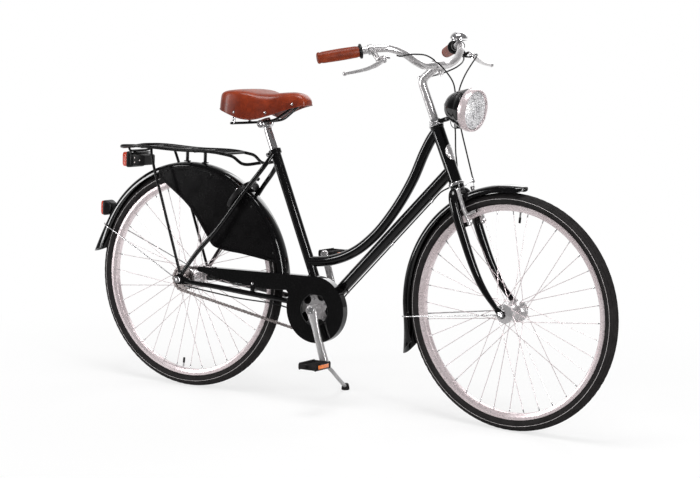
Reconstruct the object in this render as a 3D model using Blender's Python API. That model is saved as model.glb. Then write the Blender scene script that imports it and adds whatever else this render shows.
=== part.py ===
"""A step-through town bicycle on its side stand, made of named sub-parts.

Metres, +Z up, +X towards the front wheel, +Y to the rider's left. Every shape is made on the
upright bicycle with its bars straight. Empties then give it the lean and the turn of the bars.
"""

import math

import bmesh
import bpy
from mathutils import Matrix, Vector

# Stance on the side stand, in degrees
LEAN = 3.0
BAR_TURN = -5.0

# Clearances
GAP = 0.0003
BEARING_GAP = 0.0004

# Wheels
WHEEL_RADIUS = 0.350
WHEELBASE = 1.150
TYRE_HALF_WIDTH = 0.020
TYRE_WRAP = 118.0
BEAD_RADIUS = 0.3085
BEAD_HALF_WIDTH = 0.0112
RIM_WALL = 0.0020
RIM_EDGE_HEIGHT = 0.0080
RIM_INNER_RADIUS = 0.2975
RIM_BASE_HALF = 0.0100
WHEEL_STEPS = 32
SPOKES = 36
SPOKE_RADIUS = 0.0010
SPOKE_SWEEP = 57.0
AXLE_RADIUS = 0.0048
VALVE_RADIUS = 0.0030
VALVE_LENGTH = 0.034
FRONT_HUB_HALF = 0.046
REAR_HUB_HALF = 0.034
FRONT_FORK_SPACE = 0.050
REAR_FRAME_SPACE = 0.065

# Drive
PITCH = 0.0127
RUN_LINKS = 40
RING_TEETH = 40
SPROCKET_TEETH = 19
ROLLER_RADIUS = 0.0038
LINK_HALF_HEIGHT = 0.0042
LINK_WAIST = 0.0030
OUTER_LINK_HALF = 0.0045
INNER_LINK_HALF = 0.0036
LINK_INSIDE_HALF = 0.0022
TOOTH_HALF_THICKNESS = 0.0014
TOOTH_RISE = 0.0030
CHAIN_LINE = 0.043
CRANK_LENGTH = 0.165
CRANK_BACK = 20.5
CRANK_THICKNESS = 0.0125
CRANK_INNER = 0.066
BOTTOM_SHELL_RADIUS = 0.021
BOTTOM_SHELL_HALF = 0.034
BOTTOM_AXLE_RADIUS = 0.0085
BOTTOM_DROP = 0.050
PEDAL_INNER = 0.095
PEDAL_LENGTH = 0.090
PEDAL_WIDTH = 0.066
PEDAL_THICKNESS = 0.022
PEDAL_AXLE_RADIUS = 0.0042

# Frame
HEAD_ANGLE = 66.7
HEAD_LENGTH = 0.186
HEAD_RADIUS = 0.0195
HEAD_CUP_RADIUS = 0.0235
HEAD_STEP = 0.006
FORK_LENGTH = 0.4055
FORK_RAKE = 0.0366
STEERER_RADIUS = 0.0143
SEAT_ANGLE = 67.5
SEAT_TUBE_LENGTH = 0.517
SEAT_TUBE_RADIUS = 0.0158
SEATPOST_RADIUS = 0.0136
SEATPOST_INSERT = 0.120
CLAMP_HEIGHT = 0.014
DOWN_TUBE_RADIUS = 0.0180
DOWN_TUBE_JOIN = 0.049
TOP_TUBE_RADIUS = 0.0160
STAY_RADIUS = 0.0072
CHAINSTAY_RADIUS = 0.0086
DROPOUT_THICKNESS = 0.006
FORK_TIP = 0.0055

# Fenders, guards and rack
FENDER_RADIUS = 0.373
FENDER_EDGE_RADIUS = 0.352
FENDER_HALF_WIDTH = 0.027
FENDER_SHEET = 0.0012
SKIRT_SHEET = 0.0012
SKIRT_BORDER = 0.0012
SKIRT_RADIUS = 0.361
BOLT_OPENING_RADIUS = 0.0085
GUARD_ROUND = 0.103
GUARD_HOLE = 0.048
GUARD_OUTER = 0.0570
GUARD_SHEET = 0.0012
GUARD_DEPTH = 0.026
GUARD_STEPS = 20
RACK_HEIGHT = 0.762
RACK_HALF_WIDTH = 0.060
RACK_RAIL_RADIUS = 0.0050
RACK_BAR_RADIUS = 0.0038
RACK_LEG_RADIUS = 0.0045
LIGHT_DROP = 0.0135
FENDER_WIRE_RADIUS = 0.0019
FENDER_EYE = 0.0040

# Cockpit
STEM_RADIUS = 0.0125
STEM_RISE = 0.331
STEM_INSERT = 0.070
BAR_RADIUS = 0.0110
BAR_CLAMP_HALF = 0.019
GRIP_RADIUS = 0.0165
GRIP_FLANGE_RADIUS = 0.0215
LAMP_RING_RADIUS = 0.0640
LAMP_TILT = 7.0
CABLE_RADIUS = 0.0022
LEVER_RADIUS = 0.0046
BRAKE_STUD_RADIUS = 0.0040

# Stand
STAND_RADIUS = 0.0062
STAND_PIN_RADIUS = 0.0040
FOOT_RADIUS = 0.013

SHARP_ANGLE = math.radians(35.0)
X_AXIS = Vector((1.0, 0.0, 0.0))
Y_AXIS = Vector((0.0, 1.0, 0.0))
Z_AXIS = Vector((0.0, 0.0, 1.0))
LEFT = 1
RIGHT = -1

# Finishes as colour, metallic and roughness
BLACK_PAINT = ((0.010, 0.010, 0.012), 0.0, 0.18)
BLACK_PLASTIC = ((0.016, 0.016, 0.017), 0.0, 0.45)
BLACK_RUBBER = ((0.020, 0.019, 0.019), 0.0, 0.75)
CHROME = ((0.80, 0.80, 0.82), 1.0, 0.10)
ALUMINIUM = ((0.72, 0.72, 0.73), 1.0, 0.28)
STEEL = ((0.48, 0.46, 0.45), 1.0, 0.35)
BROWN_LEATHER = ((0.30, 0.075, 0.022), 0.0, 0.42)
CLEAR_GLASS = ((0.86, 0.88, 0.90), 0.0, 0.05)


def clear_scene():
    for obj in list(bpy.data.objects):
        bpy.data.objects.remove(obj, do_unlink=True)


def solid(bm):
    """Turns a bmesh into an object whose faces point out."""
    bmesh.ops.remove_doubles(bm, verts=bm.verts, dist=1e-6)
    bmesh.ops.recalc_face_normals(bm, faces=bm.faces)
    mesh = bpy.data.meshes.new("form")
    bm.to_mesh(mesh)
    bm.free()
    obj = bpy.data.objects.new("form", mesh)
    bpy.context.scene.collection.objects.link(obj)
    return obj


def loft(rings, closed=False):
    """Skins rings of as many points each, and caps the two ends unless it closes on itself."""
    bm = bmesh.new()
    loops = [[bm.verts.new(point) for point in ring] for ring in rings]
    following = loops[1:] + loops[:1] if closed else loops[1:]
    for first, second in zip(loops, following):
        for i in range(len(first)):
            j = (i + 1) % len(first)
            bm.faces.new((first[i], first[j], second[j], second[i]))
    if not closed:
        bm.faces.new(loops[0])
        bm.faces.new(loops[-1])
    return solid(bm)


def prism(outline, along):
    """A flat outline of 3-D points, drawn out along a vector."""
    return loft([outline, [point + along for point in outline]])


def revolve(points, centre, axis, steps, degrees=360.0, ring=True):
    """Spins a profile of 3-D points about an axis. A ring's last point joins its first."""
    bm = bmesh.new()
    verts = [bm.verts.new(point) for point in points]
    pairs = list(zip(verts, verts[1:]))
    if ring:
        pairs.append((verts[-1], verts[0]))
    edges = [bm.edges.new(pair) for pair in pairs]
    bmesh.ops.spin(
        bm, geom=verts + edges, cent=centre, axis=axis, angle=math.radians(degrees), steps=steps
    )
    if degrees < 360.0:
        open_edges = [edge for edge in bm.edges if edge.is_boundary]
        bmesh.ops.holes_fill(bm, edges=open_edges, sides=0)
    return solid(bm)


def turned(profile, base, axis, steps=16, ring=False):
    """Turns (radius, height) points about an axis. Unless it is a ring, the ends close on the axis."""
    axis = Vector(axis).normalized()
    across = axis.orthogonal().normalized()
    points = [base + axis * height + across * radius for radius, height in profile]
    if not ring:
        points.insert(0, base + axis * profile[0][1])
        points.append(base + axis * profile[-1][1])
    return revolve(points, base, axis, steps, ring=ring)


def disc(centre, axis, radius, start, stop, steps=12):
    return turned([(radius, start), (radius, stop)], centre, axis, steps)


def smooth(points, per=4):
    """A smooth run through points of any dimension, with so many steps to a span."""
    points = [Vector(point) for point in points]
    spans = [(b - a).length for a, b in zip(points, points[1:])]
    slopes = [(b - a) / span for a, b, span in zip(points, points[1:], spans)]
    tangents = [slopes[0]]
    for i in range(1, len(points) - 1):
        before, after = spans[i - 1], spans[i]
        tangents.append((slopes[i - 1] * after + slopes[i] * before) / (before + after))
    tangents.append(slopes[-1])
    run = []
    for i, span in enumerate(spans):
        for step in range(per):
            t = step / per
            run.append(
                points[i] * (2 * t**3 - 3 * t**2 + 1)
                + tangents[i] * (span * (t**3 - 2 * t**2 + t))
                + points[i + 1] * (3 * t**2 - 2 * t**3)
                + tangents[i + 1] * (span * (t**3 - t**2))
            )
    run.append(points[-1])
    return run


def tube(path, radius=None, sides=8, flat=1.0):
    """A tube along a path, mitred at its corners. A point may hold its own radius as a fourth number."""
    points = [Vector(point[:3]) for point in path]
    radii = [point[3] for point in path] if radius is None else [radius] * len(points)
    steps = [(b - a).normalized() for a, b in zip(points, points[1:])]
    side = Y_AXIS if abs(steps[0].y) < 0.9 else X_AXIS
    rings = []
    for i, (point, size) in enumerate(zip(points, radii)):
        along = steps[max(i - 1, 0)]
        side = (side - along * side.dot(along)).normalized()
        up = along.cross(side)
        cut = (along + steps[min(i, len(steps) - 1)]).normalized()
        ring = []
        for k in range(sides):
            angle = math.tau * (k + 0.5) / sides
            out = side * (size * flat * math.cos(angle)) + up * (size * math.sin(angle))
            out -= along * (out.dot(cut) / along.dot(cut))
            ring.append(point + out)
        rings.append(ring)
    return loft(rings)


def block(centre, size, bevel=0.0, turn=None, segments=1):
    """A box, with its edges bevelled, turned by a matrix about its own centre."""
    bm = bmesh.new()
    bmesh.ops.create_cube(bm, size=1.0)
    bmesh.ops.scale(bm, vec=Vector(size), verts=bm.verts)
    if bevel:
        bmesh.ops.bevel(
            bm,
            geom=list(bm.edges),
            offset=bevel,
            offset_type="OFFSET",
            segments=segments,
            profile=0.5,
            affect="EDGES",
            clamp_overlap=True,
        )
    matrix = Matrix.Translation(centre)
    if turn is not None:
        matrix = matrix @ turn.to_4x4()
    bmesh.ops.transform(bm, matrix=matrix, verts=bm.verts)
    return solid(bm)


def lug(a, radius_a, b, radius_b, normal, start, stop, steps=5):
    """A flat link round two centres, each with its radius, from start to stop along its normal."""
    normal = Vector(normal).normalized()
    a = Vector(a)
    b = Vector(b)
    b = b - normal * (b - a).dot(normal)
    along = (b - a).normalized()
    across = normal.cross(along)
    lean = math.asin((radius_a - radius_b) / (b - a).length)
    outline = []
    for centre, radius, first in ((b, radius_b, -90.0), (a, radius_a, 90.0)):
        turn = math.degrees(lean)
        span = 180.0 - 2 * turn if first < 0 else 180.0 + 2 * turn
        begin = first + turn if first < 0 else first - turn
        for k in range(steps + 1):
            angle = math.radians(begin + span * k / steps)
            outline.append(centre + along * (radius * math.cos(angle)) + across * (radius * math.sin(angle)))
    outline = [point + normal * start for point in outline]
    return prism(outline, normal * (stop - start))


def combine(base, others, operation):
    """Joins solids to a base, or cuts them from it, and keeps only the result."""
    group = bpy.data.collections.new("operands")
    for other in others:
        group.objects.link(other)
    modifier = base.modifiers.new("combine", "BOOLEAN")
    modifier.operation = operation
    modifier.solver = "EXACT"
    modifier.operand_type = "COLLECTION"
    modifier.collection = group
    graph = bpy.context.evaluated_depsgraph_get()
    mesh = bpy.data.meshes.new_from_object(base.evaluated_get(graph))
    base.modifiers.clear()
    base.data = mesh
    for other in others:
        bpy.data.objects.remove(other, do_unlink=True)
    bpy.data.collections.remove(group)
    return base


def fuse(base, *others):
    return combine(base, list(others), "UNION")


def cut(base, *cutters):
    return combine(base, list(cutters), "DIFFERENCE")


def room_for(radius, steps):
    """The radius of a bore of so many flats that clears a rod all round."""
    return (radius + GAP) / math.cos(math.pi / steps)


def mirrored(point):
    return Vector((point[0], -point[1], point[2]))


def on_side(side, x, y, z):
    """A point so far out on the left or the right of the bicycle."""
    return Vector((x, side * y, z))


def polar(hub, radius, degrees, y=0.0):
    """A point round a hub: 0 is forward and 90 is up."""
    angle = math.radians(degrees)
    return hub + Vector((radius * math.cos(angle), y, radius * math.sin(angle)))


class Pivots:
    """Empties that carry the pieces. Each is placed where it stands on the upright bicycle."""

    def __init__(self):
        self.empties = {}
        self.places = {}

    def add(self, name, place, parent=None, axis=None, degrees=0.0):
        empty = bpy.data.objects.new(name, None)
        empty.empty_display_size = 0.03
        bpy.context.scene.collection.objects.link(empty)
        place = Vector(place)
        if parent:
            empty.parent = self.empties[parent]
            empty.location = place - self.places[parent]
        else:
            empty.location = place
        if axis is not None:
            empty.rotation_euler = Matrix.Rotation(math.radians(degrees), 3, axis).to_euler()
        self.empties[name] = empty
        self.places[name] = place

    def carry(self, name, obj, pivot, finish):
        """Names a solid, gives it its finish and hangs it on a pivot."""
        colour, metallic, roughness = finish
        material = bpy.data.materials.new(name)
        material.use_nodes = True
        shader = material.node_tree.nodes["Principled BSDF"]
        shader.inputs["Base Color"].default_value = (*colour, 1.0)
        shader.inputs["Metallic"].default_value = metallic
        shader.inputs["Roughness"].default_value = roughness
        obj.name = name
        obj.data.name = name
        obj.data.transform(Matrix.Translation(-self.places[pivot]))
        obj.data.materials.clear()
        obj.data.materials.append(material)
        obj.data.shade_smooth()
        obj.data.set_sharp_from_angle(angle=SHARP_ANGLE)
        obj.parent = self.empties[pivot]


# Places that the pieces share
REAR_HUB = Vector((-WHEELBASE / 2, 0.0, WHEEL_RADIUS))
FRONT_HUB = Vector((WHEELBASE / 2, 0.0, WHEEL_RADIUS))
RING_RADIUS = PITCH / 2 / math.sin(math.pi / RING_TEETH)
SPROCKET_RADIUS = PITCH / 2 / math.sin(math.pi / SPROCKET_TEETH)
CENTRES_APART = math.hypot(RUN_LINKS * PITCH, RING_RADIUS - SPROCKET_RADIUS)
BOTTOM = REAR_HUB + Vector((math.sqrt(CENTRES_APART**2 - BOTTOM_DROP**2), 0.0, -BOTTOM_DROP))

HEAD_AXIS = Vector((-math.cos(math.radians(HEAD_ANGLE)), 0.0, math.sin(math.radians(HEAD_ANGLE))))
HEAD_FORWARD = Vector((HEAD_AXIS.z, 0.0, -HEAD_AXIS.x))
HEAD_BOTTOM = FRONT_HUB + HEAD_AXIS * FORK_LENGTH - HEAD_FORWARD * FORK_RAKE
SEAT_AXIS = Vector((-math.cos(math.radians(SEAT_ANGLE)), 0.0, math.sin(math.radians(SEAT_ANGLE))))
SEAT_TOP = BOTTOM + SEAT_AXIS * SEAT_TUBE_LENGTH
EAR_RISE = Vector((0.0085, 0.0, 0.0235))


def head(along, forward=0.0, y=0.0):
    """A point by its height on the steering axis, how far it lies ahead of it, and y."""
    return HEAD_BOTTOM + HEAD_AXIS * along + HEAD_FORWARD * forward + Y_AXIS * y


def seat(along, forward=0.0, y=0.0):
    """A point by its height on the seat tube's axis, how far it lies ahead of it, and y."""
    ahead = Vector((SEAT_AXIS.z, 0.0, -SEAT_AXIS.x))
    return BOTTOM + SEAT_AXIS * along + ahead * forward + Y_AXIS * y


def rod_cutter(place, axis, radius, reach=0.2, steps=24):
    return disc(place, axis, radius, -reach, reach, steps)


# Frame

def head_tube():
    """The tube between its two bearing cups."""
    bore = STEERER_RADIUS + BEARING_GAP
    profile = [
        (bore, 0.0),
        (HEAD_CUP_RADIUS - 0.002, 0.0),
        (HEAD_CUP_RADIUS, 0.003),
        (HEAD_CUP_RADIUS, 0.008),
        (HEAD_RADIUS, 0.012),
        (HEAD_RADIUS, HEAD_LENGTH - HEAD_STEP),
        (HEAD_RADIUS + 0.0012, HEAD_LENGTH - HEAD_STEP),
        (HEAD_RADIUS + 0.0012, HEAD_LENGTH),
        (bore, HEAD_LENGTH),
    ]
    return turned(profile, HEAD_BOTTOM, HEAD_AXIS, 14, ring=True)


TOP_TUBE_RUN = [
    (0.292, 0.843),
    (0.272, 0.806),
    (0.233, 0.718),
    (0.178, 0.6265),
    (0.097, 0.530),
    (0.045, 0.4890),
    (-0.007, 0.4625),
    (-0.0565, 0.4475),
]


def top_tube():
    """The low swept tube that makes the step-through."""
    start = head(HEAD_LENGTH - 0.010)
    end = seat(0.151)
    middle = [Vector((x, 0.0, z)) for x, z in TOP_TUBE_RUN]
    path = smooth([start, *middle, end], 2)
    obj = tube(path, TOP_TUBE_RADIUS, 8)
    return cut(
        obj,
        rod_cutter(HEAD_BOTTOM, HEAD_AXIS, HEAD_RADIUS + GAP, 0.3, 14),
        rod_cutter(BOTTOM, SEAT_AXIS, SEAT_TUBE_RADIUS + GAP, 0.6, 14),
        disc(HEAD_BOTTOM, HEAD_AXIS, 0.03, HEAD_LENGTH - HEAD_STEP - GAP, HEAD_LENGTH + 0.04, 6),
    )


CABLE_OFFSET = 0.0255
CABLE_SIDE = -0.008


def under_down_tube(along, below=CABLE_OFFSET):
    """A point under the down tube, on the line of its cable."""
    start = head(DOWN_TUBE_JOIN)
    way = (BOTTOM - start).normalized()
    low = Vector((-way.z, 0.0, way.x))
    return start + way * along + low * below + Y_AXIS * CABLE_SIDE


def down_tube():
    """The straight tube under the swept one, with the guides of the gear cable."""
    start = head(DOWN_TUBE_JOIN)
    obj = tube([start, BOTTOM], DOWN_TUBE_RADIUS, 14)
    guides = []
    for along in (0.110, 0.300, 0.520):
        low = under_down_tube(along)
        high = start.lerp(BOTTOM, along / (BOTTOM - start).length)
        guides.append(disc(low, high - low, 0.0034, CABLE_RADIUS + GAP, 0.012, 6))
    return cut(
        fuse(obj, *guides),
        rod_cutter(HEAD_BOTTOM, HEAD_AXIS, HEAD_RADIUS + GAP, 0.3, 14),
        rod_cutter(BOTTOM, Y_AXIS, BOTTOM_SHELL_RADIUS + GAP, 0.2, 14),
        rod_cutter(BOTTOM, SEAT_AXIS, SEAT_TUBE_RADIUS + GAP, 0.2, 14),
    )


def seat_tube():
    """The seat tube with the bottom bracket shell and its bearing cups."""
    bore = SEATPOST_RADIUS + GAP
    deep = SEAT_TUBE_LENGTH - SEATPOST_INSERT - 0.060
    post = turned(
        [(SEAT_TUBE_RADIUS, 0.0), (SEAT_TUBE_RADIUS, SEAT_TUBE_LENGTH), (bore, SEAT_TUBE_LENGTH), (bore, deep)],
        BOTTOM,
        SEAT_AXIS,
        14,
    )
    bearing = BOTTOM_AXLE_RADIUS + BEARING_GAP
    inside = BOTTOM_SHELL_RADIUS - 0.0035
    cup = 0.012
    half = BOTTOM_SHELL_HALF
    shell = turned(
        [
            (bearing, -half),
            (BOTTOM_SHELL_RADIUS, -half),
            (BOTTOM_SHELL_RADIUS, half),
            (bearing, half),
            (bearing, half - cup),
            (inside, half - cup),
            (inside, cup - half),
            (bearing, cup - half),
        ],
        BOTTOM,
        Y_AXIS,
        14,
        ring=True,
    )
    post = cut(post, rod_cutter(BOTTOM, Y_AXIS, BOTTOM_SHELL_RADIUS - 0.0015, 0.1, 14))
    return fuse(post, shell)


def chainstay_path(side):
    """From the dropout in to the bottom bracket, with the radius of each point."""
    r = CHAINSTAY_RADIUS
    dropout = REAR_FRAME_SPACE + DROPOUT_THICKNESS / 2
    shell = BOTTOM_SHELL_RADIUS
    return [
        (REAR_HUB.x + 0.026, side * dropout, REAR_HUB.z - 0.003, r * 0.78),
        (REAR_HUB.x + 0.060, side * (dropout - 0.002), REAR_HUB.z - 0.0065, r * 0.86),
        (REAR_HUB.x + 0.125, side * 0.0605, REAR_HUB.z - 0.011, r * 0.94),
        (REAR_HUB.x + 0.275, side * 0.0485, REAR_HUB.z - 0.024, r),
        (REAR_HUB.x + 0.355, side * 0.0390, REAR_HUB.z - 0.031, r),
        (REAR_HUB.x + 0.425, side * 0.0300, REAR_HUB.z - 0.039, r * 1.05),
        (BOTTOM.x - shell * 0.4, side * 0.0245, BOTTOM.z + 0.003, r * 1.08),
    ]


def dropout(side):
    """The plate for the axle, with an ear for the stay and the carrier's leg."""
    inner = side * REAR_FRAME_SPACE
    outer = side * (REAR_FRAME_SPACE + DROPOUT_THICKNESS)
    low, high = sorted((inner, outer))
    plate = lug(REAR_HUB, 0.0155, REAR_HUB + Vector((0.034, 0.0, -0.0035)), 0.010, Y_AXIS, low, high)
    ear = lug(REAR_HUB, 0.0120, REAR_HUB + EAR_RISE, 0.0080, Y_AXIS, low, high)
    return plate, ear


def axle_slot(side):
    """The slot that the rear axle lies in, open to the rear."""
    radius = AXLE_RADIUS + GAP
    back = REAR_HUB - Vector((0.03, 0.0, 0.0))
    reach = REAR_FRAME_SPACE + DROPOUT_THICKNESS + 0.004
    low, high = sorted((side * (REAR_FRAME_SPACE - 0.004), side * reach))
    return lug(REAR_HUB, radius, back, radius, Y_AXIS, low, high)


def chainstay(side):
    plate, ear = dropout(side)
    run = tube(smooth(chainstay_path(side), 1), None, 8)
    run = cut(run, rod_cutter(BOTTOM, Y_AXIS, BOTTOM_SHELL_RADIUS + GAP, 0.1, 14))
    parts = [plate, ear]
    if side == LEFT:
        bridge_at = REAR_HUB + Vector((FENDER_RADIUS + 0.0048, 0.0, -0.0325))
        parts.append(disc(bridge_at, Y_AXIS, CHAINSTAY_RADIUS * 0.7, -0.0268, 0.0360, 8))
    run = fuse(run, *parts)
    return cut(run, axle_slot(side))


def seatstay_path(side):
    out = REAR_FRAME_SPACE + DROPOUT_THICKNESS / 2
    start = REAR_HUB + Vector((0.0180, 0.0, 0.0290))
    return [
        (start.x, side * out, start.z, STAY_RADIUS * 0.85),
        (REAR_HUB.x + 0.060, side * 0.0640, REAR_HUB.z + 0.085, STAY_RADIUS),
        (REAR_HUB.x + 0.131, side * 0.0550, REAR_HUB.z + 0.165, STAY_RADIUS),
        (REAR_HUB.x + 0.2335, side * 0.0450, REAR_HUB.z + 0.299, STAY_RADIUS),
        (REAR_HUB.x + 0.300, side * 0.0310, REAR_HUB.z + 0.386, STAY_RADIUS),
        (SEAT_TOP.x + 0.0045, side * 0.0160, SEAT_TOP.z - 0.012, STAY_RADIUS * 0.9),
    ]


def seatstay(side):
    """A stay from the dropout's ear up to the side of the seat tube, under the clamp."""
    run = tube(smooth(seatstay_path(side), 1), None, 8)
    low, high = sorted((side * REAR_FRAME_SPACE, side * (REAR_FRAME_SPACE + DROPOUT_THICKNESS)))
    ear_end = REAR_HUB + EAR_RISE
    ear = lug(REAR_HUB, 0.0120 + GAP, ear_end, 0.0080 + GAP, Y_AXIS, low - GAP, high + GAP)
    tube_room = rod_cutter(BOTTOM, SEAT_AXIS, SEAT_TUBE_RADIUS + GAP, 0.7, 14)
    clamp_room = disc(BOTTOM, SEAT_AXIS, 0.06, SEAT_TUBE_LENGTH - CLAMP_HEIGHT - GAP, SEAT_TUBE_LENGTH + 0.05, 8)
    return cut(run, ear, tube_room, clamp_room)


def seat_clamp():
    """The band round the top of the seat tube, split behind for its bolt."""
    top = SEAT_TUBE_LENGTH
    band = turned(
        [
            (SEAT_TUBE_RADIUS + GAP, top - CLAMP_HEIGHT),
            (SEAT_TUBE_RADIUS + 0.0040, top - CLAMP_HEIGHT),
            (SEAT_TUBE_RADIUS + 0.0040, top + 0.0015),
            (SEATPOST_RADIUS + GAP, top + 0.0015),
            (SEATPOST_RADIUS + GAP, top + GAP),
            (SEAT_TUBE_RADIUS + GAP, top + GAP),
        ],
        BOTTOM,
        SEAT_AXIS,
        14,
        ring=True,
    )
    back = seat(top - CLAMP_HEIGHT / 2, -SEAT_TUBE_RADIUS - 0.0085)
    turn = Matrix.Rotation(math.radians(SEAT_ANGLE - 90.0), 3, "Y")
    band = fuse(band, block(back, (0.013, 0.016, 0.012), 0.0, turn))
    band = cut(band, block(back, (0.022, 0.002, 0.03), 0.0, turn))
    return fuse(band, disc(back, Y_AXIS, 0.0034, -0.0130, 0.0130, 8))


def flap_rise(degrees, stop, flare_from, flare):
    """How much the crown has risen at an angle, on its way to the flap."""
    past = max(0.0, (degrees - flare_from) / (stop - flare_from))
    return flare * past**2


def fender(hub, start, stop, steps, flare_from, flare):
    """A crowned sheet round a wheel, whose crown rises to a flap past the angle flare_from."""
    outer = [
        (FENDER_EDGE_RADIUS, FENDER_HALF_WIDTH),
        (FENDER_RADIUS - 0.0065, FENDER_HALF_WIDTH * 0.84),
        (FENDER_RADIUS, 0.0),
        (FENDER_RADIUS - 0.0065, -FENDER_HALF_WIDTH * 0.84),
        (FENDER_EDGE_RADIUS, -FENDER_HALF_WIDTH),
    ]
    sheet = FENDER_SHEET
    inner = [
        (FENDER_EDGE_RADIUS, -FENDER_HALF_WIDTH + sheet),
        (FENDER_RADIUS - 0.0065 - sheet, -FENDER_HALF_WIDTH * 0.84 + sheet),
        (FENDER_RADIUS - sheet, 0.0),
        (FENDER_RADIUS - 0.0065 - sheet, FENDER_HALF_WIDTH * 0.84 - sheet),
        (FENDER_EDGE_RADIUS, FENDER_HALF_WIDTH - sheet),
    ]
    rings = []
    for k in range(steps + 1):
        degrees = start + (stop - start) * k / steps
        rise = flap_rise(degrees, stop, flare_from, flare)
        ring = []
        for radius, y in outer + inner:
            share = (radius - FENDER_EDGE_RADIUS) / (FENDER_RADIUS - FENDER_EDGE_RADIUS)
            ring.append(polar(hub, radius + rise * share, degrees, y))
        rings.append(ring)
    return loft(rings)


def fender_wire(hub, degrees, eye_at, rise):
    """A wire from a ring on one end of the axle, over the fender's crown, to the other end."""
    crown = FENDER_RADIUS + rise + FENDER_WIRE_RADIUS + 0.0006
    over = [
        (0.0070, eye_at + FENDER_EYE / 2 + 0.0004),
        (0.0300, eye_at + FENDER_EYE / 2 + 0.0004),
        (FENDER_EDGE_RADIUS - 0.030, FENDER_HALF_WIDTH + 0.0060),
        (FENDER_EDGE_RADIUS + 0.004, FENDER_HALF_WIDTH + 0.0045),
        (FENDER_RADIUS + rise - 0.004, FENDER_HALF_WIDTH * 0.92),
        (crown + 0.0004, FENDER_HALF_WIDTH * 0.45),
        (crown, 0.0),
    ]
    left = [polar(hub, radius, degrees, y) for radius, y in over]
    wire = tube(left + [mirrored(point) for point in reversed(left[:-1])], FENDER_WIRE_RADIUS, 5)
    eyes = []
    for side in (RIGHT, LEFT):
        eyes.append(disc(hub, Y_AXIS * side, 0.0095, eye_at, eye_at + FENDER_EYE, 10))
    return cut(fuse(wire, *eyes), rod_cutter(hub, Y_AXIS, AXLE_RADIUS + GAP, 0.1, 8))


SKIRT_EDGE = [
    (0.357, 12.5),
    (0.232, 24.5),
    (0.172, 37.0),
    (0.152, 48.0),
    (0.163, 62.0),
    (0.222, 86.0),
    (0.338, 110.0),
]


def skirt_guard(side):
    """A sheet that shields the wheel, with a raised border and an opening for the lock's bolt."""
    edge = [polar(REAR_HUB, radius, degrees) for radius, degrees in SKIRT_EDGE]
    lower = smooth(edge, 2)
    upper = []
    steps = 9
    for k in range(1, steps + 1):
        degrees = 111.5 + (12.0 - 111.5) * k / (steps + 1)
        upper.append(polar(REAR_HUB, SKIRT_RADIUS, degrees))
    inner = side * (FENDER_HALF_WIDTH + GAP)
    thick = SKIRT_SHEET + SKIRT_BORDER
    bm = bmesh.new()
    verts = [bm.verts.new(point + Y_AXIS * inner) for point in lower + upper]
    face = bm.faces.new(verts)
    drawn = bmesh.ops.extrude_face_region(bm, geom=[face], use_keep_orig=True)
    raised = [item for item in drawn["geom"] if isinstance(item, bmesh.types.BMVert)]
    bmesh.ops.translate(bm, verts=raised, vec=Y_AXIS * (side * thick))
    outer_face = [item for item in drawn["geom"] if isinstance(item, bmesh.types.BMFace)][0]
    bmesh.ops.inset_region(bm, faces=[outer_face], thickness=0.0080, use_even_offset=True)
    bmesh.ops.inset_region(bm, faces=[outer_face], thickness=0.0010, use_even_offset=True)
    bmesh.ops.translate(bm, verts=outer_face.verts, vec=Y_AXIS * (-side * SKIRT_BORDER))
    guard = solid(bm)
    crossing = 180.0 - math.degrees(math.asin((abs(inner) + thick / 2) / BOLT_RADIUS))
    passage = lock_point(BOLT_RADIUS, side * crossing)
    return cut(guard, disc(passage, Y_AXIS, BOLT_OPENING_RADIUS, -thick * 2, thick * 2, 16))


RACK_REAR_X = -0.837
RACK_FRONT_X = -0.414


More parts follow.
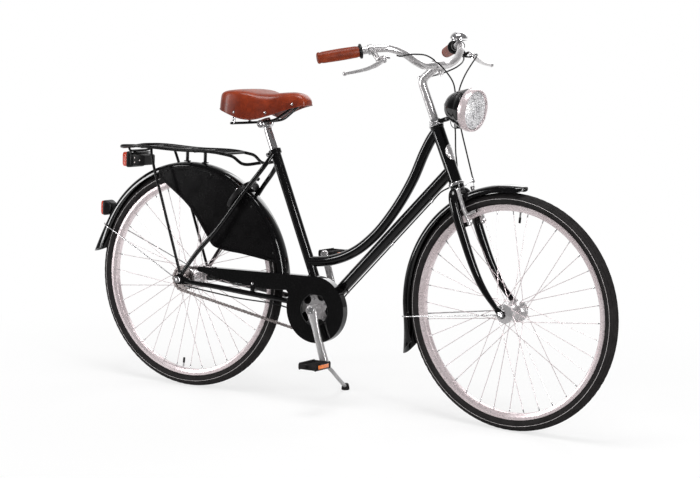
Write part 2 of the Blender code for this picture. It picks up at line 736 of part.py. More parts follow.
def rack():
    """A welded carrier: an outer loop that runs down to the stays, cross bars, and two legs."""
    high = RACK_HEIGHT
    half = RACK_HALF_WIDTH
    stay = Vector(seatstay_path(LEFT)[4][:3])
    foot = stay + Vector((-0.0165, 0.0070, 0.0010))
    left = [
        foot,
        Vector((-0.350, half - 0.006, high - 0.030)),
        Vector((-0.382, half - 0.001, high - 0.010)),
        Vector((RACK_FRONT_X, half, high - 0.004)),
        Vector((-0.800, half, high + 0.003)),
        Vector((-0.822, half - 0.006, high + 0.001)),
        Vector((-0.834, half - 0.018, high - 0.002)),
        Vector((RACK_REAR_X, half - 0.034, high - 0.004)),
    ]
    loop = tube(left + [mirrored(point) for point in reversed(left)], RACK_RAIL_RADIUS, 6)
    parts = []
    for x in (RACK_FRONT_X - 0.004, -0.530, -0.600, -0.740):
        z = high - 0.0035 + 0.006 * (RACK_FRONT_X - x) / 0.4
        parts.append(tube([Vector((x, -half, z)), Vector((x, half, z))], RACK_BAR_RADIUS, 5))
    for y in (-0.022, 0.022):
        ends = [Vector((RACK_FRONT_X - 0.004, y, high - 0.0030)), Vector((-0.740, y, high + 0.0010))]
        parts.append(tube(ends, RACK_BAR_RADIUS, 5))
    shelf = [
        Vector((LIGHT_X, half - 0.001, high + 0.002)),
        Vector((LIGHT_X, half - 0.018, high - LIGHT_DROP)),
        Vector((LIGHT_X, -half + 0.018, high - LIGHT_DROP)),
        Vector((LIGHT_X, -half + 0.001, high + 0.002)),
    ]
    parts.append(tube(shelf, RACK_BAR_RADIUS, 5))
    eye = REAR_HUB + EAR_RISE
    plate_out = REAR_FRAME_SPACE + DROPOUT_THICKNESS + GAP
    for side in (RIGHT, LEFT):
        leg = [
            on_side(side, -0.700, half, high - 0.001),
            on_side(side, -0.692, half + 0.006, high - 0.028),
            on_side(side, -0.645, half + 0.0115, 0.600),
            on_side(side, eye.x, plate_out + 0.0050, eye.z),
        ]
        parts.append(tube(leg, RACK_LEG_RADIUS, 5))
        parts.append(disc(eye, Y_AXIS * side, 0.0075, plate_out, plate_out + 0.0050, 8))
    for x in (-0.600, -0.530):
        crown = REAR_HUB.z + math.sqrt((FENDER_RADIUS + GAP) ** 2 - (x - REAR_HUB.x) ** 2)
        parts.append(block(Vector((x, 0.0, (crown + high - 0.002) / 2)), (0.009, 0.007, high - 0.002 - crown)))
        parts.append(block(Vector((x, 0.0, crown + 0.0022)), (0.018, 0.014, 0.0030)))
    carrier = fuse(loop, *parts)
    return cut(carrier, rod_cutter(REAR_HUB, Y_AXIS, FENDER_RADIUS + GAP, 0.03, 72))


LIGHT_X = -0.7925
LIGHT_LENGTH = 0.085


def rear_light():
    """A box that hangs under the carrier, with its lens to the rear."""
    top = RACK_HEIGHT - LIGHT_DROP - RACK_BAR_RADIUS + 0.0004
    tall = 0.052
    middle = Vector((LIGHT_X, 0.0, top - tall / 2))
    body = block(middle, (LIGHT_LENGTH, 0.084, tall), 0.006)
    lens = block(middle - X_AXIS * (LIGHT_LENGTH / 2), (0.012, 0.076, tall - 0.008), 0.004)
    return fuse(body, lens)


def rear_reflector():
    """A round reflector on a foot, square to the road and seated on the fender."""
    angle = 149.0
    seat_at = polar(REAR_HUB, FENDER_RADIUS, angle)
    centre = polar(REAR_HUB, FENDER_RADIUS + 0.020, angle)
    cup = turned(
        [(0.0170, -0.004), (0.0255, 0.012), (0.0262, 0.029), (0.0235, 0.032)],
        centre + X_AXIS * 0.012,
        -X_AXIS,
        16,
    )
    foot = block(seat_at - X_AXIS * 0.002, (0.030, 0.016, 0.022))
    return cut(fuse(cup, foot), rod_cutter(REAR_HUB, Y_AXIS, FENDER_RADIUS + GAP, 0.05, 72))


def guard_outline():
    """The chain guard seen from the side: an arm to the rear and a round about the chainring."""
    top_angle = 96.0
    low_angle = 158.0
    points = [REAR_HUB + Vector((0.062, 0.0, 0.0330)), REAR_HUB + Vector((0.066, 0.0, 0.0460))]
    span = top_angle + 360.0 - low_angle
    for k in range(GUARD_STEPS + 1):
        points.append(polar(BOTTOM, GUARD_ROUND, top_angle - span * k / GUARD_STEPS))
    points.append(polar(BOTTOM, GUARD_ROUND + 0.006, low_angle - 3.0) + Vector((-0.007, 0.0, 0.005)))
    points.append(REAR_HUB + Vector((0.330, 0.0, -0.0025)))
    points.append(REAR_HUB + Vector((0.153, 0.0, 0.0120)))
    return points


def chain_guard():
    """A tray over the drive: a face with a hole for the crank, and a wall round its top and front."""
    outline = guard_outline()
    face_at = Y_AXIS * -GUARD_OUTER
    face = prism([point + face_at for point in outline], Y_AXIS * GUARD_SHEET)
    face = cut(face, rod_cutter(BOTTOM, Y_AXIS, GUARD_HOLE, 0.1, 20))
    wall_points = outline[1 : 3 + GUARD_STEPS * 3 // 4]
    rings = []
    for i, point in enumerate(wall_points):
        before = wall_points[max(i - 1, 0)]
        after = wall_points[min(i + 1, len(wall_points) - 1)]
        along = (after - before).normalized()
        inward = Vector((along.z, 0.0, -along.x)) * GUARD_SHEET
        edge = point + face_at
        deep = Y_AXIS * GUARD_DEPTH
        rings.append([edge, edge + deep, edge + deep + inward, edge + inward])
    wall = loft(rings)
    lip = turned(
        [(GUARD_HOLE - 0.0012, -0.0004), (GUARD_HOLE + 0.0024, 0.0002), (GUARD_HOLE - 0.0002, 0.0026)],
        BOTTOM - Y_AXIS * (GUARD_OUTER - 0.0010),
        -Y_AXIS,
        20,
        ring=True,
    )
    stay = Vector(chainstay_path(RIGHT)[3][:3])
    reach = -GUARD_OUTER - stay.y - 0.012
    shelf_z = stay.z + CHAINSTAY_RADIUS + 0.0020
    shelf = block(Vector((stay.x, stay.y + 0.012 + reach / 2, shelf_z)), (0.016, -reach, 0.0020))
    high = REAR_HUB.z + 0.022
    middle = Vector((stay.x, -GUARD_OUTER + GUARD_SHEET, (high + shelf_z) / 2))
    strut = block(middle, (0.016, 0.0020, high - shelf_z))
    return fuse(face, wall, lip, shelf, strut)


LOCK_RADIUS_AT = 0.335
LOCK_INNER = 0.0450
LOCK_OUTER = 0.0620
LOCK_HALF = 0.0085
BOLT_RADIUS = 0.0535
BOLT_SECTION = 0.0038


def lock_frame():
    """The lock's centre, its direction along the tyre, and its outward direction along the stays."""
    low = Vector(seatstay_path(LEFT)[2][:3])
    high = Vector(seatstay_path(LEFT)[3][:3])
    outward = Vector((high.x - low.x, 0.0, high.z - low.z)).normalized()
    along = Y_AXIS.cross(outward)
    foot = Vector((low.x, 0.0, low.z))
    reach = LOCK_RADIUS_AT - (foot - REAR_HUB).dot(outward)
    centre = foot + outward * reach - along * (LOCK_HALF + STAY_RADIUS - 0.0002)
    return centre, along, outward


def lock_point(radius, degrees, along_by=0.0):
    """A point of the lock: 0 is outward from the wheel, and 90 is to the left."""
    centre, along, outward = lock_frame()
    angle = math.radians(degrees)
    return centre + outward * (radius * math.cos(angle)) + Y_AXIS * (radius * math.sin(angle)) + along * along_by


def lock_arc(rings, start, stop, steps):
    """Lofts a section of (radius, along) points round the lock."""
    loops = []
    for k in range(steps + 1):
        degrees = start + (stop - start) * k / steps
        loops.append([lock_point(radius, degrees, by) for radius, by in rings])
    return loft(loops)


def ring_lock():
    """A horseshoe round the tyre, hollow for its bolt, that opens towards the hub."""
    b = 0.003
    section = [
        (LOCK_INNER, -LOCK_HALF),
        (LOCK_OUTER - b, -LOCK_HALF),
        (LOCK_OUTER, -LOCK_HALF + b),
        (LOCK_OUTER, LOCK_HALF - b),
        (LOCK_OUTER - b, LOCK_HALF),
        (LOCK_INNER, LOCK_HALF),
    ]
    case = lock_arc(section, -127.0, 127.0, 16)
    r = BOLT_SECTION + 0.0012
    bore = [(BOLT_RADIUS + r * math.cos(math.tau * k / 6), r * math.sin(math.tau * k / 6)) for k in range(6)]
    inner = BOLT_RADIUS + 0.003
    outer = LOCK_OUTER + 0.01
    gate = [(inner, -0.0024), (outer, -0.0024), (outer, 0.0024), (inner, 0.0024)]
    return cut(case, lock_arc(bore, 5.0, 132.0, 12), lock_arc(bore, -132.0, -117.0, 2), lock_arc(gate, 7.5, 125.0, 10))


def ring_lock_bolt():
    """The curved bolt with its knob, drawn back into the left arm of the lock."""
    r = BOLT_SECTION
    section = [(BOLT_RADIUS + r * math.cos(math.tau * k / 6), r * math.sin(math.tau * k / 6)) for k in range(6)]
    bolt = lock_arc(section, 8.0, 126.0, 12)
    root = lock_point(BOLT_RADIUS + 0.001, 11.0)
    end = lock_point(LOCK_OUTER + 0.010, 11.0)
    out = (end - root).normalized()
    knob = turned([(0.0045, 0.0), (0.0062, 0.002), (0.0062, 0.009), (0.0045, 0.011)], end - out * 0.002, out, 8)
    return fuse(bolt, tube([root, end], 0.0018, 6), knob)


# Drive

def chain_rollers():
    """Roller centres once round, each with the kind of link after it.

    A 'window' link lies over teeth, a 'waist' link hangs free, and a 'plain' one is hidden.
    """
    step = 360.0 / RING_TEETH
    back_step = 360.0 / SPROCKET_TEETH
    base = drive_angle()
    wrap = math.degrees(math.asin((RING_RADIUS - SPROCKET_RADIUS) / CENTRES_APART))
    count = round((180.0 + 2 * wrap) / step)
    back_count = round((180.0 - 2 * wrap) / back_step)
    front = [polar(BOTTOM, RING_RADIUS, base + step * (count / 2 - k)) for k in range(count + 1)]
    back = [
        polar(REAR_HUB, SPROCKET_RADIUS, base + 180.0 + back_step * (back_count / 2 - k)) for k in range(back_count + 1)
    ]
    near_ring = 3
    near_sprocket = 2
    places = [(point, "window") for point in front]
    for k in range(1, RUN_LINKS):
        kind = "window" if k < near_ring or k >= RUN_LINKS - near_sprocket else "waist"
        places.append((front[-1].lerp(back[0], k / RUN_LINKS), kind))
    places += [(point, "window") for point in back]
    for k in range(1, near_sprocket):
        places.append((back[-1].lerp(front[0], k / RUN_LINKS), "window"))
    places.append((back[-1].lerp(front[0], near_sprocket / RUN_LINKS), "plain"))
    for k in range(RUN_LINKS - near_ring, RUN_LINKS):
        places.append((back[-1].lerp(front[0], k / RUN_LINKS), "window"))
    return places


def chain():
    """Rollers and plates in one loop. Links on the teeth are open, so that the teeth stand in them."""
    rollers = chain_rollers()
    total = len(rollers)
    line = Y_AXIS * -CHAIN_LINE
    inside = LINK_INSIDE_HALF
    bm = bmesh.new()

    def section(place, along, outside, height, opening):
        """The lower points of a section from right to left, then the upper ones back."""
        up = Y_AXIS.cross(along) * height
        across = (-outside, -inside, inside, outside) if opening else (-outside, outside)
        low = [bm.verts.new(place + line + Y_AXIS * y - up) for y in across]
        high = [bm.verts.new(place + line + Y_AXIS * y + up) for y in across]
        return low, high

    def skin(a, b):
        """A closed box between two sections."""
        for i in (0, 1):
            bm.faces.new(a[i] + b[i][::-1])
        for k in (0, -1):
            bm.faces.new((a[0][k], a[1][k], b[1][k], b[0][k]))

    def rails(a, b):
        """Two side plates with the window between them."""
        for first in (0, 2):
            second = first + 1
            for i in (0, 1):
                bm.faces.new((a[i][first], a[i][second], b[i][second], b[i][first]))
            for k in (first, second):
                bm.faces.new((a[0][k], a[1][k], b[1][k], b[0][k]))
        for end in (a, b):
            bm.faces.new((end[0][1], end[0][2], end[1][2], end[1][1]))

    ends = []
    for i, (place, kind) in enumerate(rollers):
        after = (rollers[(i + 1) % total][0] - place).normalized()
        before = (place - rollers[i - 1][0]).normalized()
        here = OUTER_LINK_HALF if i % 2 else INNER_LINK_HALF
        last = INNER_LINK_HALF if i % 2 else OUTER_LINK_HALF
        kinds = (rollers[i - 1][1], kind)
        if "window" not in kinds:
            middle = section(place, after, (here + last) / 2, LINK_HALF_HEIGHT, False)
            ends.append((middle, middle))
            continue
        back = section(place - before * ROLLER_RADIUS, before, last, LINK_HALF_HEIGHT, kinds[0] == "window")
        front = section(place + after * ROLLER_RADIUS, after, here, LINK_HALF_HEIGHT, kinds[1] == "window")
        skin(back, front)
        ends.append((back, front))
    for i, (place, kind) in enumerate(rollers):
        following = rollers[(i + 1) % total][0]
        after = (following - place).normalized()
        here = OUTER_LINK_HALF if i % 2 else INNER_LINK_HALF
        front = ends[i][1]
        back = ends[(i + 1) % total][0]
        if kind == "window":
            rails(front, back)
        elif kind == "waist":
            waist = section(place.lerp(following, 0.5), after, here, LINK_WAIST, False)
            skin(front, waist)
            skin(waist, back)
        else:
            skin(front, back)
    return solid(bm)


def toothed(centre, radius, teeth, base):
    """A toothed plate that fills the open links of the chain, in the chain's own plane."""
    root = radius - LINK_HALF_HEIGHT - 0.0004
    tip = radius + TOOTH_RISE
    room = PITCH / 2 - ROLLER_RADIUS - GAP
    outline = []
    for k in range(teeth):
        middle = base + 360.0 * k / teeth
        for r, half in ((root, -room), (tip, 0.0), (root, room)):
            outline.append(polar(centre, r, middle + math.degrees(half / radius), -CHAIN_LINE - TOOTH_HALF_THICKNESS))
    return prism(outline, Y_AXIS * (2 * TOOTH_HALF_THICKNESS))


def drive_angle():
    ahead = BOTTOM - REAR_HUB
    return math.degrees(math.atan2(ahead.z, ahead.x))


def sprocket():
    plate = toothed(REAR_HUB, SPROCKET_RADIUS, SPROCKET_TEETH, drive_angle() + 180.0)
    driver = disc(REAR_HUB, Y_AXIS, 0.0175, -CHAIN_LINE - 0.0060, -REAR_HUB_HALF - 0.0012, 14)
    plate = fuse(plate, driver)
    return cut(plate, rod_cutter(REAR_HUB, Y_AXIS, AXLE_RADIUS + BEARING_GAP, 0.1, 12))


def crank_end(side):
    """The pedal axle's centre in the crank's plane. The right crank hangs down and forward."""
    angle = math.radians(CRANK_BACK)
    down = Vector((math.sin(angle), 0.0, -math.cos(angle))) * CRANK_LENGTH
    return BOTTOM + (down if side == RIGHT else -down)


def crank_arm(side):
    """An arm that tapers from its boss to the pedal's eye, with the pedal's axle."""
    end = crank_end(side)
    inner = CRANK_INNER + 0.002
    along = (end - BOTTOM).normalized()
    across = Y_AXIS.cross(along)
    rings = []
    for reach, width, thick, out in (
        (-0.010, 0.014, 0.0100, 0.000),
        (0.006, 0.0165, CRANK_THICKNESS, 0.000),
        (0.040, 0.0125, CRANK_THICKNESS, 0.003),
        (0.100, 0.0112, CRANK_THICKNESS, 0.008),
        (CRANK_LENGTH - 0.008, 0.0118, CRANK_THICKNESS, 0.0110),
        (CRANK_LENGTH + 0.008, 0.0095, CRANK_THICKNESS - 0.002, 0.0110),
    ):
        low = inner + out
        top = low + thick
        corner = min(width, thick) * 0.28
        centre = BOTTOM + along * reach
        ring = []
        for x, y in (
            (-width + corner, low),
            (width - corner, low),
            (width, low + corner),
            (width, top - corner),
            (width - corner, top),
            (-width + corner, top),
            (-width, top - corner),
            (-width, low + corner),
        ):
            ring.append(centre + across * x + Y_AXIS * (side * y))
        rings.append(ring)
    arm = loft(rings)
    axle_start = CRANK_INNER + 0.014
    axle_end = PEDAL_INNER + PEDAL_LENGTH - 0.012
    axle = disc(end, Y_AXIS * side, PEDAL_AXLE_RADIUS, axle_start, axle_end, 10)
    return arm, axle


def crank_right():
    """The right arm with its boss, and the chainring with its windows."""
    arm, axle = crank_arm(RIGHT)
    boss_start = BOTTOM_SHELL_HALF + 0.0030
    bore_end = CRANK_INNER + 0.003
    bore = BOTTOM_AXLE_RADIUS + GAP
    boss = turned(
        [
            (0.0155, CRANK_INNER + 0.0150),
            (0.0172, CRANK_INNER + 0.0130),
            (0.0160, CRANK_INNER - 0.002),
            (0.0195, CHAIN_LINE + 0.006),
            (0.0195, CHAIN_LINE - 0.001),
            (0.0150, boss_start),
        ],
        BOTTOM,
        -Y_AXIS,
        12,
    )
    ring = toothed(BOTTOM, RING_RADIUS, RING_TEETH, drive_angle())
    windows = []
    for k in range(5):
        at = polar(BOTTOM, 0.0455, 72.0 * k + 90.0 - CRANK_BACK)
        windows.append(disc(at, Y_AXIS, 0.0150, -CHAIN_LINE - 0.01, -CHAIN_LINE + 0.01, 10))
    whole = fuse(boss, cut(ring, *windows), arm, axle)
    return cut(whole, disc(BOTTOM, -Y_AXIS, bore, 0.0, bore_end, 12))


def crank_left():
    """The left arm, with the axle that runs through the bottom bracket."""
    arm, axle = crank_arm(LEFT)
    boss = turned(
        [
            (0.0155, CRANK_INNER + 0.0150),
            (0.0172, CRANK_INNER + 0.0130),
            (0.0160, BOTTOM_SHELL_HALF + 0.012),
            (0.0130, BOTTOM_SHELL_HALF + 0.003),
            (BOTTOM_AXLE_RADIUS, BOTTOM_SHELL_HALF + 0.003),
            (BOTTOM_AXLE_RADIUS, -CRANK_INNER),
        ],
        BOTTOM,
        Y_AXIS,
        12,
    )
    return fuse(boss, arm, axle)


def pedal(side):
    """A cage with saw-toothed treads and a barrel round the axle."""
    end = crank_end(side)
    start = PEDAL_INNER
    stop = PEDAL_INNER + PEDAL_LENGTH
    half = PEDAL_WIDTH / 2
    thick = PEDAL_THICKNESS / 2
    middle = Vector((end.x, side * (start + stop) / 2, end.z))
    cage = block(middle, (PEDAL_WIDTH, PEDAL_LENGTH, PEDAL_THICKNESS * 0.80), 0.003)
    cutters = []
    for sign in (-1, 1):
        at = middle + X_AXIS * (sign * half * 0.52)
        cutters.append(block(at, (half * 0.52, PEDAL_LENGTH - 0.022, 0.05)))
    cage = cut(cage, *cutters)
    treads = []
    teeth = 4
    for sign in (-1, 1):
        outline = []
        for k in range(teeth * 2 + 1):
            y = side * (start + 0.008 + (PEDAL_LENGTH - 0.016) * k / (teeth * 2))
            outline.append((y, thick - (0.0035 if k % 2 else 0.0)))
        x = middle.x + sign * (half - 0.0045) - 0.0022
        ring = [Vector((x, y, middle.z + z)) for y, z in outline]
        ring += [Vector((x, y, middle.z - z)) for y, z in reversed(outline)]
        treads.append(prism(ring, X_AXIS * 0.0044))
    cage = fuse(cage, *treads)
    bore = disc(end, Y_AXIS * side, PEDAL_AXLE_RADIUS + BEARING_GAP, start - 0.01, stop - 0.010, 10)
    return cut(cage, bore)


# Wheels

def tyre(hub):
    """A tyre on its inner tube, whose beads sit between the rim's edges."""
    centre = WHEEL_RADIUS - TYRE_HALF_WIDTH
    profile = []
    steps = 6
    for k in range(steps + 1):
        angle = math.radians(TYRE_WRAP - 2 * TYRE_WRAP * k / steps)
        profile.append((centre + TYRE_HALF_WIDTH * math.cos(angle), TYRE_HALF_WIDTH * math.sin(angle)))
    neck = BEAD_RADIUS + RIM_EDGE_HEIGHT + 2 * GAP
    profile += [(neck, -BEAD_HALF_WIDTH), (BEAD_RADIUS, -BEAD_HALF_WIDTH)]
    profile += [(BEAD_RADIUS, BEAD_HALF_WIDTH), (neck, BEAD_HALF_WIDTH)]
    points = [polar(hub, radius, 0.0, y) for radius, y in profile]
    return revolve(points, hub, -Y_AXIS, WHEEL_STEPS)


def rim(hub, valve_at):
    """A channel rim with two edges for the tyre, and the valve through it."""
    inner = BEAD_HALF_WIDTH + GAP
    outer = inner + RIM_WALL
    floor = BEAD_RADIUS - GAP
    top = BEAD_RADIUS + RIM_EDGE_HEIGHT
    half = [(RIM_INNER_RADIUS, RIM_BASE_HALF), (top, outer), (top, inner), (floor, inner)]
    profile = half + [(radius, -y) for radius, y in reversed(half)]
    points = [polar(hub, radius, 0.0, y) for radius, y in profile]
    body = revolve(points, hub, -Y_AXIS, WHEEL_STEPS)
    inward = (hub - polar(hub, 1.0, valve_at)).normalized()
    root = polar(hub, RIM_INNER_RADIUS + 0.003, valve_at)
    return fuse(body, disc(root, inward, VALVE_RADIUS, 0.0, VALVE_LENGTH, 6))


def spokes(hub, flange_radius, flange_at):
    """Crossed spokes. Each leaves its flange to one side and ends just short of the rim."""
    reach = RIM_INNER_RADIUS * math.cos(math.pi / WHEEL_STEPS) - GAP - 0.0002
    made = []
    for k in range(SPOKES):
        at = 360.0 * k / SPOKES
        side = LEFT if k % 2 else RIGHT
        sweep = SPOKE_SWEEP if (k // 2) % 2 else -SPOKE_SWEEP
        foot_y = flange_at[side] + (0.0015 if (k // 2) % 2 else -0.0015)
        foot = polar(hub, flange_radius, at + sweep, foot_y)
        tip = polar(hub, reach, at, side * 0.0015)
        made.append(tube([foot, tip], SPOKE_RADIUS, 3))
    return made


def front_hub():
    bore = AXLE_RADIUS + BEARING_GAP
    h = FRONT_HUB_HALF
    profile = [
        (bore, -h),
        (0.0115, -h),
        (0.0280, -0.0385),
        (0.0280, -0.0325),
        (0.0175, -0.0270),
        (0.0190, 0.0180),
        (0.0340, 0.0320),
        (0.0340, 0.0410),
        (0.0120, h),
        (bore, h),
    ]
    body = turned(profile, FRONT_HUB, Y_AXIS, 14, ring=True)
    return fuse(body, *spokes(FRONT_HUB, 0.0255, {RIGHT: -0.0355, LEFT: 0.0365}))


def rear_hub():
    bore = AXLE_RADIUS + BEARING_GAP
    h = REAR_HUB_HALF
    profile = [
        (bore, -h),
        (0.0355, -h),
        (0.0355, -h + 0.0065),
        (0.0255, -h + 0.010),
        (0.0265, 0.022),
        (0.0355, 0.025),
        (0.0355, 0.0305),
        (0.0290, 0.044),
        (0.0140, 0.047),
        (bore, 0.047),
    ]
    body = turned(profile, REAR_HUB, Y_AXIS, 14, ring=True)
    return fuse(body, *spokes(REAR_HUB, 0.0325, {RIGHT: -h + 0.0034, LEFT: 0.0278}))


def axle(hub, space, plate, right_end, left_end, nut_radius):
    """An axle with a cone against each bearing, and a nut outside each plate."""
    outer = space + plate + GAP + FENDER_EYE + GAP
    r = AXLE_RADIUS
    profile = [
        (r, -outer - 0.014),
        (r, -space + GAP),
        (0.0100, -space + GAP),
        (0.0100, -right_end),
        (r, -right_end),
        (r, left_end),
        (0.0100, left_end),
        (0.0100, space - GAP),
        (r, space - GAP),
        (r, outer + 0.014),
    ]
    rod = turned(profile, hub, Y_AXIS, 8)
    nuts = [disc(hub, Y_AXIS * side, nut_radius, outer, outer + 0.0090, 6) for side in (RIGHT, LEFT)]
    return fuse(rod, *nuts)


# Steering

def fork():
    """A steerer in its head tube, and two blades that leave it at round shoulders."""
    race = 0.021
    top = HEAD_LENGTH + 0.0210
    bore = room_for(STEM_RADIUS, 14)
    steerer = turned(
        [
            (bore, 0.075),
            (bore, top),
            (STEERER_RADIUS, top),
            (STEERER_RADIUS, -GAP),
            (race, -GAP),
            (race, -0.008),
            (0.0175, -0.0165),
        ],
        HEAD_BOTTOM,
        HEAD_AXIS,
        14,
    )
    run = [
        (-0.0170, 0.000, 0.0160, 0.0135),
        (-0.0230, 0.000, 0.0300, 0.0142),
        (-0.0380, 0.000, 0.0410, 0.0145),
        (-0.0650, -0.001, 0.0460, 0.0145),
        (-0.1550, -0.005, 0.0475, 0.0135),
        (-0.2550, -0.004, 0.0495, 0.0118),
        (-0.3000, 0.001, 0.0508, 0.0106),
        (-0.3400, 0.011, 0.0522, 0.0092),
        (-0.3860, 0.0275, 0.0530, 0.0070),
    ]
    left = [(*head(t, forward, y), r) for t, forward, y, r in run]
    right = [(x, -y, z, r) for x, y, z, r in left]
    blades = tube(left[::-1] + right, None, 8)
    tip = Vector((left[-1][0], 0.0, left[-1][2]))
    tips = []
    for side in (RIGHT, LEFT):
        low, high = sorted((side * FRONT_FORK_SPACE, side * (FRONT_FORK_SPACE + FORK_TIP)))
        tips.append(lug(FRONT_HUB, 0.0125, tip, 0.0085, Y_AXIS, low, high, 4))
    studs = []
    for side in (RIGHT, LEFT):
        studs.append(disc(brake_pivot(side), HEAD_FORWARD, BRAKE_STUD_RADIUS, -0.020, 0.0060, 8))
        studs.append(disc(brake_pivot(side), HEAD_FORWARD, 0.0070, -0.020, -0.0040 - GAP, 8))
    whole = fuse(steerer, blades, *tips, *studs)
    return cut(whole, rod_cutter(FRONT_HUB, Y_AXIS, AXLE_RADIUS + GAP, 0.1, 8))


LAMP_PIVOT = Vector((0.3470, 0.0, 0.9030))


def headset_upper():
    """The upper cup and locknut, with the lamp's bracket of two plates."""
    bore = STEERER_RADIUS + GAP
    base = HEAD_LENGTH + GAP
    profile = [
        (bore, base),
        (0.0235, base),
        (0.0235, base + 0.0040),
        (0.0205, base + 0.0070),
        (0.0205, base + 0.0110),
        (0.0180, base + 0.0120),
        (0.0180, base + 0.0195),
        (bore, base + 0.0195),
    ]
    stack = turned(profile, HEAD_BOTTOM, HEAD_AXIS, 14, ring=True)
    start = head(base + 0.0095, 0.0185)
    plates = []
    for y in (-0.0090, 0.0090):
        plates.append(lug(LAMP_PIVOT, 0.0065, start, 0.0050, Y_AXIS, y - 0.0013, y + 0.0013, 3))
    plates.append(block(start.lerp(LAMP_PIVOT, 0.32), (0.018, 0.0190, 0.0026)))
    plates.append(disc(LAMP_PIVOT, Y_AXIS, 0.0024, -0.0125, 0.0125, 6))
    whole = fuse(stack, *plates)
    return cut(whole, disc(HEAD_BOTTOM, HEAD_AXIS, bore, 0.1, 0.3, 14))


BAR_CENTRE = Vector((0.308, 0.0, 1.058))


def stem():
    """A quill that slides in the steerer, and an arm up to the clamp of the bar."""
    low = head(HEAD_LENGTH + 0.021 - STEM_INSERT)
    arm = tube([low, head(STEM_RISE), BAR_CENTRE], STEM_RADIUS, 12)
    clamp = disc(BAR_CENTRE, Y_AXIS, BAR_RADIUS + 0.0062, -BAR_CLAMP_HALF, BAR_CLAMP_HALF, 14)
    under = BAR_CENTRE + Vector((0.010, 0.0, -0.019))
    ear = block(under, (0.014, 0.020, 0.016), 0.003)
    bolt = disc(under, Z_AXIS, 0.0045, -0.014, -0.006, 8)
    whole = fuse(arm, clamp, ear, bolt)
    return cut(whole, rod_cutter(BAR_CENTRE, Y_AXIS, room_for(BAR_RADIUS, 14), 0.1, 14))


BELL_BAR = Vector((0.2640, 0.186, 1.1105))
GRIP_START = Vector((0.210, 0.242, 1.104))
BAR_END = Vector((0.120, 0.335, 1.083))
BAR_INWARD = (GRIP_START - BAR_END).normalized()
CLAMP_AT = GRIP_START + BAR_INWARD * 0.022


def side_point(side, point):
    return Vector((point.x, side * point.y, point.z))


def bar_bends():
    """The left half of the bar, from beside the clamp to the start of the grip."""
    return [
        BAR_CENTRE + Y_AXIS * 0.024,
        Vector((0.3030, 0.0620, 1.0585)),
        Vector((0.3015, 0.1050, 1.0710)),
        Vector((0.2870, 0.1540, 1.0980)),
        BELL_BAR,
        GRIP_START + BAR_INWARD * 0.036,
    ]


def handlebar():
    """One tube, straight in the clamp and in the grips, that sweeps up and back between."""
    left = [BAR_CENTRE + Y_AXIS * 0.020] + smooth(bar_bends(), 2) + [BAR_END]
    path = [mirrored(point) for point in reversed(left)] + left
    return tube(path, BAR_RADIUS, 8)


def grip(side):
    """A sleeve with a closed end over the bar, and a flange towards the lever."""
    start = side_point(side, GRIP_START)
    end = side_point(side, BAR_END)
    length = (end - start).length
    r = GRIP_RADIUS
    bore = room_for(BAR_RADIUS, 12)
    profile = [
        (r - 0.003, length + 0.0040),
        (r, length + 0.0010),
        (r, 0.0115),
        (GRIP_FLANGE_RADIUS, 0.0095),
        (GRIP_FLANGE_RADIUS, 0.0045),
        (r, 0.0030),
        (bore, 0.0030),
        (bore, length + GAP),
    ]
    return turned(profile, start, (end - start), 12)


LEVER_PIVOT = Vector((0.278, 0.234, 1.080))
BARREL_END = Vector((0.2879, 0.2171, 1.0856))
LEVER_RUN = [
    (0.2780, 0.2340, 1.0800),
    (0.2765, 0.2620, 1.0690),
    (0.2705, 0.3020, 1.0570),
    (0.2620, 0.3430, 1.0500),
    (0.2530, 0.3870, 1.0450),
]


def lever_axis(side):
    """The lever's axis, about which it turns towards the grip."""
    outward = side_point(side, Vector(LEVER_RUN[-1])) - side_point(side, LEVER_PIVOT)
    along_grip = side_point(side, BAR_END) - side_point(side, GRIP_START)
    return outward.cross(along_grip).normalized()


def barrel_way(side):
    """The direction in which a cable leaves its bracket: forward and towards the stem."""
    pivot = side_point(side, LEVER_PIVOT)
    out = (pivot - side_point(side, CLAMP_AT)).normalized()
    aside = side_point(side, BARREL_END) - pivot
    aside = (aside - out * aside.dot(out)).normalized()
    return (out * 0.014 + aside * 0.0085).normalized()


def lever_bracket(side):
    """A clamp on the bar, two cheeks for the lever's root, and the barrel of the cable."""
    at = side_point(side, CLAMP_AT)
    inward = side_point(side, BAR_INWARD)
    pivot = side_point(side, LEVER_PIVOT)
    normal = lever_axis(side)
    out = (pivot - at).normalized()
    level = (out - normal * out.dot(normal)).normalized()
    band = disc(at, inward, BAR_RADIUS + 0.0042, -0.007, 0.007, 12)
    parts = []
    for sign in (-1, 1):
        low, high = sorted((sign * 0.0042, sign * 0.0070))
        parts.append(lug(pivot, 0.0072, pivot - level * 0.026, 0.0076, normal, low, high, 3))
    body = tube([at + out * 0.0125, pivot - level * 0.0250, pivot - level * 0.0180], 0.0080, 8)
    nose = side_point(side, BARREL_END)
    barrel = tube([pivot - level * 0.024, nose - barrel_way(side) * 0.0165, nose], 0.0040, 6)
    whole = fuse(body, band, barrel, *parts)
    bore = rod_cutter(at, inward, room_for(BAR_RADIUS, 12), 0.03, 12)
    return cut(whole, bore, disc(pivot, normal, 0.0100, -0.0042, 0.0042, 12))


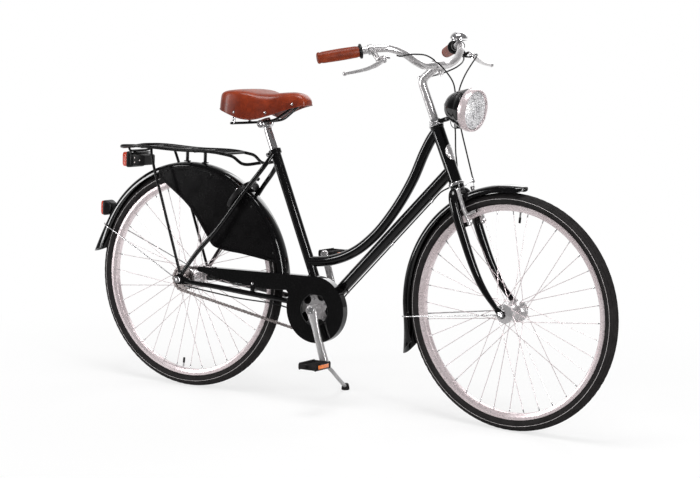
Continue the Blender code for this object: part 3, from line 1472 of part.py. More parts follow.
def lever(side):
    """A blade with a round root between the cheeks and a ball at its tip."""
    pivot = side_point(side, LEVER_PIVOT)
    normal = lever_axis(side)
    root = disc(pivot, normal, 0.0085, -0.0036, 0.0036, 12)
    shares = (0.50, 0.85, 1.0, 0.95, 0.7)
    run = [(*side_point(side, Vector(point)), LEVER_RADIUS * share) for point, share in zip(LEVER_RUN, shares)]
    blade = tube(run, None, 6)
    tip = Vector(run[-1][:3])
    outward = (tip - Vector(run[-2][:3])).normalized()
    ball = turned([(0.0040, -0.0045), (0.0064, -0.001), (0.0064, 0.003), (0.0038, 0.006)], tip, outward, 8)
    return fuse(root, blade, ball)


BELL_POST_RADIUS = 0.0045
BELL_RISE = 0.0150


def bell_place():
    return BELL_BAR + Vector((-0.004, 0.0, BELL_RISE))


def bell():
    """A band on the bar, a base, a post and a dome."""
    base = bell_place()
    bends = bar_bends()
    along = (bends[-1] - bends[-3]).normalized()
    band = disc(BELL_BAR, along, BAR_RADIUS + 0.0042, -0.0045, 0.0045, 12)
    stack = turned(
        [
            (0.0060, -0.0085),
            (0.0060, -0.0020),
            (0.0240, 0.0003),
            (0.0240, 0.0030),
            (BELL_POST_RADIUS, 0.0032),
            (BELL_POST_RADIUS, 0.0066),
            (0.0270, 0.0068),
            (0.0265, 0.0140),
            (0.0200, 0.0230),
            (0.0080, 0.0275),
        ],
        base,
        Z_AXIS,
        14,
    )
    whole = fuse(stack, band)
    return cut(whole, disc(BELL_BAR, along, room_for(BAR_RADIUS, 12) + 0.0006, -0.03, 0.03, 12))


def bell_lever():
    """A thumb piece that turns round the bell's post."""
    base = bell_place()
    reach = base + Vector((-0.030, 0.018, 0.0))
    plate = lug(base, 0.0095, reach, 0.0042, Z_AXIS, 0.0036, 0.0062)
    thumb = disc(reach, Z_AXIS, 0.0060, 0.0015, 0.0075, 10)
    whole = fuse(plate, thumb)
    return cut(whole, rod_cutter(base, Z_AXIS, BELL_POST_RADIUS + BEARING_GAP, 0.03, 14))


LAMP_REAR = Vector((0.3440, 0.0, 0.9430))


def lamp_axis():
    tilt = math.radians(LAMP_TILT)
    return Vector((math.cos(tilt), 0.0, -math.sin(tilt)))


def headlight_shell():
    """A bullet shell with its bright ring, a bowl inside, and the lug that it tilts on."""
    r = LAMP_RING_RADIUS
    profile = [
        (0.0120, 0.000),
        (0.0300, 0.008),
        (0.0430, 0.024),
        (0.0495, 0.040),
        (0.0520, 0.0530),
        (r - 0.0095, 0.0535),
        (r - 0.0015, 0.076),
        (r, 0.088),
        (r - 0.0030, 0.101),
        (r - 0.0062, 0.101),
        (r - 0.0062, 0.098),
        (r - 0.0100, 0.094),
        (0.0440, 0.072),
        (0.0250, 0.055),
    ]
    shell = turned(profile, LAMP_REAR, lamp_axis(), 18)
    ear_top = LAMP_REAR + lamp_axis() * 0.020 - Z_AXIS * 0.030
    ear = lug(LAMP_PIVOT, 0.0070, ear_top, 0.0070, Y_AXIS, -0.0070, 0.0070, 3)
    knob_at = LAMP_REAR - lamp_axis() * 0.009
    knob = disc(knob_at, lamp_axis(), 0.0070, 0.0, 0.012, 8)
    under = LAMP_REAR + lamp_axis() * 0.046 - Z_AXIS * 0.0545
    whole = fuse(shell, knob, block(under, (0.020, 0.020, 0.014), 0.003), ear)
    return cut(whole, rod_cutter(LAMP_PIVOT, Y_AXIS, room_for(0.0024, 8), 0.03, 8))


def headlight_lens():
    r = LAMP_RING_RADIUS - 0.0062 - GAP
    profile = [
        (r - 0.004, 0.0984),
        (r, 0.0984),
        (r, 0.1010),
        (0.042, 0.1075),
        (0.020, 0.1110),
    ]
    return turned(profile, LAMP_REAR, lamp_axis(), 18)


# Front brake

BRAKE_PIVOT_ALONG = -0.122
BRAKE_TOP_ALONG = -0.018
BRAKE_FORWARD = 0.0235
BRAKE_Y = 0.0360


def brake_pivot(side):
    """The boss on the fork blade that a brake arm turns on."""
    return head(BRAKE_PIVOT_ALONG, BRAKE_FORWARD, side * BRAKE_Y)


def front_brake_arm(side):
    """An arm ahead of the blade, from its boss up to the cable, with the pad beside the rim."""
    pivot = brake_pivot(side)
    top = head(BRAKE_TOP_ALONG, BRAKE_FORWARD + 0.001, side * 0.0385)
    knee = head(BRAKE_PIVOT_ALONG + 0.045, BRAKE_FORWARD, side * (BRAKE_Y + 0.006))
    low = lug(pivot, 0.0085, knee, 0.0060, HEAD_FORWARD, -0.0040, 0.0040, 3)
    high = lug(knee, 0.0060, top, 0.0050, HEAD_FORWARD, -0.0040, 0.0040, 3)
    from_hub = pivot - FRONT_HUB
    angle = math.degrees(math.atan2(from_hub.z, from_hub.x)) - 1.0
    pad_at = polar(FRONT_HUB, BEAD_RADIUS + RIM_EDGE_HEIGHT * 0.35, angle)
    radial = (pad_at - FRONT_HUB).normalized()
    tangent = Y_AXIS.cross(radial)
    turn = Matrix((tangent, Y_AXIS, radial)).transposed()
    gap = BEAD_HALF_WIDTH + GAP + RIM_WALL + 0.0026
    pad = block(pad_at + Y_AXIS * (side * (gap + 0.0045)), (0.046, 0.0090, 0.0095), 0.0015, turn)
    post = tube([pad_at + Y_AXIS * (side * (gap + 0.006)), pad_at + Y_AXIS * (side * (BRAKE_Y + 0.004))], 0.0034, 6)
    arm = fuse(low, high, pad, post)
    return cut(arm, disc(pivot, HEAD_FORWARD, room_for(BRAKE_STUD_RADIUS, 8), -0.02, 0.02, 8))


# Seat

SADDLE_TOP = [
    (-0.424, 0.9300, 0.9020, 0.060),
    (-0.414, 0.9520, 0.9000, 0.088),
    (-0.390, 0.9610, 0.8940, 0.104),
    (-0.360, 0.9640, 0.8840, 0.109),
    (-0.325, 0.9620, 0.8740, 0.105),
    (-0.290, 0.9560, 0.8730, 0.088),
    (-0.255, 0.9550, 0.8850, 0.064),
    (-0.220, 0.9580, 0.8990, 0.045),
    (-0.185, 0.9590, 0.9110, 0.036),
    (-0.158, 0.9520, 0.9180, 0.030),
    (-0.143, 0.9370, 0.9200, 0.020),
]
SADDLE_SHEET = 0.0040


def saddle_ring(x, top, low, half):
    """A section of the leather: a crown that rolls over into nearly straight skirts."""
    left = []
    for share, drop in ((0.0, 0.0), (0.45, 0.03), (0.78, 0.14), (0.95, 0.38), (1.0, 0.66), (0.985, 1.0)):
        left.append(Vector((x, half * share, top - (top - low) * drop)))
    return [mirrored(point) for point in reversed(left[1:])] + left


def saddle_top():
    """The leather cover: a crowned shell, open below, with a skirt all round."""
    outer = loft([saddle_ring(*station) for station in SADDLE_TOP])
    hollow = []
    for x, top, low, half in SADDLE_TOP[1:-1]:
        hollow.append(saddle_ring(x, top - SADDLE_SHEET, low - 0.012, half - SADDLE_SHEET))
    return cut(outer, loft(hollow))


POST_TOP = 0.620
SADDLE_CLAMP_ALONG = 0.604


def seatpost():
    """A straight post, narrower at its top where the saddle's clamp grips it."""
    low = SEAT_TUBE_LENGTH - SEATPOST_INSERT
    profile = [
        (SEATPOST_RADIUS, low),
        (SEATPOST_RADIUS, SADDLE_CLAMP_ALONG - 0.020),
        (0.0110, SADDLE_CLAMP_ALONG - 0.016),
        (0.0110, POST_TOP),
    ]
    return turned(profile, BOTTOM, SEAT_AXIS, 14)


def saddle_frame():
    """Two rails, the clamp on the post, and the plates that the leather is fixed to."""
    clamp_at = seat(SADDLE_CLAMP_ALONG)
    clamp = disc(BOTTOM, SEAT_AXIS, 0.0170, SADDLE_CLAMP_ALONG - 0.010, POST_TOP - 0.001, 14)
    parts = [disc(clamp_at - X_AXIS * 0.004, Y_AXIS, 0.0075, -0.0330, 0.0330, 8)]
    for side in (RIGHT, LEFT):
        rail = [
            (-0.398, side * 0.0450, 0.8560),
            (-0.340, side * 0.0270, 0.8600),
            (-0.290, side * 0.0240, 0.8655),
            (-0.250, side * 0.0230, 0.8740),
            (-0.222, side * 0.0190, 0.8920),
            (-0.180, side * 0.0100, 0.9240),
        ]
        parts.append(tube(rail, 0.0040, 6))
        post = Vector((-0.392, side * 0.0440, 0.8560))
        parts.append(tube([post, post + Z_AXIS * 0.049], 0.0060, 6))
    parts.append(block(Vector((-0.392, 0.0, 0.9040)), (0.0432, 0.120, 0.0040)))
    parts.append(block(Vector((-0.396, 0.0, 0.8560)), (0.012, 0.1040, 0.0090)))
    nose_turn = Matrix.Rotation(math.radians(-20.0), 3, "Y")
    parts.append(block(Vector((-0.176, 0.0, 0.9270)), (0.0348, 0.034, 0.0060), 0.0, nose_turn))
    whole = fuse(clamp, *parts)
    return cut(whole, disc(BOTTOM, SEAT_AXIS, 0.0110 + GAP, SADDLE_CLAMP_ALONG - 0.030, POST_TOP + GAP, 14))


# Stand

STAND_PIVOT = Vector((-0.125, 0.036, 0.278))
STAND_TILT = 20.0
STAND_TURN = 10.0
STAND_FOOT = Vector((-0.106, 0.2017, 0.0))


def stand_axis():
    tilt = math.radians(STAND_TILT)
    turn = math.radians(STAND_TURN)
    return Vector((math.sin(turn) * math.cos(tilt), math.cos(turn) * math.cos(tilt), math.sin(tilt)))


def foot_plane():
    """The ground's up direction, seen from the upright bicycle."""
    lean = math.radians(LEAN)
    return Vector((0.0, -math.sin(lean), math.cos(lean)))


def on_ground(x, y, rise):
    """The point over (x, y) that stands so high over the ground."""
    up = foot_plane()
    return Vector((x, y, (rise - up.y * y) / up.z))


def stand_path():
    return [
        Vector((-0.1243, 0.0397, 0.2775)),
        Vector((-0.1180, 0.0405, 0.2350)),
        Vector((-0.1010, 0.0425, 0.1800)),
        Vector((-0.0830, 0.0465, 0.1250)),
        Vector((-0.0790, 0.0540, 0.1050)),
        Vector((-0.0765, 0.0680, 0.0930)),
        Vector((-0.0865, 0.1180, 0.0640)),
        on_ground(STAND_FOOT.x, STAND_FOOT.y, 0.0090),
    ]


def kickstand_bracket():
    """A plate under the chainstays with the boss that the leg turns in."""
    axis = stand_axis()
    top = BOTTOM.z - 0.0019
    plate = block(Vector((STAND_PIVOT.x - 0.004, 0.006, top - 0.0027)), (0.034, 0.076, 0.0054), 0.0012)
    boss = disc(STAND_PIVOT, axis, 0.0100, -0.0140, -0.0068, 10)
    upward = (Z_AXIS - axis * Z_AXIS.dot(axis)).normalized()
    turn = Matrix((axis.cross(upward), axis, upward)).transposed()
    web = block(STAND_PIVOT - axis * 0.0104 + upward * 0.0105, (0.014, 0.0068, 0.021), 0.0, turn)
    whole = fuse(plate, boss, web)
    return cut(whole, disc(STAND_PIVOT, axis, STAND_PIN_RADIUS + BEARING_GAP, -0.03, 0.01, 10))


def kickstand_leg():
    """A bent rod that clears the crank and the pedal, with its eye and pin on the bracket."""
    axis = stand_axis()
    eye = disc(STAND_PIVOT, axis, 0.0100, -0.0062, 0.0090, 10)
    pin = disc(STAND_PIVOT, axis, STAND_PIN_RADIUS, -0.0170, 0.0, 10)
    return fuse(eye, tube(stand_path(), STAND_RADIUS, 6), pin)


def kickstand_foot():
    """A rubber shoe on the leg's end, flat on the ground."""
    up = foot_plane()
    base = on_ground(STAND_FOOT.x, STAND_FOOT.y, 0.0)
    shoe = turned([(FOOT_RADIUS, 0.0), (FOOT_RADIUS, 0.004), (FOOT_RADIUS - 0.002, 0.014), (0.0095, 0.020)], base, up, 12)
    leg = stand_path()
    beyond = leg[-1] + (leg[-1] - leg[-2]).normalized() * 0.0005
    return cut(shoe, tube(leg[:-1] + [beyond], room_for(STAND_RADIUS, 6), 6))


# Cables

def cable(points, per=2):
    return tube(smooth(points, per), CABLE_RADIUS, 5)


def front_brake_cable():
    """From the left lever, behind the lamp, down to the noodle between the brake arms."""
    nose = side_point(LEFT, BARREL_END)
    way = barrel_way(LEFT)
    run = [
        nose + way * 0.0006,
        nose + way * 0.0100,
        Vector((0.3190, 0.1960, 1.0860)),
        Vector((0.3390, 0.1620, 1.0800)),
        Vector((0.3450, 0.1200, 1.0540)),
        Vector((0.3440, 0.0920, 1.0270)),
        Vector((0.3380, 0.0700, 0.9800)),
        Vector((0.3440, 0.0580, 0.9200)),
        Vector((0.3660, 0.0430, 0.8680)),
        Vector((0.3960, 0.0240, 0.8100)),
        Vector((0.4220, 0.0080, 0.7600)),
        Vector((0.4360, 0.0000, 0.7320)),
    ]
    return cable(run)


def gear_cable():
    """From the right lever, behind the lamp and along the frame to the rear hub."""
    nose = side_point(RIGHT, BARREL_END)
    way = barrel_way(RIGHT)
    run = [
        nose + way * 0.0006,
        nose + way * 0.0100,
        Vector((0.3080, -0.1900, 1.0880)),
        Vector((0.3180, -0.1560, 1.0900)),
        Vector((0.3290, -0.1100, 1.0860)),
        Vector((0.3400, -0.0760, 1.0700)),
        Vector((0.3520, -0.0300, 1.0380)),
        Vector((0.3550, 0.0060, 1.0070)),
        Vector((0.3460, 0.0370, 0.9660)),
        Vector((0.3430, 0.0390, 0.9200)),
        Vector((0.3540, 0.0300, 0.8630)),
        Vector((0.3590, 0.0265, 0.8070)),
        Vector((0.3640, 0.0290, 0.7500)),
        Vector((0.3620, 0.0200, 0.7120)),
        under_down_tube(0.070),
        under_down_tube(0.110),
        under_down_tube(0.300),
        under_down_tube(0.520),
        Vector((-0.0550, -0.0110, 0.2770)),
        Vector((-0.1200, -0.0200, 0.2800)),
        Vector((-0.2200, -0.0370, 0.3000)),
        Vector((-0.3600, -0.0520, 0.3090)),
        Vector((-0.4600, -0.0680, 0.3220)),
        Vector((-0.5450, -0.0790, 0.3330)),
    ]
    return cable(run)


def rear_brake_cable():
    """From the left bracket, under the bar, to the rear side of the stem, which it runs down inside."""
    run = [
        side_point(LEFT, LEVER_PIVOT) + Vector((-0.0240, -0.0149, 0.0025)),
        Vector((0.2700, 0.2000, 1.0720)),
        Vector((0.2860, 0.1720, 1.0660)),
        Vector((0.3040, 0.1300, 1.0580)),
        Vector((0.3080, 0.0950, 1.0480)),
        Vector((0.2980, 0.0620, 1.0370)),
        Vector((0.2880, 0.0360, 1.0300)),
        Vector((0.2820, 0.0123, 1.0260)),
    ]
    return cable(run)


def build():
    clear_scene()
    pivots = Pivots()
    root = "bicycle"
    pivots.add(root, (0.0, 0.0, 0.0))
    pivots.add("steering", HEAD_BOTTOM, root, HEAD_AXIS, BAR_TURN)
    pivots.add("rear_wheel", REAR_HUB, root)
    pivots.add("rear_drive", REAR_HUB, root)
    pivots.add("crankset", BOTTOM, root)
    pivots.add("seat", SEAT_TOP, root)
    pivots.add("stand", STAND_PIVOT, root)
    pivots.add("lock_bolt", lock_frame()[0], root)
    pivots.add("front_wheel", FRONT_HUB, "steering")
    pivots.add("headlight", LAMP_PIVOT, "steering")
    pivots.add("bell_thumb", bell_place(), "steering")
    carry = pivots.carry

    carry("head_tube", head_tube(), root, BLACK_PAINT)
    carry("top_tube", top_tube(), root, BLACK_PAINT)
    carry("down_tube", down_tube(), root, BLACK_PAINT)
    carry("seat_tube", seat_tube(), root, BLACK_PAINT)
    carry("seat_clamp", seat_clamp(), root, BLACK_PAINT)
    carry("rear_fender", fender(REAR_HUB, 0.0, 172.0, 22, 150.0, 0.022), root, BLACK_PAINT)
    carry("rear_rack", rack(), root, BLACK_PAINT)
    carry("rear_light", rear_light(), root, BLACK_PLASTIC)
    carry("rear_reflector", rear_reflector(), root, BLACK_PLASTIC)
    carry("chain_guard", chain_guard(), root, BLACK_PAINT)
    carry("ring_lock", ring_lock(), root, BLACK_PLASTIC)
    carry("ring_lock_bolt", ring_lock_bolt(), "lock_bolt", STEEL)
    carry("chain", chain(), root, STEEL)
    rear_plate = DROPOUT_THICKNESS
    carry("rear_axle", axle(REAR_HUB, REAR_FRAME_SPACE, rear_plate, 0.0500, 0.0480, 0.0092), root, CHROME)
    rise = flap_rise(156.0, 172.0, 150.0, 0.022)
    carry("rear_fender_stay", fender_wire(REAR_HUB, 156.0, REAR_FRAME_SPACE + rear_plate + GAP, rise), root, CHROME)
    carry("kickstand_bracket", kickstand_bracket(), root, BLACK_PAINT)
    carry("gear_cable", gear_cable(), root, BLACK_PLASTIC)
    for side, word in ((RIGHT, "right"), (LEFT, "left")):
        carry("chainstay_" + word, chainstay(side), root, BLACK_PAINT)
        carry("seatstay_" + word, seatstay(side), root, BLACK_PAINT)
        carry("skirt_guard_" + word, skirt_guard(side), root, BLACK_PLASTIC)

    carry("seatpost", seatpost(), "seat", CHROME)
    carry("saddle_frame", saddle_frame(), "seat", BLACK_PAINT)
    carry("saddle_top", saddle_top(), "seat", BROWN_LEATHER)

    carry("kickstand_leg", kickstand_leg(), "stand", CHROME)
    carry("kickstand_foot", kickstand_foot(), "stand", BLACK_RUBBER)

    carry("fork", fork(), "steering", BLACK_PAINT)
    carry("headset_upper", headset_upper(), "steering", CHROME)
    carry("stem", stem(), "steering", ALUMINIUM)
    carry("handlebar", handlebar(), "steering", ALUMINIUM)
    carry("bell", bell(), "steering", CHROME)
    carry("bell_lever", bell_lever(), "bell_thumb", STEEL)
    carry("front_fender", fender(FRONT_HUB, 83.0, 204.0, 16, 186.0, 0.034), "steering", BLACK_PAINT)
    rise = flap_rise(187.6, 204.0, 186.0, 0.034)
    carry("front_fender_stay", fender_wire(FRONT_HUB, 187.6, FRONT_FORK_SPACE + FORK_TIP + GAP, rise), "steering", CHROME)
    carry("front_axle", axle(FRONT_HUB, FRONT_FORK_SPACE, FORK_TIP, 0.0464, 0.0464, 0.0088), "steering", CHROME)
    carry("front_brake_cable", front_brake_cable(), "steering", BLACK_PLASTIC)
    carry("rear_brake_cable", rear_brake_cable(), "steering", BLACK_PLASTIC)
    for side, word in ((RIGHT, "right"), (LEFT, "left")):
        carry("grip_" + word, grip(side), "steering", BROWN_LEATHER)
        carry("brake_bracket_" + word, lever_bracket(side), "steering", ALUMINIUM)
        lever_pivot = "brake_lever_pivot_" + word
        pivots.add(lever_pivot, side_point(side, LEVER_PIVOT), "steering")
        carry("brake_lever_" + word, lever(side), lever_pivot, ALUMINIUM)
        arm_pivot = "brake_arm_pivot_" + word
        pivots.add(arm_pivot, brake_pivot(side), "steering")
        carry("front_brake_arm_" + word, front_brake_arm(side), arm_pivot, ALUMINIUM)
        pedal_pivot = "pedal_pivot_" + word
        pivots.add(pedal_pivot, crank_end(side), "crankset")
        carry("pedal_" + word, pedal(side), pedal_pivot, BLACK_RUBBER)

    carry("headlight_shell", headlight_shell(), "headlight", BLACK_PAINT)
    carry("headlight_lens", headlight_lens(), "headlight", CLEAR_GLASS)

    carry("rear_sprocket", sprocket(), "rear_drive", STEEL)
    carry("crank_right", crank_right(), "crankset", ALUMINIUM)
    carry("crank_left", crank_left(), "crankset", ALUMINIUM)
    for word, hub, hub_shape, valve_at in (("front", FRONT_HUB, front_hub, 85.0), ("rear", REAR_HUB, rear_hub, -95.0)):
        pivot = word + "_wheel"
        carry(word + "_tyre", tyre(hub), pivot, BLACK_RUBBER)
        carry(word + "_rim", rim(hub, valve_at), pivot, ALUMINIUM)
        carry(word + "_hub", hub_shape(), pivot, ALUMINIUM)
    return pivots


def lean_on_stand(pivots):
    """Leans the bicycle on its stand and centres it over the origin, with its lowest point at zero."""
    root = pivots.empties["bicycle"]
    root.rotation_euler = (-math.radians(LEAN), 0.0, 0.0)
    bpy.context.view_layer.update()
    corners = []
    for obj in bpy.context.scene.objects:
        if obj.type == "MESH":
            corners += [obj.matrix_world @ vertex.co for vertex in obj.data.vertices]
    low = [min(corner[i] for corner in corners) for i in range(3)]
    high = [max(corner[i] for corner in corners) for i in range(3)]
    root.location = (-(low[0] + high[0]) / 2, -(low[1] + high[1]) / 2, -low[2])
    bpy.context.view_layer.update()


lean_on_stand(build())
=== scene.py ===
"""Looks of the step-through town bicycle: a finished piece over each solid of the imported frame.

Every shape is made on the upright bicycle with its bars straight, in metres, as the part itself is.
A matrix then gives it the lean on the side stand and, ahead of the head tube, the turn of the bars.
"""

import math

import bmesh
import bpy
from mathutils import Matrix, Vector


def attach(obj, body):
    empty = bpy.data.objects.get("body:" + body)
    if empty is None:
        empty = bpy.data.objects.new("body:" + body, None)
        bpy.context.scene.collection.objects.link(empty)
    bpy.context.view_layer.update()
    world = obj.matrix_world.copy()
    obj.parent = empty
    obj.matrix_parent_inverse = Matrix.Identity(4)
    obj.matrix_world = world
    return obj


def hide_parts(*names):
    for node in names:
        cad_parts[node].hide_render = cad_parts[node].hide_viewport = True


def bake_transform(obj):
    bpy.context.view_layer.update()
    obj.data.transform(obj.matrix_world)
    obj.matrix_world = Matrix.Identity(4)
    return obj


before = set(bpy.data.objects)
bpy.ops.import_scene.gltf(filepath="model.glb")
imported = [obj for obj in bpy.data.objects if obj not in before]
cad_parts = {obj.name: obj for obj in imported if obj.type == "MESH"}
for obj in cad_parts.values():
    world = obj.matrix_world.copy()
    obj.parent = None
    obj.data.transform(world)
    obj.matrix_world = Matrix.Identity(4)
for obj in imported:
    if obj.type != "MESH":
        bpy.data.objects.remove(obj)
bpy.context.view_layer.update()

# Stance on the side stand
LEAN = 3.0
BAR_TURN = -5.0
SHIFT = Vector((0.021204, -0.053210, 0.000311))

# Wheels
WHEEL_RADIUS = 0.350
TYRE_HALF_WIDTH = 0.020
TYRE_WRAP = 118.0
BEAD_RADIUS = 0.3085
BEAD_HALF_WIDTH = 0.0112
RIM_WALL = 0.0020
RIM_EDGE_HEIGHT = 0.0080
RIM_INNER_RADIUS = 0.2975
AXLE_RADIUS = 0.0048
AXLE_SLOT = 0.0051
SPOKES = 36
SPOKE_SWEEP = 57.0
SPOKE_RADIUS = 0.0010
REAR_HUB = Vector((-0.575, 0.0, 0.350))
FRONT_HUB = Vector((0.575, 0.0, 0.350))
FRONT_HUB_HALF = 0.046
REAR_HUB_HALF = 0.034
FRONT_FORK_SPACE = 0.050
REAR_FRAME_SPACE = 0.065
DROPOUT_THICKNESS = 0.006
FORK_TIP = 0.0055
HUB_BORE = 0.0052
WHEEL_ROUND = 352
RIM_ROUND = 176
GAP = 0.0003

# Drive
PITCH = 0.0127
RUN_LINKS = 40
RING_TEETH = 40
SPROCKET_TEETH = 19
CHAIN_LINE = 0.043
CRANK_LENGTH = 0.165
CRANK_BACK = 20.5
CRANK_THICKNESS = 0.0125
CRANK_INNER = 0.066
PEDAL_INNER = 0.095
PEDAL_LENGTH = 0.090
PEDAL_WIDTH = 0.066
PEDAL_THICKNESS = 0.022
PEDAL_BORE = 0.0047
BOTTOM_DROP = 0.050
BOTTOM_SHELL_RADIUS = 0.021
BOTTOM_SHELL_HALF = 0.034
BOTTOM_CUT = 0.0190
RING_RADIUS = PITCH / 2 / math.sin(math.pi / RING_TEETH)
SPROCKET_RADIUS = PITCH / 2 / math.sin(math.pi / SPROCKET_TEETH)
CENTRES_APART = math.hypot(RUN_LINKS * PITCH, RING_RADIUS - SPROCKET_RADIUS)
BOTTOM = REAR_HUB + Vector((math.sqrt(CENTRES_APART**2 - BOTTOM_DROP**2), 0.0, -BOTTOM_DROP))

# Frame
HEAD_ANGLE = math.radians(66.7)
HEAD_AXIS = Vector((-math.cos(HEAD_ANGLE), 0.0, math.sin(HEAD_ANGLE)))
HEAD_FORWARD = Vector((math.sin(HEAD_ANGLE), 0.0, math.cos(HEAD_ANGLE)))
FORK_LENGTH = 0.4055
FORK_RAKE = 0.0366
HEAD_BOTTOM = FRONT_HUB + HEAD_AXIS * FORK_LENGTH - HEAD_FORWARD * FORK_RAKE
HEAD_LENGTH = 0.186
HEAD_RADIUS = 0.0195
HEAD_CUT = 0.0180
SEAT_ANGLE = math.radians(67.5)
SEAT_AXIS = Vector((-math.cos(SEAT_ANGLE), 0.0, math.sin(SEAT_ANGLE)))
SEAT_TUBE_LENGTH = 0.517
SEAT_TUBE_RADIUS = 0.0158
SEATPOST_RADIUS = 0.0136
DOWN_TUBE_RADIUS = 0.0180
DOWN_TUBE_JOIN = 0.049
TOP_TUBE_RADIUS = 0.0160
STAY_RADIUS = 0.0072
CHAINSTAY_RADIUS = 0.0086
EAR_RISE = Vector((0.0085, 0.0, 0.0235))

# Fenders, guards and rack
FENDER_RADIUS = 0.373
FENDER_EDGE_RADIUS = 0.352
FENDER_HALF_WIDTH = 0.027
SKIRT_RADIUS = 0.361
BOLT_RADIUS = 0.0535
BOLT_OPENING_RADIUS = 0.0085
GUARD_ROUND = 0.103
GUARD_HOLE = 0.048
GUARD_OUTER = 0.0570
RACK_HEIGHT = 0.762
RACK_HALF_WIDTH = 0.060
RACK_REAR_X = -0.837
RACK_FRONT_X = -0.414
RACK_RADIUS = 0.0050
RACK_BAR_RADIUS = 0.0038
LIGHT_X = -0.7925
REFLECTOR_ANGLE = 149.0

# Cockpit
STEM_RADIUS = 0.0125
STEM_RISE = 0.331
BAR_RADIUS = 0.0110
BAR_BORE = 0.0113
BAR_CENTRE = Vector((0.308, 0.0, 1.058))
GRIP_START = Vector((0.210, 0.242, 1.104))
BAR_END = Vector((0.120, 0.335, 1.083))
GRIP_RADIUS = 0.0165
CABLE_RADIUS = 0.0022
LAMP_PIVOT = Vector((0.347, 0.0, 0.903))
LAMP_REAR = Vector((0.3440, 0.0, 0.9430))
LAMP_RING_RADIUS = 0.0640
LAMP_TILT = math.radians(7.0)

X_AXIS = Vector((1.0, 0.0, 0.0))
Y_AXIS = Vector((0.0, 1.0, 0.0))
Z_AXIS = Vector((0.0, 0.0, 1.0))
LEFT = 1
RIGHT = -1
SIDES = ((RIGHT, "right"), (LEFT, "left"))

ON_STAND = Matrix.Translation(SHIFT) @ Matrix.Rotation(-math.radians(LEAN), 4, "X")
BARS = (
    ON_STAND
    @ Matrix.Translation(HEAD_BOTTOM)
    @ Matrix.Rotation(math.radians(BAR_TURN), 4, HEAD_AXIS)
    @ Matrix.Translation(-HEAD_BOTTOM)
)
BARS_BODIES = ("steering", "headlight", "front_wheel", "front_brake_arm", "brake_lever", "bell_lever")


# Materials

class Tree:
    """Adds nodes to a material or the world, each with values or links for its sockets."""

    def __init__(self, owner):
        owner.use_nodes = True
        self.nodes = owner.node_tree.nodes
        self.links = owner.node_tree.links

    def fill(self, node, sockets):
        for socket, value in sockets.items():
            if isinstance(value, bpy.types.NodeSocket):
                self.links.new(value, node.inputs[socket])
            else:
                node.inputs[socket].default_value = value

    def add(self, kind, output, sockets, **settings):
        """Makes a node and gives the output of that name."""
        node = self.nodes.new("ShaderNode" + kind)
        for name, value in settings.items():
            setattr(node, name, value)
        self.fill(node, sockets)
        return node.outputs[output]

    def mix(self, factor, low, high):
        return self.add("MixShader", "Shader", {"Fac": factor, 1: low, 2: high})

    def spread(self, value, before, after, **settings):
        """Maps a value from one range of (low, high) to another."""
        ends = zip(("From Min", "From Max", "To Min", "To Max"), (*before, *after))
        return self.add("MapRange", "Result", {"Value": value, **dict(ends)}, **settings)

    def ramp(self, factor, stops):
        """A colour by a factor, through (position, colour) stops."""
        node = self.nodes.new("ShaderNodeValToRGB")
        elements = node.color_ramp.elements
        while len(elements) < len(stops):
            elements.new(0.5)
        for element, (position, colour) in zip(elements, stops):
            element.position = position
            element.color = (*colour, 1.0)
        self.links.new(factor, node.inputs["Fac"])
        return node.outputs["Color"]

    def seen(self):
        """One for rays of the camera, mirrors and glass, else nought; and one for the camera's rays alone."""
        rays = self.nodes.new("ShaderNodeLightPath").outputs
        total = rays["Is Camera Ray"]
        for name in ("Is Glossy Ray", "Is Transmission Ray"):
            total = self.add("Math", "Value", {0: total, 1: rays[name]}, operation="MAXIMUM")
        return total, rays["Is Camera Ray"]


class Finish(Tree):
    """A material whose nodes read the place on the object, in metres."""

    def __init__(self, name, sockets):
        self.material = bpy.data.materials.new(name)
        super().__init__(self.material)
        self.shader = self.nodes["Principled BSDF"]
        self.fill(self.shader, {"Coat Roughness": 0.04, **sockets})
        self.where = self.nodes.new("ShaderNodeTexCoord").outputs["Object"]

    def factor(self, texture):
        """The output of one of the textures below, given as (its name, its values)."""
        kind, *values = texture
        return {"noise": self.noise, "cells": self.cells, "waves": self.waves, "worn": self.worn}[kind](*values)

    def noise(self, scale, detail=4.0, stretch=None):
        where = self.where
        if stretch:
            where = self.add("Mapping", "Vector", {"Vector": where, "Scale": stretch})
        return self.add("TexNoise", "Fac", {"Vector": where, "Scale": scale, "Detail": detail, "Roughness": 0.6})

    def cells(self, scale, feature="F1"):
        return self.add("TexVoronoi", "Distance", {"Vector": self.where, "Scale": scale}, feature=feature)

    def waves(self, scale, direction):
        return self.add("TexWave", "Fac", {"Vector": self.where, "Scale": scale}, bands_direction=direction)

    def worn(self, scale, detail):
        """Leather grain noise plus painted shade that darkens towards the lower edge of the saddle's cover."""
        height = self.add("SeparateXYZ", "Z", {"Vector": self.where})
        fall = self.spread(height, COVER_HEIGHTS, (-0.22, 0.10))
        return self.add("Math", "Value", {0: self.noise(scale, detail), 1: fall}, operation="ADD")


def make_finish(name, sockets, grain, stops, wear, rough, *bumps):
    finish = Finish(name, sockets)
    relief = {}
    for texture, strength, distance in bumps:
        height = {"Height": finish.factor(texture), "Strength": strength, "Distance": distance}
        relief = {"Normal": finish.add("Bump", "Normal", {**height, **relief})}
    colour = finish.ramp(finish.factor(grain), stops)
    roughness = finish.spread(finish.factor(wear), NOISE_RANGE, rough)
    finish.fill(finish.shader, {"Base Color": colour, "Roughness": roughness, **relief})
    return finish.material


NOISE_RANGE = (0.3, 0.7)
# Heights of the saddle's painted shade: darkest at the cover's lower edge, none at its top
COVER_HEIGHTS = (0.895, 0.960)

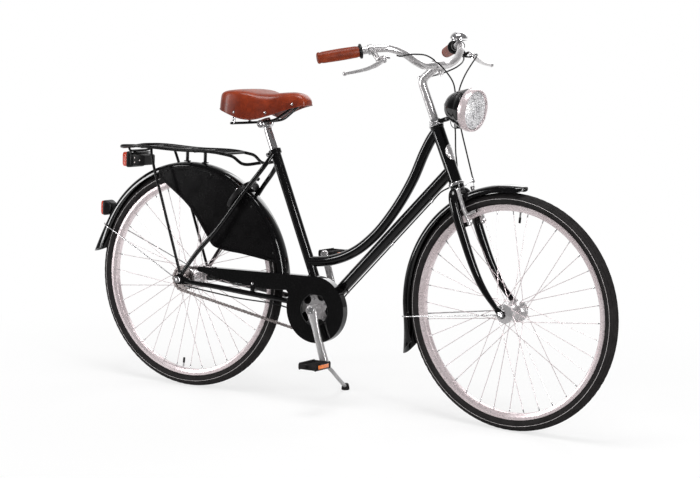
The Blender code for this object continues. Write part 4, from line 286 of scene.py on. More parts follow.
# By key: name, values of the shader, texture and stops of the colour, texture and range of the roughness,
# and each bump's texture, strength and depth in metres
FINISHES = {
    "paint": (
        "gloss_black_paint", {"Coat Weight": 0.7, "Specular IOR Level": 0.25},
        ("noise", 14.0), ((0.35, (0.0016, 0.0015, 0.0017)), (0.7, (0.0032, 0.0030, 0.0033))),
        ("noise", 45.0, 6.0), (0.08, 0.16), (("noise", 40.0, 1.0), 0.02, 0.0002),
    ),
    "satin": (
        "satin_black_paint", {"Coat Weight": 0.15, "Specular IOR Level": 0.2},
        ("noise", 14.0), ((0.35, (0.0018, 0.0017, 0.0019)), (0.7, (0.0036, 0.0034, 0.0037))),
        ("noise", 45.0, 6.0), (0.22, 0.34), (("noise", 600.0, 3.0), 0.06, 0.0002),
    ),
    "skirt": (
        "grained_black_sheet", {"Specular IOR Level": 0.13},
        ("noise", 16.0), ((0.3, (0.0026, 0.0024, 0.0027)), (0.75, (0.0058, 0.0054, 0.0057))),
        ("noise", 30.0, 5.0), (0.15, 0.22), (("cells", 1400.0), 0.10, 0.0002),
    ),
    "plastic": (
        "black_plastic", {"Specular IOR Level": 0.3},
        ("noise", 60.0), ((0.3, (0.0040, 0.0038, 0.0041)), (0.75, (0.0090, 0.0086, 0.0089))),
        ("noise", 90.0, 6.0), (0.30, 0.48), (("noise", 1500.0, 3.0), 0.12, 0.0002),
    ),
    "rubber": (
        "black_rubber", {"Specular IOR Level": 0.2},
        ("noise", 35.0, 6.0), ((0.3, (0.0085, 0.0074, 0.0075)), (0.75, (0.0200, 0.0176, 0.0178))),
        ("noise", 120.0, 5.0), (0.62, 0.85), (("noise", 1100.0, 4.0), 0.25, 0.0003),
    ),
    "stripe": (
        "pale_reflecting_band", {"Specular IOR Level": 0.6},
        ("noise", 150.0), ((0.3, (0.52, 0.49, 0.49)), (0.7, (0.68, 0.64, 0.64))),
        ("noise", 300.0), (0.25, 0.45), (("cells", 2500.0), 0.15, 0.0001),
    ),
    "chrome": (
        "chrome", {"Metallic": 0.88},
        ("noise", 20.0), ((0.3, (0.70, 0.690, 0.700)), (0.75, (0.84, 0.830, 0.840))),
        ("noise", 60.0, 6.0), (0.05, 0.13), (("noise", 50.0, 1.0), 0.02, 0.0002),
    ),
    "polished": (
        "polished_aluminium", {"Metallic": 0.72},
        ("noise", 25.0, 5.0), ((0.3, (0.66, 0.640, 0.645)), (0.75, (0.82, 0.800, 0.805))),
        ("noise", 80.0, 6.0), (0.13, 0.26), (("noise", 60.0, 1.0, (1.0, 1.0, 4.0)), 0.02, 0.0002),
    ),
    "rim": (
        "brushed_rim_aluminium", {"Metallic": 0.55},
        ("noise", 9.0, 3.0), ((0.3, (0.76, 0.650, 0.665)), (0.75, (0.88, 0.785, 0.800))),
        ("noise", 60.0, 4.0), (0.24, 0.32), (("noise", 50.0, 1.0), 0.02, 0.0002),
    ),
    "cast": (
        "satin_aluminium", {"Metallic": 0.85},
        ("noise", 40.0, 5.0), ((0.3, (0.50, 0.490, 0.495)), (0.75, (0.66, 0.650, 0.655))),
        ("noise", 130.0, 6.0), (0.26, 0.42), (("noise", 1300.0, 3.0), 0.12, 0.0001),
    ),
    "steel": (
        "oiled_steel", {"Metallic": 1.0},
        ("noise", 170.0, 5.0), ((0.32, (0.24, 0.205, 0.20)), (0.7, (0.62, 0.56, 0.55))),
        ("noise", 260.0, 5.0), (0.22, 0.45), (("noise", 1600.0, 3.0), 0.10, 0.0001),
    ),
    # The leather's colour holds painted shade, darker towards the cover's lower edge
    "leather": (
        "brown_saddle_leather", {"Coat Weight": 0.22, "Coat Roughness": 0.25, "Specular IOR Level": 0.35},
        ("worn", 22.0, 7.0),
        ((0.28, (0.135, 0.0140, 0.0026)), (0.52, (0.225, 0.0260, 0.0045)), (0.76, (0.330, 0.0440, 0.0080))),
        ("noise", 60.0, 6.0), (0.30, 0.46),
        (("cells", 620.0, "SMOOTH_F1"), 0.22, 0.0004), (("noise", 55.0, 7.0), 0.16, 0.0012),
    ),
    "grip": (
        "brown_grip_leather", {"Coat Weight": 0.05, "Coat Roughness": 0.3, "Specular IOR Level": 0.22},
        ("noise", 38.0, 7.0),
        ((0.28, (0.125, 0.0150, 0.0030)), (0.52, (0.205, 0.0270, 0.0052)), (0.76, (0.300, 0.0440, 0.0090))),
        ("noise", 90.0, 6.0), (0.36, 0.52), (("cells", 800.0, "SMOOTH_F1"), 0.30, 0.0004),
    ),
    "stitch": (
        "tan_thread", {"Specular IOR Level": 0.3, "Sheen Weight": 0.2},
        ("noise", 300.0), ((0.3, (0.22, 0.085, 0.030)), (0.7, (0.36, 0.150, 0.055))),
        ("noise", 400.0), (0.6, 0.8), (("waves", 900.0, "X"), 0.5, 0.0002),
    ),
    "red": (
        "red_prism_lens", {"Coat Weight": 1.0},
        ("cells", 330.0), ((0.15, (0.42, 0.022, 0.008)), (0.6, (0.66, 0.060, 0.016))),
        ("noise", 200.0), (0.10, 0.20), (("cells", 330.0), 0.6, 0.0010),
    ),
    "amber": (
        "amber_prism_reflector", {"Coat Weight": 1.0},
        ("cells", 420.0), ((0.15, (0.60, 0.110, 0.012)), (0.6, (0.86, 0.210, 0.022))),
        ("noise", 200.0), (0.10, 0.22), (("cells", 420.0), 0.6, 0.0008),
    ),
    "glass": (
        "ribbed_lens_glass", {"Transmission Weight": 1.0, "IOR": 1.45, "Alpha": 0.12},
        ("noise", 30.0), ((0.3, (0.96, 0.97, 0.97)), (0.7, (1.0, 1.0, 1.0))),
        ("noise", 80.0), (0.01, 0.05), (("waves", 52.0, "Y"), 0.20, 0.0008),
    ),
    # Painted reflection: the bowl's colour is near white with streaks from stretched noise, standing in for what it
    # mirrors
    "mirror": (
        "bright_reflector_bowl", {"Metallic": 0.35},
        ("noise", 95.0, 2.0, (1.0, 1.0, 0.12)), ((0.36, (0.50, 0.495, 0.51)), (0.56, (0.98, 0.975, 0.985))),
        ("noise", 90.0), (0.30, 0.40),
    ),
    "bulb": (
        "bulb_glass", {},
        ("noise", 60.0), ((0.3, (0.90, 0.88, 0.80)), (0.7, (1.0, 0.98, 0.90))),
        ("noise", 80.0), (0.04, 0.10),
    ),
}
FINISH = {key: make_finish(*row) for key, row in FINISHES.items()}


# Shapes

def solid(bm, finish, sharp=35.0):
    """Turns a bmesh into an object of one finish, smooth except across sharp edges."""
    bmesh.ops.remove_doubles(bm, verts=bm.verts, dist=1e-6)
    bmesh.ops.recalc_face_normals(bm, faces=bm.faces)
    mesh = bpy.data.meshes.new("form")
    bm.to_mesh(mesh)
    bm.free()
    mesh.materials.append(FINISH[finish])
    mesh.shade_smooth()
    mesh.set_sharp_from_angle(angle=math.radians(sharp))
    obj = bpy.data.objects.new("form", mesh)
    bpy.context.scene.collection.objects.link(obj)
    return obj


def skin(bm, rings, closed=False):
    """Adds faces between rings of as many points each, and two end caps unless the run closes on itself."""
    loops = [[bm.verts.new(point) for point in ring] for ring in rings]
    following = loops[1:] + loops[:1] if closed else loops[1:]
    for first, second in zip(loops, following):
        for i in range(len(first)):
            j = (i + 1) % len(first)
            bm.faces.new((first[i], first[j], second[j], second[i]))
    if not closed:
        bm.faces.new(loops[0])
        bm.faces.new(loops[-1])


def loft(rings, finish, closed=False, sharp=35.0):
    bm = bmesh.new()
    skin(bm, rings, closed)
    return solid(bm, finish, sharp)


def prism(outline, along, finish):
    """A flat outline of 3-D points, drawn out along a vector."""
    return loft([outline, [point + along for point in outline]], finish)


def turned(profile, base, axis, finish, steps=40, ring=False, sharp=35.0):
    """Turns (radius, height) points about an axis. Unless it is a ring, the ends close on the axis."""
    axis = Vector(axis).normalized()
    first = axis.orthogonal().normalized()
    second = axis.cross(first)
    rings = []
    for radius, height in profile:
        loop = []
        for k in range(steps):
            angle = math.tau * k / steps
            loop.append(base + axis * height + (first * math.cos(angle) + second * math.sin(angle)) * radius)
        rings.append(loop)
    return loft(rings, finish, closed=ring, sharp=sharp)


def disc(centre, axis, radius, start, stop, finish, steps=32, bevel=0.0):
    profile = [(radius, start), (radius, stop)]
    if bevel:
        profile = [(radius - bevel, start), (radius, start + bevel), (radius, stop - bevel), (radius - bevel, stop)]
    return turned(profile, centre, axis, finish, steps)


def smooth(points, per=6):
    """A smooth run through points of any dimension, with so many steps to a span."""
    points = [Vector(point) for point in points]
    spans = [(b - a).length for a, b in zip(points, points[1:])]
    slopes = [(b - a) / span for a, b, span in zip(points, points[1:], spans)]
    tangents = [slopes[0]]
    for i in range(1, len(points) - 1):
        before, after = spans[i - 1], spans[i]
        tangents.append((slopes[i - 1] * after + slopes[i] * before) / (before + after))
    tangents.append(slopes[-1])
    run = []
    for i, span in enumerate(spans):
        for step in range(per):
            t = step / per
            run.append(
                points[i] * (2 * t**3 - 3 * t**2 + 1)
                + tangents[i] * (span * (t**3 - 2 * t**2 + t))
                + points[i + 1] * (3 * t**2 - 2 * t**3)
                + tangents[i + 1] * (span * (t**3 - t**2))
            )
    run.append(points[-1])
    return run


def tube(path, radius, finish, sides=20, flat=1.0):
    """A tube along a path, mitred at its corners. A point may hold its own radius as a fourth number."""
    points = [Vector(point[:3]) for point in path]
    radii = [point[3] for point in path] if radius is None else [radius] * len(points)
    steps = [(b - a).normalized() for a, b in zip(points, points[1:])]
    side = Y_AXIS if abs(steps[0].y) < 0.9 else X_AXIS
    rings = []
    for i, (point, size) in enumerate(zip(points, radii)):
        along = steps[max(i - 1, 0)]
        side = (side - along * side.dot(along)).normalized()
        up = along.cross(side)
        cut = (along + steps[min(i, len(steps) - 1)]).normalized()
        ring = []
        for k in range(sides):
            angle = math.tau * (k + 0.5) / sides
            out = side * (size * flat * math.cos(angle)) + up * (size * math.sin(angle))
            out -= along * (out.dot(cut) / along.dot(cut))
            ring.append(point + out)
        rings.append(ring)
    return loft(rings, finish)


def block(centre, size, finish, bevel=0.001, turn=None, segments=3):
    """A box with rounded edges, turned by a matrix about its own centre."""
    bm = bmesh.new()
    bmesh.ops.create_cube(bm, size=1.0)
    bmesh.ops.scale(bm, vec=Vector(size), verts=bm.verts)
    bmesh.ops.bevel(
        bm, geom=list(bm.edges), offset=bevel, offset_type="OFFSET", segments=segments, profile=0.5, affect="EDGES"
    )
    matrix = Matrix.Translation(centre)
    if turn is not None:
        matrix = matrix @ turn.to_4x4()
    bmesh.ops.transform(bm, matrix=matrix, verts=bm.verts)
    return solid(bm, finish)


def lug(a, radius_a, b, radius_b, normal, start, stop, finish, steps=14, bevel=0.0006):
    """A flat link round two centres, each with its radius, from start to stop along its normal."""
    normal = Vector(normal).normalized()
    a = Vector(a)
    b = Vector(b)
    b = b - normal * (b - a).dot(normal)
    along = (b - a).normalized()
    across = normal.cross(along)
    lean = math.asin((radius_a - radius_b) / (b - a).length)

    def outline(height, inset):
        points = []
        for centre, radius, first in ((b, radius_b, -90.0), (a, radius_a, 90.0)):
            turn = math.degrees(lean)
            span = 180.0 - 2 * turn if first < 0 else 180.0 + 2 * turn
            begin = first + turn if first < 0 else first - turn
            for k in range(steps + 1):
                angle = math.radians(begin + span * k / steps)
                out = along * math.cos(angle) + across * math.sin(angle)
                points.append(centre + out * (radius - inset) + normal * height)
        return points

    rings = [outline(start, bevel), outline(start + bevel, 0.0), outline(stop - bevel, 0.0), outline(stop, bevel)]
    return loft(rings, finish)


def bolt(place, axis, radius, height, finish="chrome"):
    """A hexagon head with a chamfered crown."""
    return [turned([(radius, 0.0), (radius, height * 0.8), (radius * 0.86, height)], place, axis, finish, 6)]


def polar(hub, radius, degrees, y=0.0):
    """A point round a hub: 0 is forward and 90 is up."""
    angle = math.radians(degrees)
    return hub + Vector((radius * math.cos(angle), y, radius * math.sin(angle)))


def head(along, forward=0.0, y=0.0):
    """A point by its height on the steering axis, how far it lies ahead of it, and y."""
    return HEAD_BOTTOM + HEAD_AXIS * along + HEAD_FORWARD * forward + Y_AXIS * y


def seat(along, forward=0.0):
    """A point by its height on the seat tube's axis, and how far it lies ahead of it."""
    ahead = Vector((SEAT_AXIS.z, 0.0, -SEAT_AXIS.x))
    return BOTTOM + SEAT_AXIS * along + ahead * forward


def squared(value, power):
    """A sine or cosine raised to a power with its sign kept, for a section between round and square."""
    return math.copysign(abs(value) ** power, value)


def mirrored(point):
    return Vector((point[0], -point[1], point[2], *point[3:]))


def on_side(side, x, y, z):
    return Vector((x, side * y, z))


def side_point(side, point):
    return Vector(point) if side == LEFT else mirrored(point)


def flat_list(shapes):
    found = []
    for shape in shapes:
        found += flat_list(shape) if isinstance(shape, (list, tuple)) else [shape]
    return found


def joined(shapes):
    shapes = flat_list(shapes)
    with bpy.context.temp_override(active_object=shapes[0], selected_editable_objects=shapes):
        bpy.ops.object.join()
    return shapes[0]


def piece(name, shapes, body="frame"):
    """Joins shapes into the look of the solid of that name, stands it in place and hangs it on its body."""
    obj = joined(shapes)
    obj.name = name + "_look"
    obj.data.name = name + "_look"
    obj.data.transform(BARS if body.startswith(BARS_BODIES) else ON_STAND)
    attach(obj, body)
    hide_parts(name)


def carve(base, *cutters, sharp=35.0):
    """Cuts solids from a base, and shades what is left."""
    group = bpy.data.collections.new("cutters")
    for cutter in cutters:
        group.objects.link(cutter)
    modifier = base.modifiers.new("cut", "BOOLEAN")
    modifier.operation = "DIFFERENCE"
    modifier.solver = "EXACT"
    modifier.operand_type = "COLLECTION"
    modifier.collection = group
    graph = bpy.context.evaluated_depsgraph_get()
    mesh = bpy.data.meshes.new_from_object(base.evaluated_get(graph))
    base.modifiers.clear()
    base.data = mesh
    mesh.shade_smooth()
    mesh.set_sharp_from_angle(angle=math.radians(sharp))
    for cutter in cutters:
        bpy.data.objects.remove(cutter, do_unlink=True)
    bpy.data.collections.remove(group)
    return base


def rod(place, axis, radius, reach, steps=48):
    return disc(place, axis, radius, -reach, reach, "paint", steps)


# Frame

BADGE_ALONG = 0.098
BADGE_HALF_WIDTH = 0.0225
BADGE_HALF_HEIGHT = 0.0250
BADGE_STEPS = 40

# The badge's rings, as (share of its half sizes, lift off the head tube)
BADGE_UNDER = [(share, -0.0006) for share in (0.02, 0.25, 0.5, 0.75, 1.0)]
BADGE_RELIEF = [
    (1.0, 0.0007), (0.95, 0.0013), (0.86, 0.0012), (0.81, 0.0005), (0.66, 0.0005), (0.62, 0.0010),
    (0.55, 0.0010), (0.51, 0.0005), (0.20, 0.0012), (0.02, 0.0012),
]


def badge():
    """A blank oval plate that follows the head tube's round."""
    rings = []
    for share, lift in BADGE_UNDER + BADGE_RELIEF:
        radius = HEAD_RADIUS + lift
        ring = []
        for k in range(BADGE_STEPS):
            angle = math.tau * k / BADGE_STEPS
            around = BADGE_HALF_WIDTH * share * math.cos(angle) / HEAD_RADIUS
            along = BADGE_ALONG + BADGE_HALF_HEIGHT * share * math.sin(angle)
            ring.append(head(along, radius * math.cos(around), radius * math.sin(around)))
        rings.append(ring)
    return loft(rings, "polished")


def head_tube():
    bore = 0.0147
    r = HEAD_RADIUS
    shell = turned(
        [
            (bore, 0.0100),
            (r + 0.0012, 0.0100),
            (r + 0.0012, 0.0120),
            (r, 0.0140),
            (r, HEAD_LENGTH - 0.0065),
            (r + 0.0012, HEAD_LENGTH - 0.0055),
            (r + 0.0012, HEAD_LENGTH),
            (bore, HEAD_LENGTH),
        ],
        HEAD_BOTTOM, HEAD_AXIS, "paint", 56, ring=True,
    )
    cup = turned(
        [
            (bore, 0.0), (0.0222, 0.0), (0.0235, 0.0015), (0.0235, 0.0072), (0.0222, 0.0092), (0.0200, 0.0102),
            (bore, 0.0102)
        ],
        HEAD_BOTTOM, HEAD_AXIS, "chrome", 56, ring=True,
    )
    piece("head_tube", [shell, cup, badge()])


TOP_TUBE_RUN = [
    (0.292, 0.843),
    (0.272, 0.806),
    (0.233, 0.718),
    (0.178, 0.6265),
    (0.097, 0.530),
    (0.045, 0.4890),
    (-0.007, 0.4625),
    (-0.0565, 0.4475),
]


def top_tube():
    middle = [Vector((x, 0.0, z)) for x, z in TOP_TUBE_RUN]
    path = smooth([head(HEAD_LENGTH - 0.010), *middle, seat(0.151)], 8)
    run = tube(path, TOP_TUBE_RADIUS, "paint", 32)
    run = carve(run, rod(HEAD_BOTTOM, HEAD_AXIS, HEAD_CUT, 0.3), rod(BOTTOM, SEAT_AXIS, 0.0145, 0.6))
    piece("top_tube", [run])


DOWN_TUBE_EYES = (0.110, 0.300, 0.520)


def under_down_tube(along):
    """A point under the down tube, on the line of its cable."""
    start = head(DOWN_TUBE_JOIN)
    way = (BOTTOM - start).normalized()
    low = Vector((-way.z, 0.0, way.x))
    return start + way * along + low * 0.0255 + Y_AXIS * -0.008


def down_tube():
    start = head(DOWN_TUBE_JOIN)
    run = tube([start, BOTTOM], DOWN_TUBE_RADIUS, "paint", 40)
    run = carve(run, rod(HEAD_BOTTOM, HEAD_AXIS, HEAD_CUT, 0.3), rod(BOTTOM, Y_AXIS, BOTTOM_CUT, 0.2))
    shapes = [run]
    way = (BOTTOM - start).normalized()
    for along in DOWN_TUBE_EYES:
        low = under_down_tube(along)
        high = start.lerp(BOTTOM, along / (BOTTOM - start).length)
        shapes.append(disc(low, high - low, 0.0030, CABLE_RADIUS + GAP, 0.012, "paint", 20))
        inner = CABLE_RADIUS + 0.0002
        outer = CABLE_RADIUS + 0.0015
        eye = [(inner, -0.005), (outer, -0.005), (outer, 0.005), (inner, 0.005)]
        shapes.append(turned(eye, low, way, "chrome", 24, ring=True))
    piece("down_tube", shapes)


def seat_tube():
    bore = SEATPOST_RADIUS + GAP
    length = SEAT_TUBE_LENGTH
    deep = length - 0.180
    post = turned(
        [
            (SEAT_TUBE_RADIUS, 0.0), (SEAT_TUBE_RADIUS, length - 0.0005), (SEAT_TUBE_RADIUS - 0.0005, length),
            (bore, length), (bore, deep)
        ],
        BOTTOM, SEAT_AXIS, "paint", 48,
    )
    post = carve(post, rod(BOTTOM, Y_AXIS, BOTTOM_SHELL_RADIUS - 0.0015, 0.1))
    half = BOTTOM_SHELL_HALF
    bearing = 0.0089
    outside = BOTTOM_SHELL_RADIUS
    profile = [
        (bearing, -half), (outside - 0.0010, -half), (outside, -half + 0.0010), (outside, half - 0.0010),
        (outside - 0.0010, half), (bearing, half), (bearing, half - 0.012), (outside - 0.0035, half - 0.012),
        (outside - 0.0035, 0.012 - half), (bearing, 0.012 - half),
    ]
    shell = turned(profile, BOTTOM, Y_AXIS, "paint", 48, ring=True)
    rings = []
    for side in (RIGHT, LEFT):
        band = [
            (0.0095, half - 0.0002), (0.0188, half - 0.0002), (0.0188, half + 0.0016), (0.0180, half + 0.0024),
            (0.0095, half + 0.0024)
        ]
        rings.append(turned(band, BOTTOM, Y_AXIS * side, "chrome", 40, ring=True))
    piece("seat_tube", [post, shell, *rings])


def seat_clamp():
    top = SEAT_TUBE_LENGTH
    outside = SEAT_TUBE_RADIUS + 0.0040
    inside = SEAT_TUBE_RADIUS + GAP
    profile = [
        (inside, top - 0.014), (outside - 0.0008, top - 0.014), (outside, top - 0.0132), (outside, top + 0.0006),
        (outside - 0.0009, top + 0.0015), (SEATPOST_RADIUS + GAP, top + 0.0015), (SEATPOST_RADIUS + GAP, top + GAP),
        (inside, top + GAP),
    ]
    band = turned(profile, BOTTOM, SEAT_AXIS, "paint", 48, ring=True)
    back = seat(top - 0.007, -SEAT_TUBE_RADIUS - 0.0085)
    turn = Matrix.Rotation(SEAT_ANGLE - math.pi / 2, 3, "Y")
    band = carve(band, block(back, (0.022, 0.002, 0.03), "paint", 0.0002, turn))
    shapes = [band]
    for sign in (-1, 1):
        shapes.append(block(back + Y_AXIS * (sign * 0.0047), (0.013, 0.0072, 0.012), "paint", 0.0015, turn))
        shapes += bolt(back + Y_AXIS * (sign * 0.0083), Y_AXIS * sign, 0.0048, 0.0045)
    shapes.append(disc(back, Y_AXIS, 0.0030, -0.0120, 0.0120, "chrome", 20))
    piece("seat_clamp", shapes)


def chainstay_path(side):
    r = CHAINSTAY_RADIUS
    out = REAR_FRAME_SPACE + DROPOUT_THICKNESS / 2
    return [
        (REAR_HUB.x + 0.026, side * out, REAR_HUB.z - 0.003, r * 0.78),
        (REAR_HUB.x + 0.060, side * (out - 0.002), REAR_HUB.z - 0.0065, r * 0.86),
        (REAR_HUB.x + 0.125, side * 0.0605, REAR_HUB.z - 0.011, r * 0.94),
        (REAR_HUB.x + 0.275, side * 0.0485, REAR_HUB.z - 0.024, r),
        (REAR_HUB.x + 0.355, side * 0.0390, REAR_HUB.z - 0.031, r),
        (REAR_HUB.x + 0.425, side * 0.0300, REAR_HUB.z - 0.039, r * 1.05),
        (BOTTOM.x - BOTTOM_SHELL_RADIUS * 0.4, side * 0.0245, BOTTOM.z + 0.003, r * 1.08),
    ]


def chainstay(side, word):
    low, high = sorted((side * REAR_FRAME_SPACE, side * (REAR_FRAME_SPACE + DROPOUT_THICKNESS)))
    plate = lug(REAR_HUB, 0.0155, REAR_HUB + Vector((0.034, 0.0, -0.0035)), 0.010, Y_AXIS, low, high, "paint", 20)
    ear = lug(REAR_HUB, 0.0120, REAR_HUB + EAR_RISE, 0.0080, Y_AXIS, low, high, "paint", 20)
    back = REAR_HUB - Vector((0.03, 0.0, 0.0))
    start, stop = sorted((side * (REAR_FRAME_SPACE - 0.004), side * (REAR_FRAME_SPACE + 0.010)))
    slots = [lug(REAR_HUB, AXLE_SLOT, back, AXLE_SLOT, Y_AXIS, start, stop, "paint", 16, 0.0001) for _ in range(2)]
    run = tube(smooth(chainstay_path(side), 7), None, "paint", 24)
    run = carve(run, rod(BOTTOM, Y_AXIS, BOTTOM_CUT, 0.1))
    shapes = [run, carve(plate, slots[0]), carve(ear, slots[1])]
    if side == LEFT:
        bridge = REAR_HUB + Vector((FENDER_RADIUS + 0.0048, 0.0, -0.0325))
        shapes.append(disc(bridge, Y_AXIS, CHAINSTAY_RADIUS * 0.7, -0.0268, 0.0360, "paint", 24))
    piece("chainstay_" + word, shapes)


def seatstay_path(side):
    out = REAR_FRAME_SPACE + DROPOUT_THICKNESS / 2
    top = BOTTOM + SEAT_AXIS * SEAT_TUBE_LENGTH
    return [
        (REAR_HUB.x + 0.0180, side * out, REAR_HUB.z + 0.0290, STAY_RADIUS * 0.85),
        (REAR_HUB.x + 0.060, side * 0.0640, REAR_HUB.z + 0.085, STAY_RADIUS),
        (REAR_HUB.x + 0.131, side * 0.0550, REAR_HUB.z + 0.165, STAY_RADIUS),
        (REAR_HUB.x + 0.2335, side * 0.0450, REAR_HUB.z + 0.299, STAY_RADIUS),
        (REAR_HUB.x + 0.300, side * 0.0310, REAR_HUB.z + 0.386, STAY_RADIUS),
        (top.x + 0.0045, side * 0.0160, top.z - 0.012, STAY_RADIUS * 0.9),
    ]


def seatstay(side, word):
    path = smooth(seatstay_path(side), 7)
    foot = path[0].copy()
    foot.x -= 0.006
    foot.z -= 0.012
    run = tube([foot, *path], None, "paint", 24)
    run = carve(run, rod(BOTTOM, SEAT_AXIS, 0.0150, 0.7))
    piece("seatstay_" + word, [run])


# Fenders and guards

# Angles where each fender starts, stops and begins to flare, and how far it flares; then its wire's angle
REAR_FENDER = (0.0, 172.0, 150.0, 0.022)
REAR_WIRE = 156.0
FRONT_FENDER = (83.0, 204.0, 186.0, 0.034)
FRONT_WIRE = 187.6


def flap_rise(degrees, stop, flare_from, flare):
    """How far the tail stands out at an angle."""
    return flare * max(0.0, (degrees - flare_from) / (stop - flare_from)) ** 2


def fender_section(inset):
    """Half-round section of a crowned sheet as (radius, y), from left to right."""
    points = []
    power = 2.0 / 2.65
    for k in range(25):
        angle = math.radians(90.0 - 180.0 * k / 24)
        across = squared(math.sin(angle), power)
        up = abs(math.cos(angle)) ** power if k not in (0, 24) else 0.0
        radius = FENDER_EDGE_RADIUS + (FENDER_RADIUS - FENDER_EDGE_RADIUS - inset) * up
        points.append((radius, (FENDER_HALF_WIDTH - inset) * across))
    return points


TONGUE = 5.0
TAIL_CUT = 4.0


def fender(hub, start, stop, flare_from, flare, tongue):
    """A crowned sheet whose tail is cut slantwise; a tongue is a front end that rounds off."""
    steps = round((stop - start) / 1.5)
    stations = [start + (stop - start) * k / steps for k in range(steps + 1)]
    if tongue:
        front = [start + TONGUE * (k / 12) ** 2 for k in range(12)]
        stations = front + [at for at in stations if at >= start + TONGUE]
    section = fender_section(0.0) + fender_section(0.0012)[::-1]
    edges = {LEFT: [], RIGHT: []}
    rings = []
    for degrees in stations:
        rise = flap_rise(degrees, stop, flare_from, flare)
        ahead = min(1.0, (degrees - start) / TONGUE) if tongue else 1.0
        full = math.sqrt(max(0.02, 1.0 - (1.0 - ahead) ** 2))
        tail = flap_rise(degrees, stop, flare_from, 1.0)

        def sheet(radius, y):
            share = (radius - FENDER_EDGE_RADIUS) / (FENDER_RADIUS - FENDER_EDGE_RADIUS)
            lifted = FENDER_RADIUS - (FENDER_RADIUS - radius) * full
            return polar(hub, lifted + rise * share, degrees - TAIL_CUT * tail * (1.0 - share), y * full)

        rings.append([sheet(radius, y) for radius, y in section])
        for side in (LEFT, RIGHT):
            edges[side].append(sheet(FENDER_EDGE_RADIUS + 0.0006, side * (FENDER_HALF_WIDTH - 0.0007)))
    shapes = [loft(rings, "paint", sharp=50.0)]
    shapes += [tube(edge, 0.0011, "paint", 8) for edge in edges.values()]
    return shapes


def fender_wire(hub, degrees, eye_at, rise):
    """A wire from the axle's ends over the fender's crown, with an eye at each end."""
    crown = FENDER_RADIUS + rise + 0.0025
    over = [
        (0.0070, eye_at + 0.0024),
        (0.0300, eye_at + 0.0024),
        (FENDER_EDGE_RADIUS - 0.030, FENDER_HALF_WIDTH + 0.0060),
        (FENDER_EDGE_RADIUS + 0.004, FENDER_HALF_WIDTH + 0.0045),
        (FENDER_RADIUS + rise - 0.004, FENDER_HALF_WIDTH * 0.92),
        (crown + 0.0004, FENDER_HALF_WIDTH * 0.45),
        (crown, 0.0),
    ]
    left = [polar(hub, radius, degrees, y) for radius, y in over]
    left = left[:2] + smooth(left[2:], 5)
    shapes = [tube(left + [mirrored(point) for point in reversed(left[:-1])], 0.0019, "chrome", 14)]
    for side in (RIGHT, LEFT):
        eye = [
            (AXLE_SLOT, eye_at), (0.0088, eye_at), (0.0095, eye_at + 0.0007), (0.0095, eye_at + 0.0033),
            (0.0088, eye_at + 0.004), (AXLE_SLOT, eye_at + 0.004)
        ]
        shapes.append(turned(eye, hub, Y_AXIS * side, "chrome", 32, ring=True))
    return shapes


# The skirt guard's lower edge as (radius, angle), and its border's steps as (inset, rise)
SKIRT_EDGE = [(0.357, 12.5), (0.232, 24.5), (0.172, 37.0), (0.152, 48.0), (0.163, 62.0), (0.222, 86.0), (0.338, 110.0)]
SKIRT_BORDER = [
    (0.0008, 0.0006), (0.0060, 0.0), (0.0010, -0.0006), (0.0008, -0.0006), (0.0030, 0.0), (0.0006, 0.0004),
    (0.0006, -0.0004),
]
SKIRT_STUDS = (18.0, 45.0, 75.0, 104.0)


def skirt_guard(side, word):
    """A grained sheet with a rolled border, and a ringed opening for the lock's bolt."""
    lower = smooth([polar(REAR_HUB, radius, degrees) for radius, degrees in SKIRT_EDGE], 8)
    upper = [polar(REAR_HUB, SKIRT_RADIUS, 111.5 - 99.5 * k / 40) for k in range(1, 40)]
    inner = side * (FENDER_HALF_WIDTH + GAP)
    bm = bmesh.new()
    verts = [bm.verts.new(point + Y_AXIS * inner) for point in lower + upper]
    face = bm.faces.new(verts)
    drawn = bmesh.ops.extrude_face_region(bm, geom=[face], use_keep_orig=True)
    raised = [item for item in drawn["geom"] if isinstance(item, bmesh.types.BMVert)]
    bmesh.ops.translate(bm, verts=raised, vec=Y_AXIS * (side * 0.0018))
    outer = [item for item in drawn["geom"] if isinstance(item, bmesh.types.BMFace)][0]
    for thickness, move in SKIRT_BORDER:
        bmesh.ops.inset_region(bm, faces=[outer], thickness=thickness, use_even_offset=True)
        bmesh.ops.translate(bm, verts=outer.verts, vec=Y_AXIS * (side * move))
    crossing = 180.0 - math.degrees(math.asin((abs(inner) + 0.0012) / BOLT_RADIUS))
    passage = lock_point(BOLT_RADIUS, side * crossing)
    opening = disc(passage, Y_AXIS, BOLT_OPENING_RADIUS, -0.005, 0.005, "skirt", 40)
    sheet = carve(solid(bm, "skirt", 25.0), opening, sharp=25.0)
    lip = [
        (0.0083, -0.0014), (0.0096, -0.0014), (0.0102, -0.0008), (0.0102, 0.0008), (0.0096, 0.0014), (0.0083, 0.0014)
    ]
    shapes = [sheet, turned(lip, passage, Y_AXIS, "plastic", 40, ring=True)]
    middle = polar(REAR_HUB, 0.265, 60.0)
    border = []
    for point in lower + upper:
        inset = (middle - point).normalized() * 0.0085
        border.append(point + inset + Y_AXIS * (inner + side * 0.0022))
    shapes.append(tube(border + border[:2], 0.0009, "paint", 10))
    for degrees in SKIRT_STUDS:
        place = polar(REAR_HUB, 0.350, degrees, side * (FENDER_HALF_WIDTH + 0.0026))
        shapes.append(turned(
            [(0.0042, 0.0), (0.0040, 0.0006), (0.0028, 0.0013), (0.0010, 0.0016)], place, Y_AXIS * side, "plastic", 20
        ))
    piece("skirt_guard_" + word, shapes)


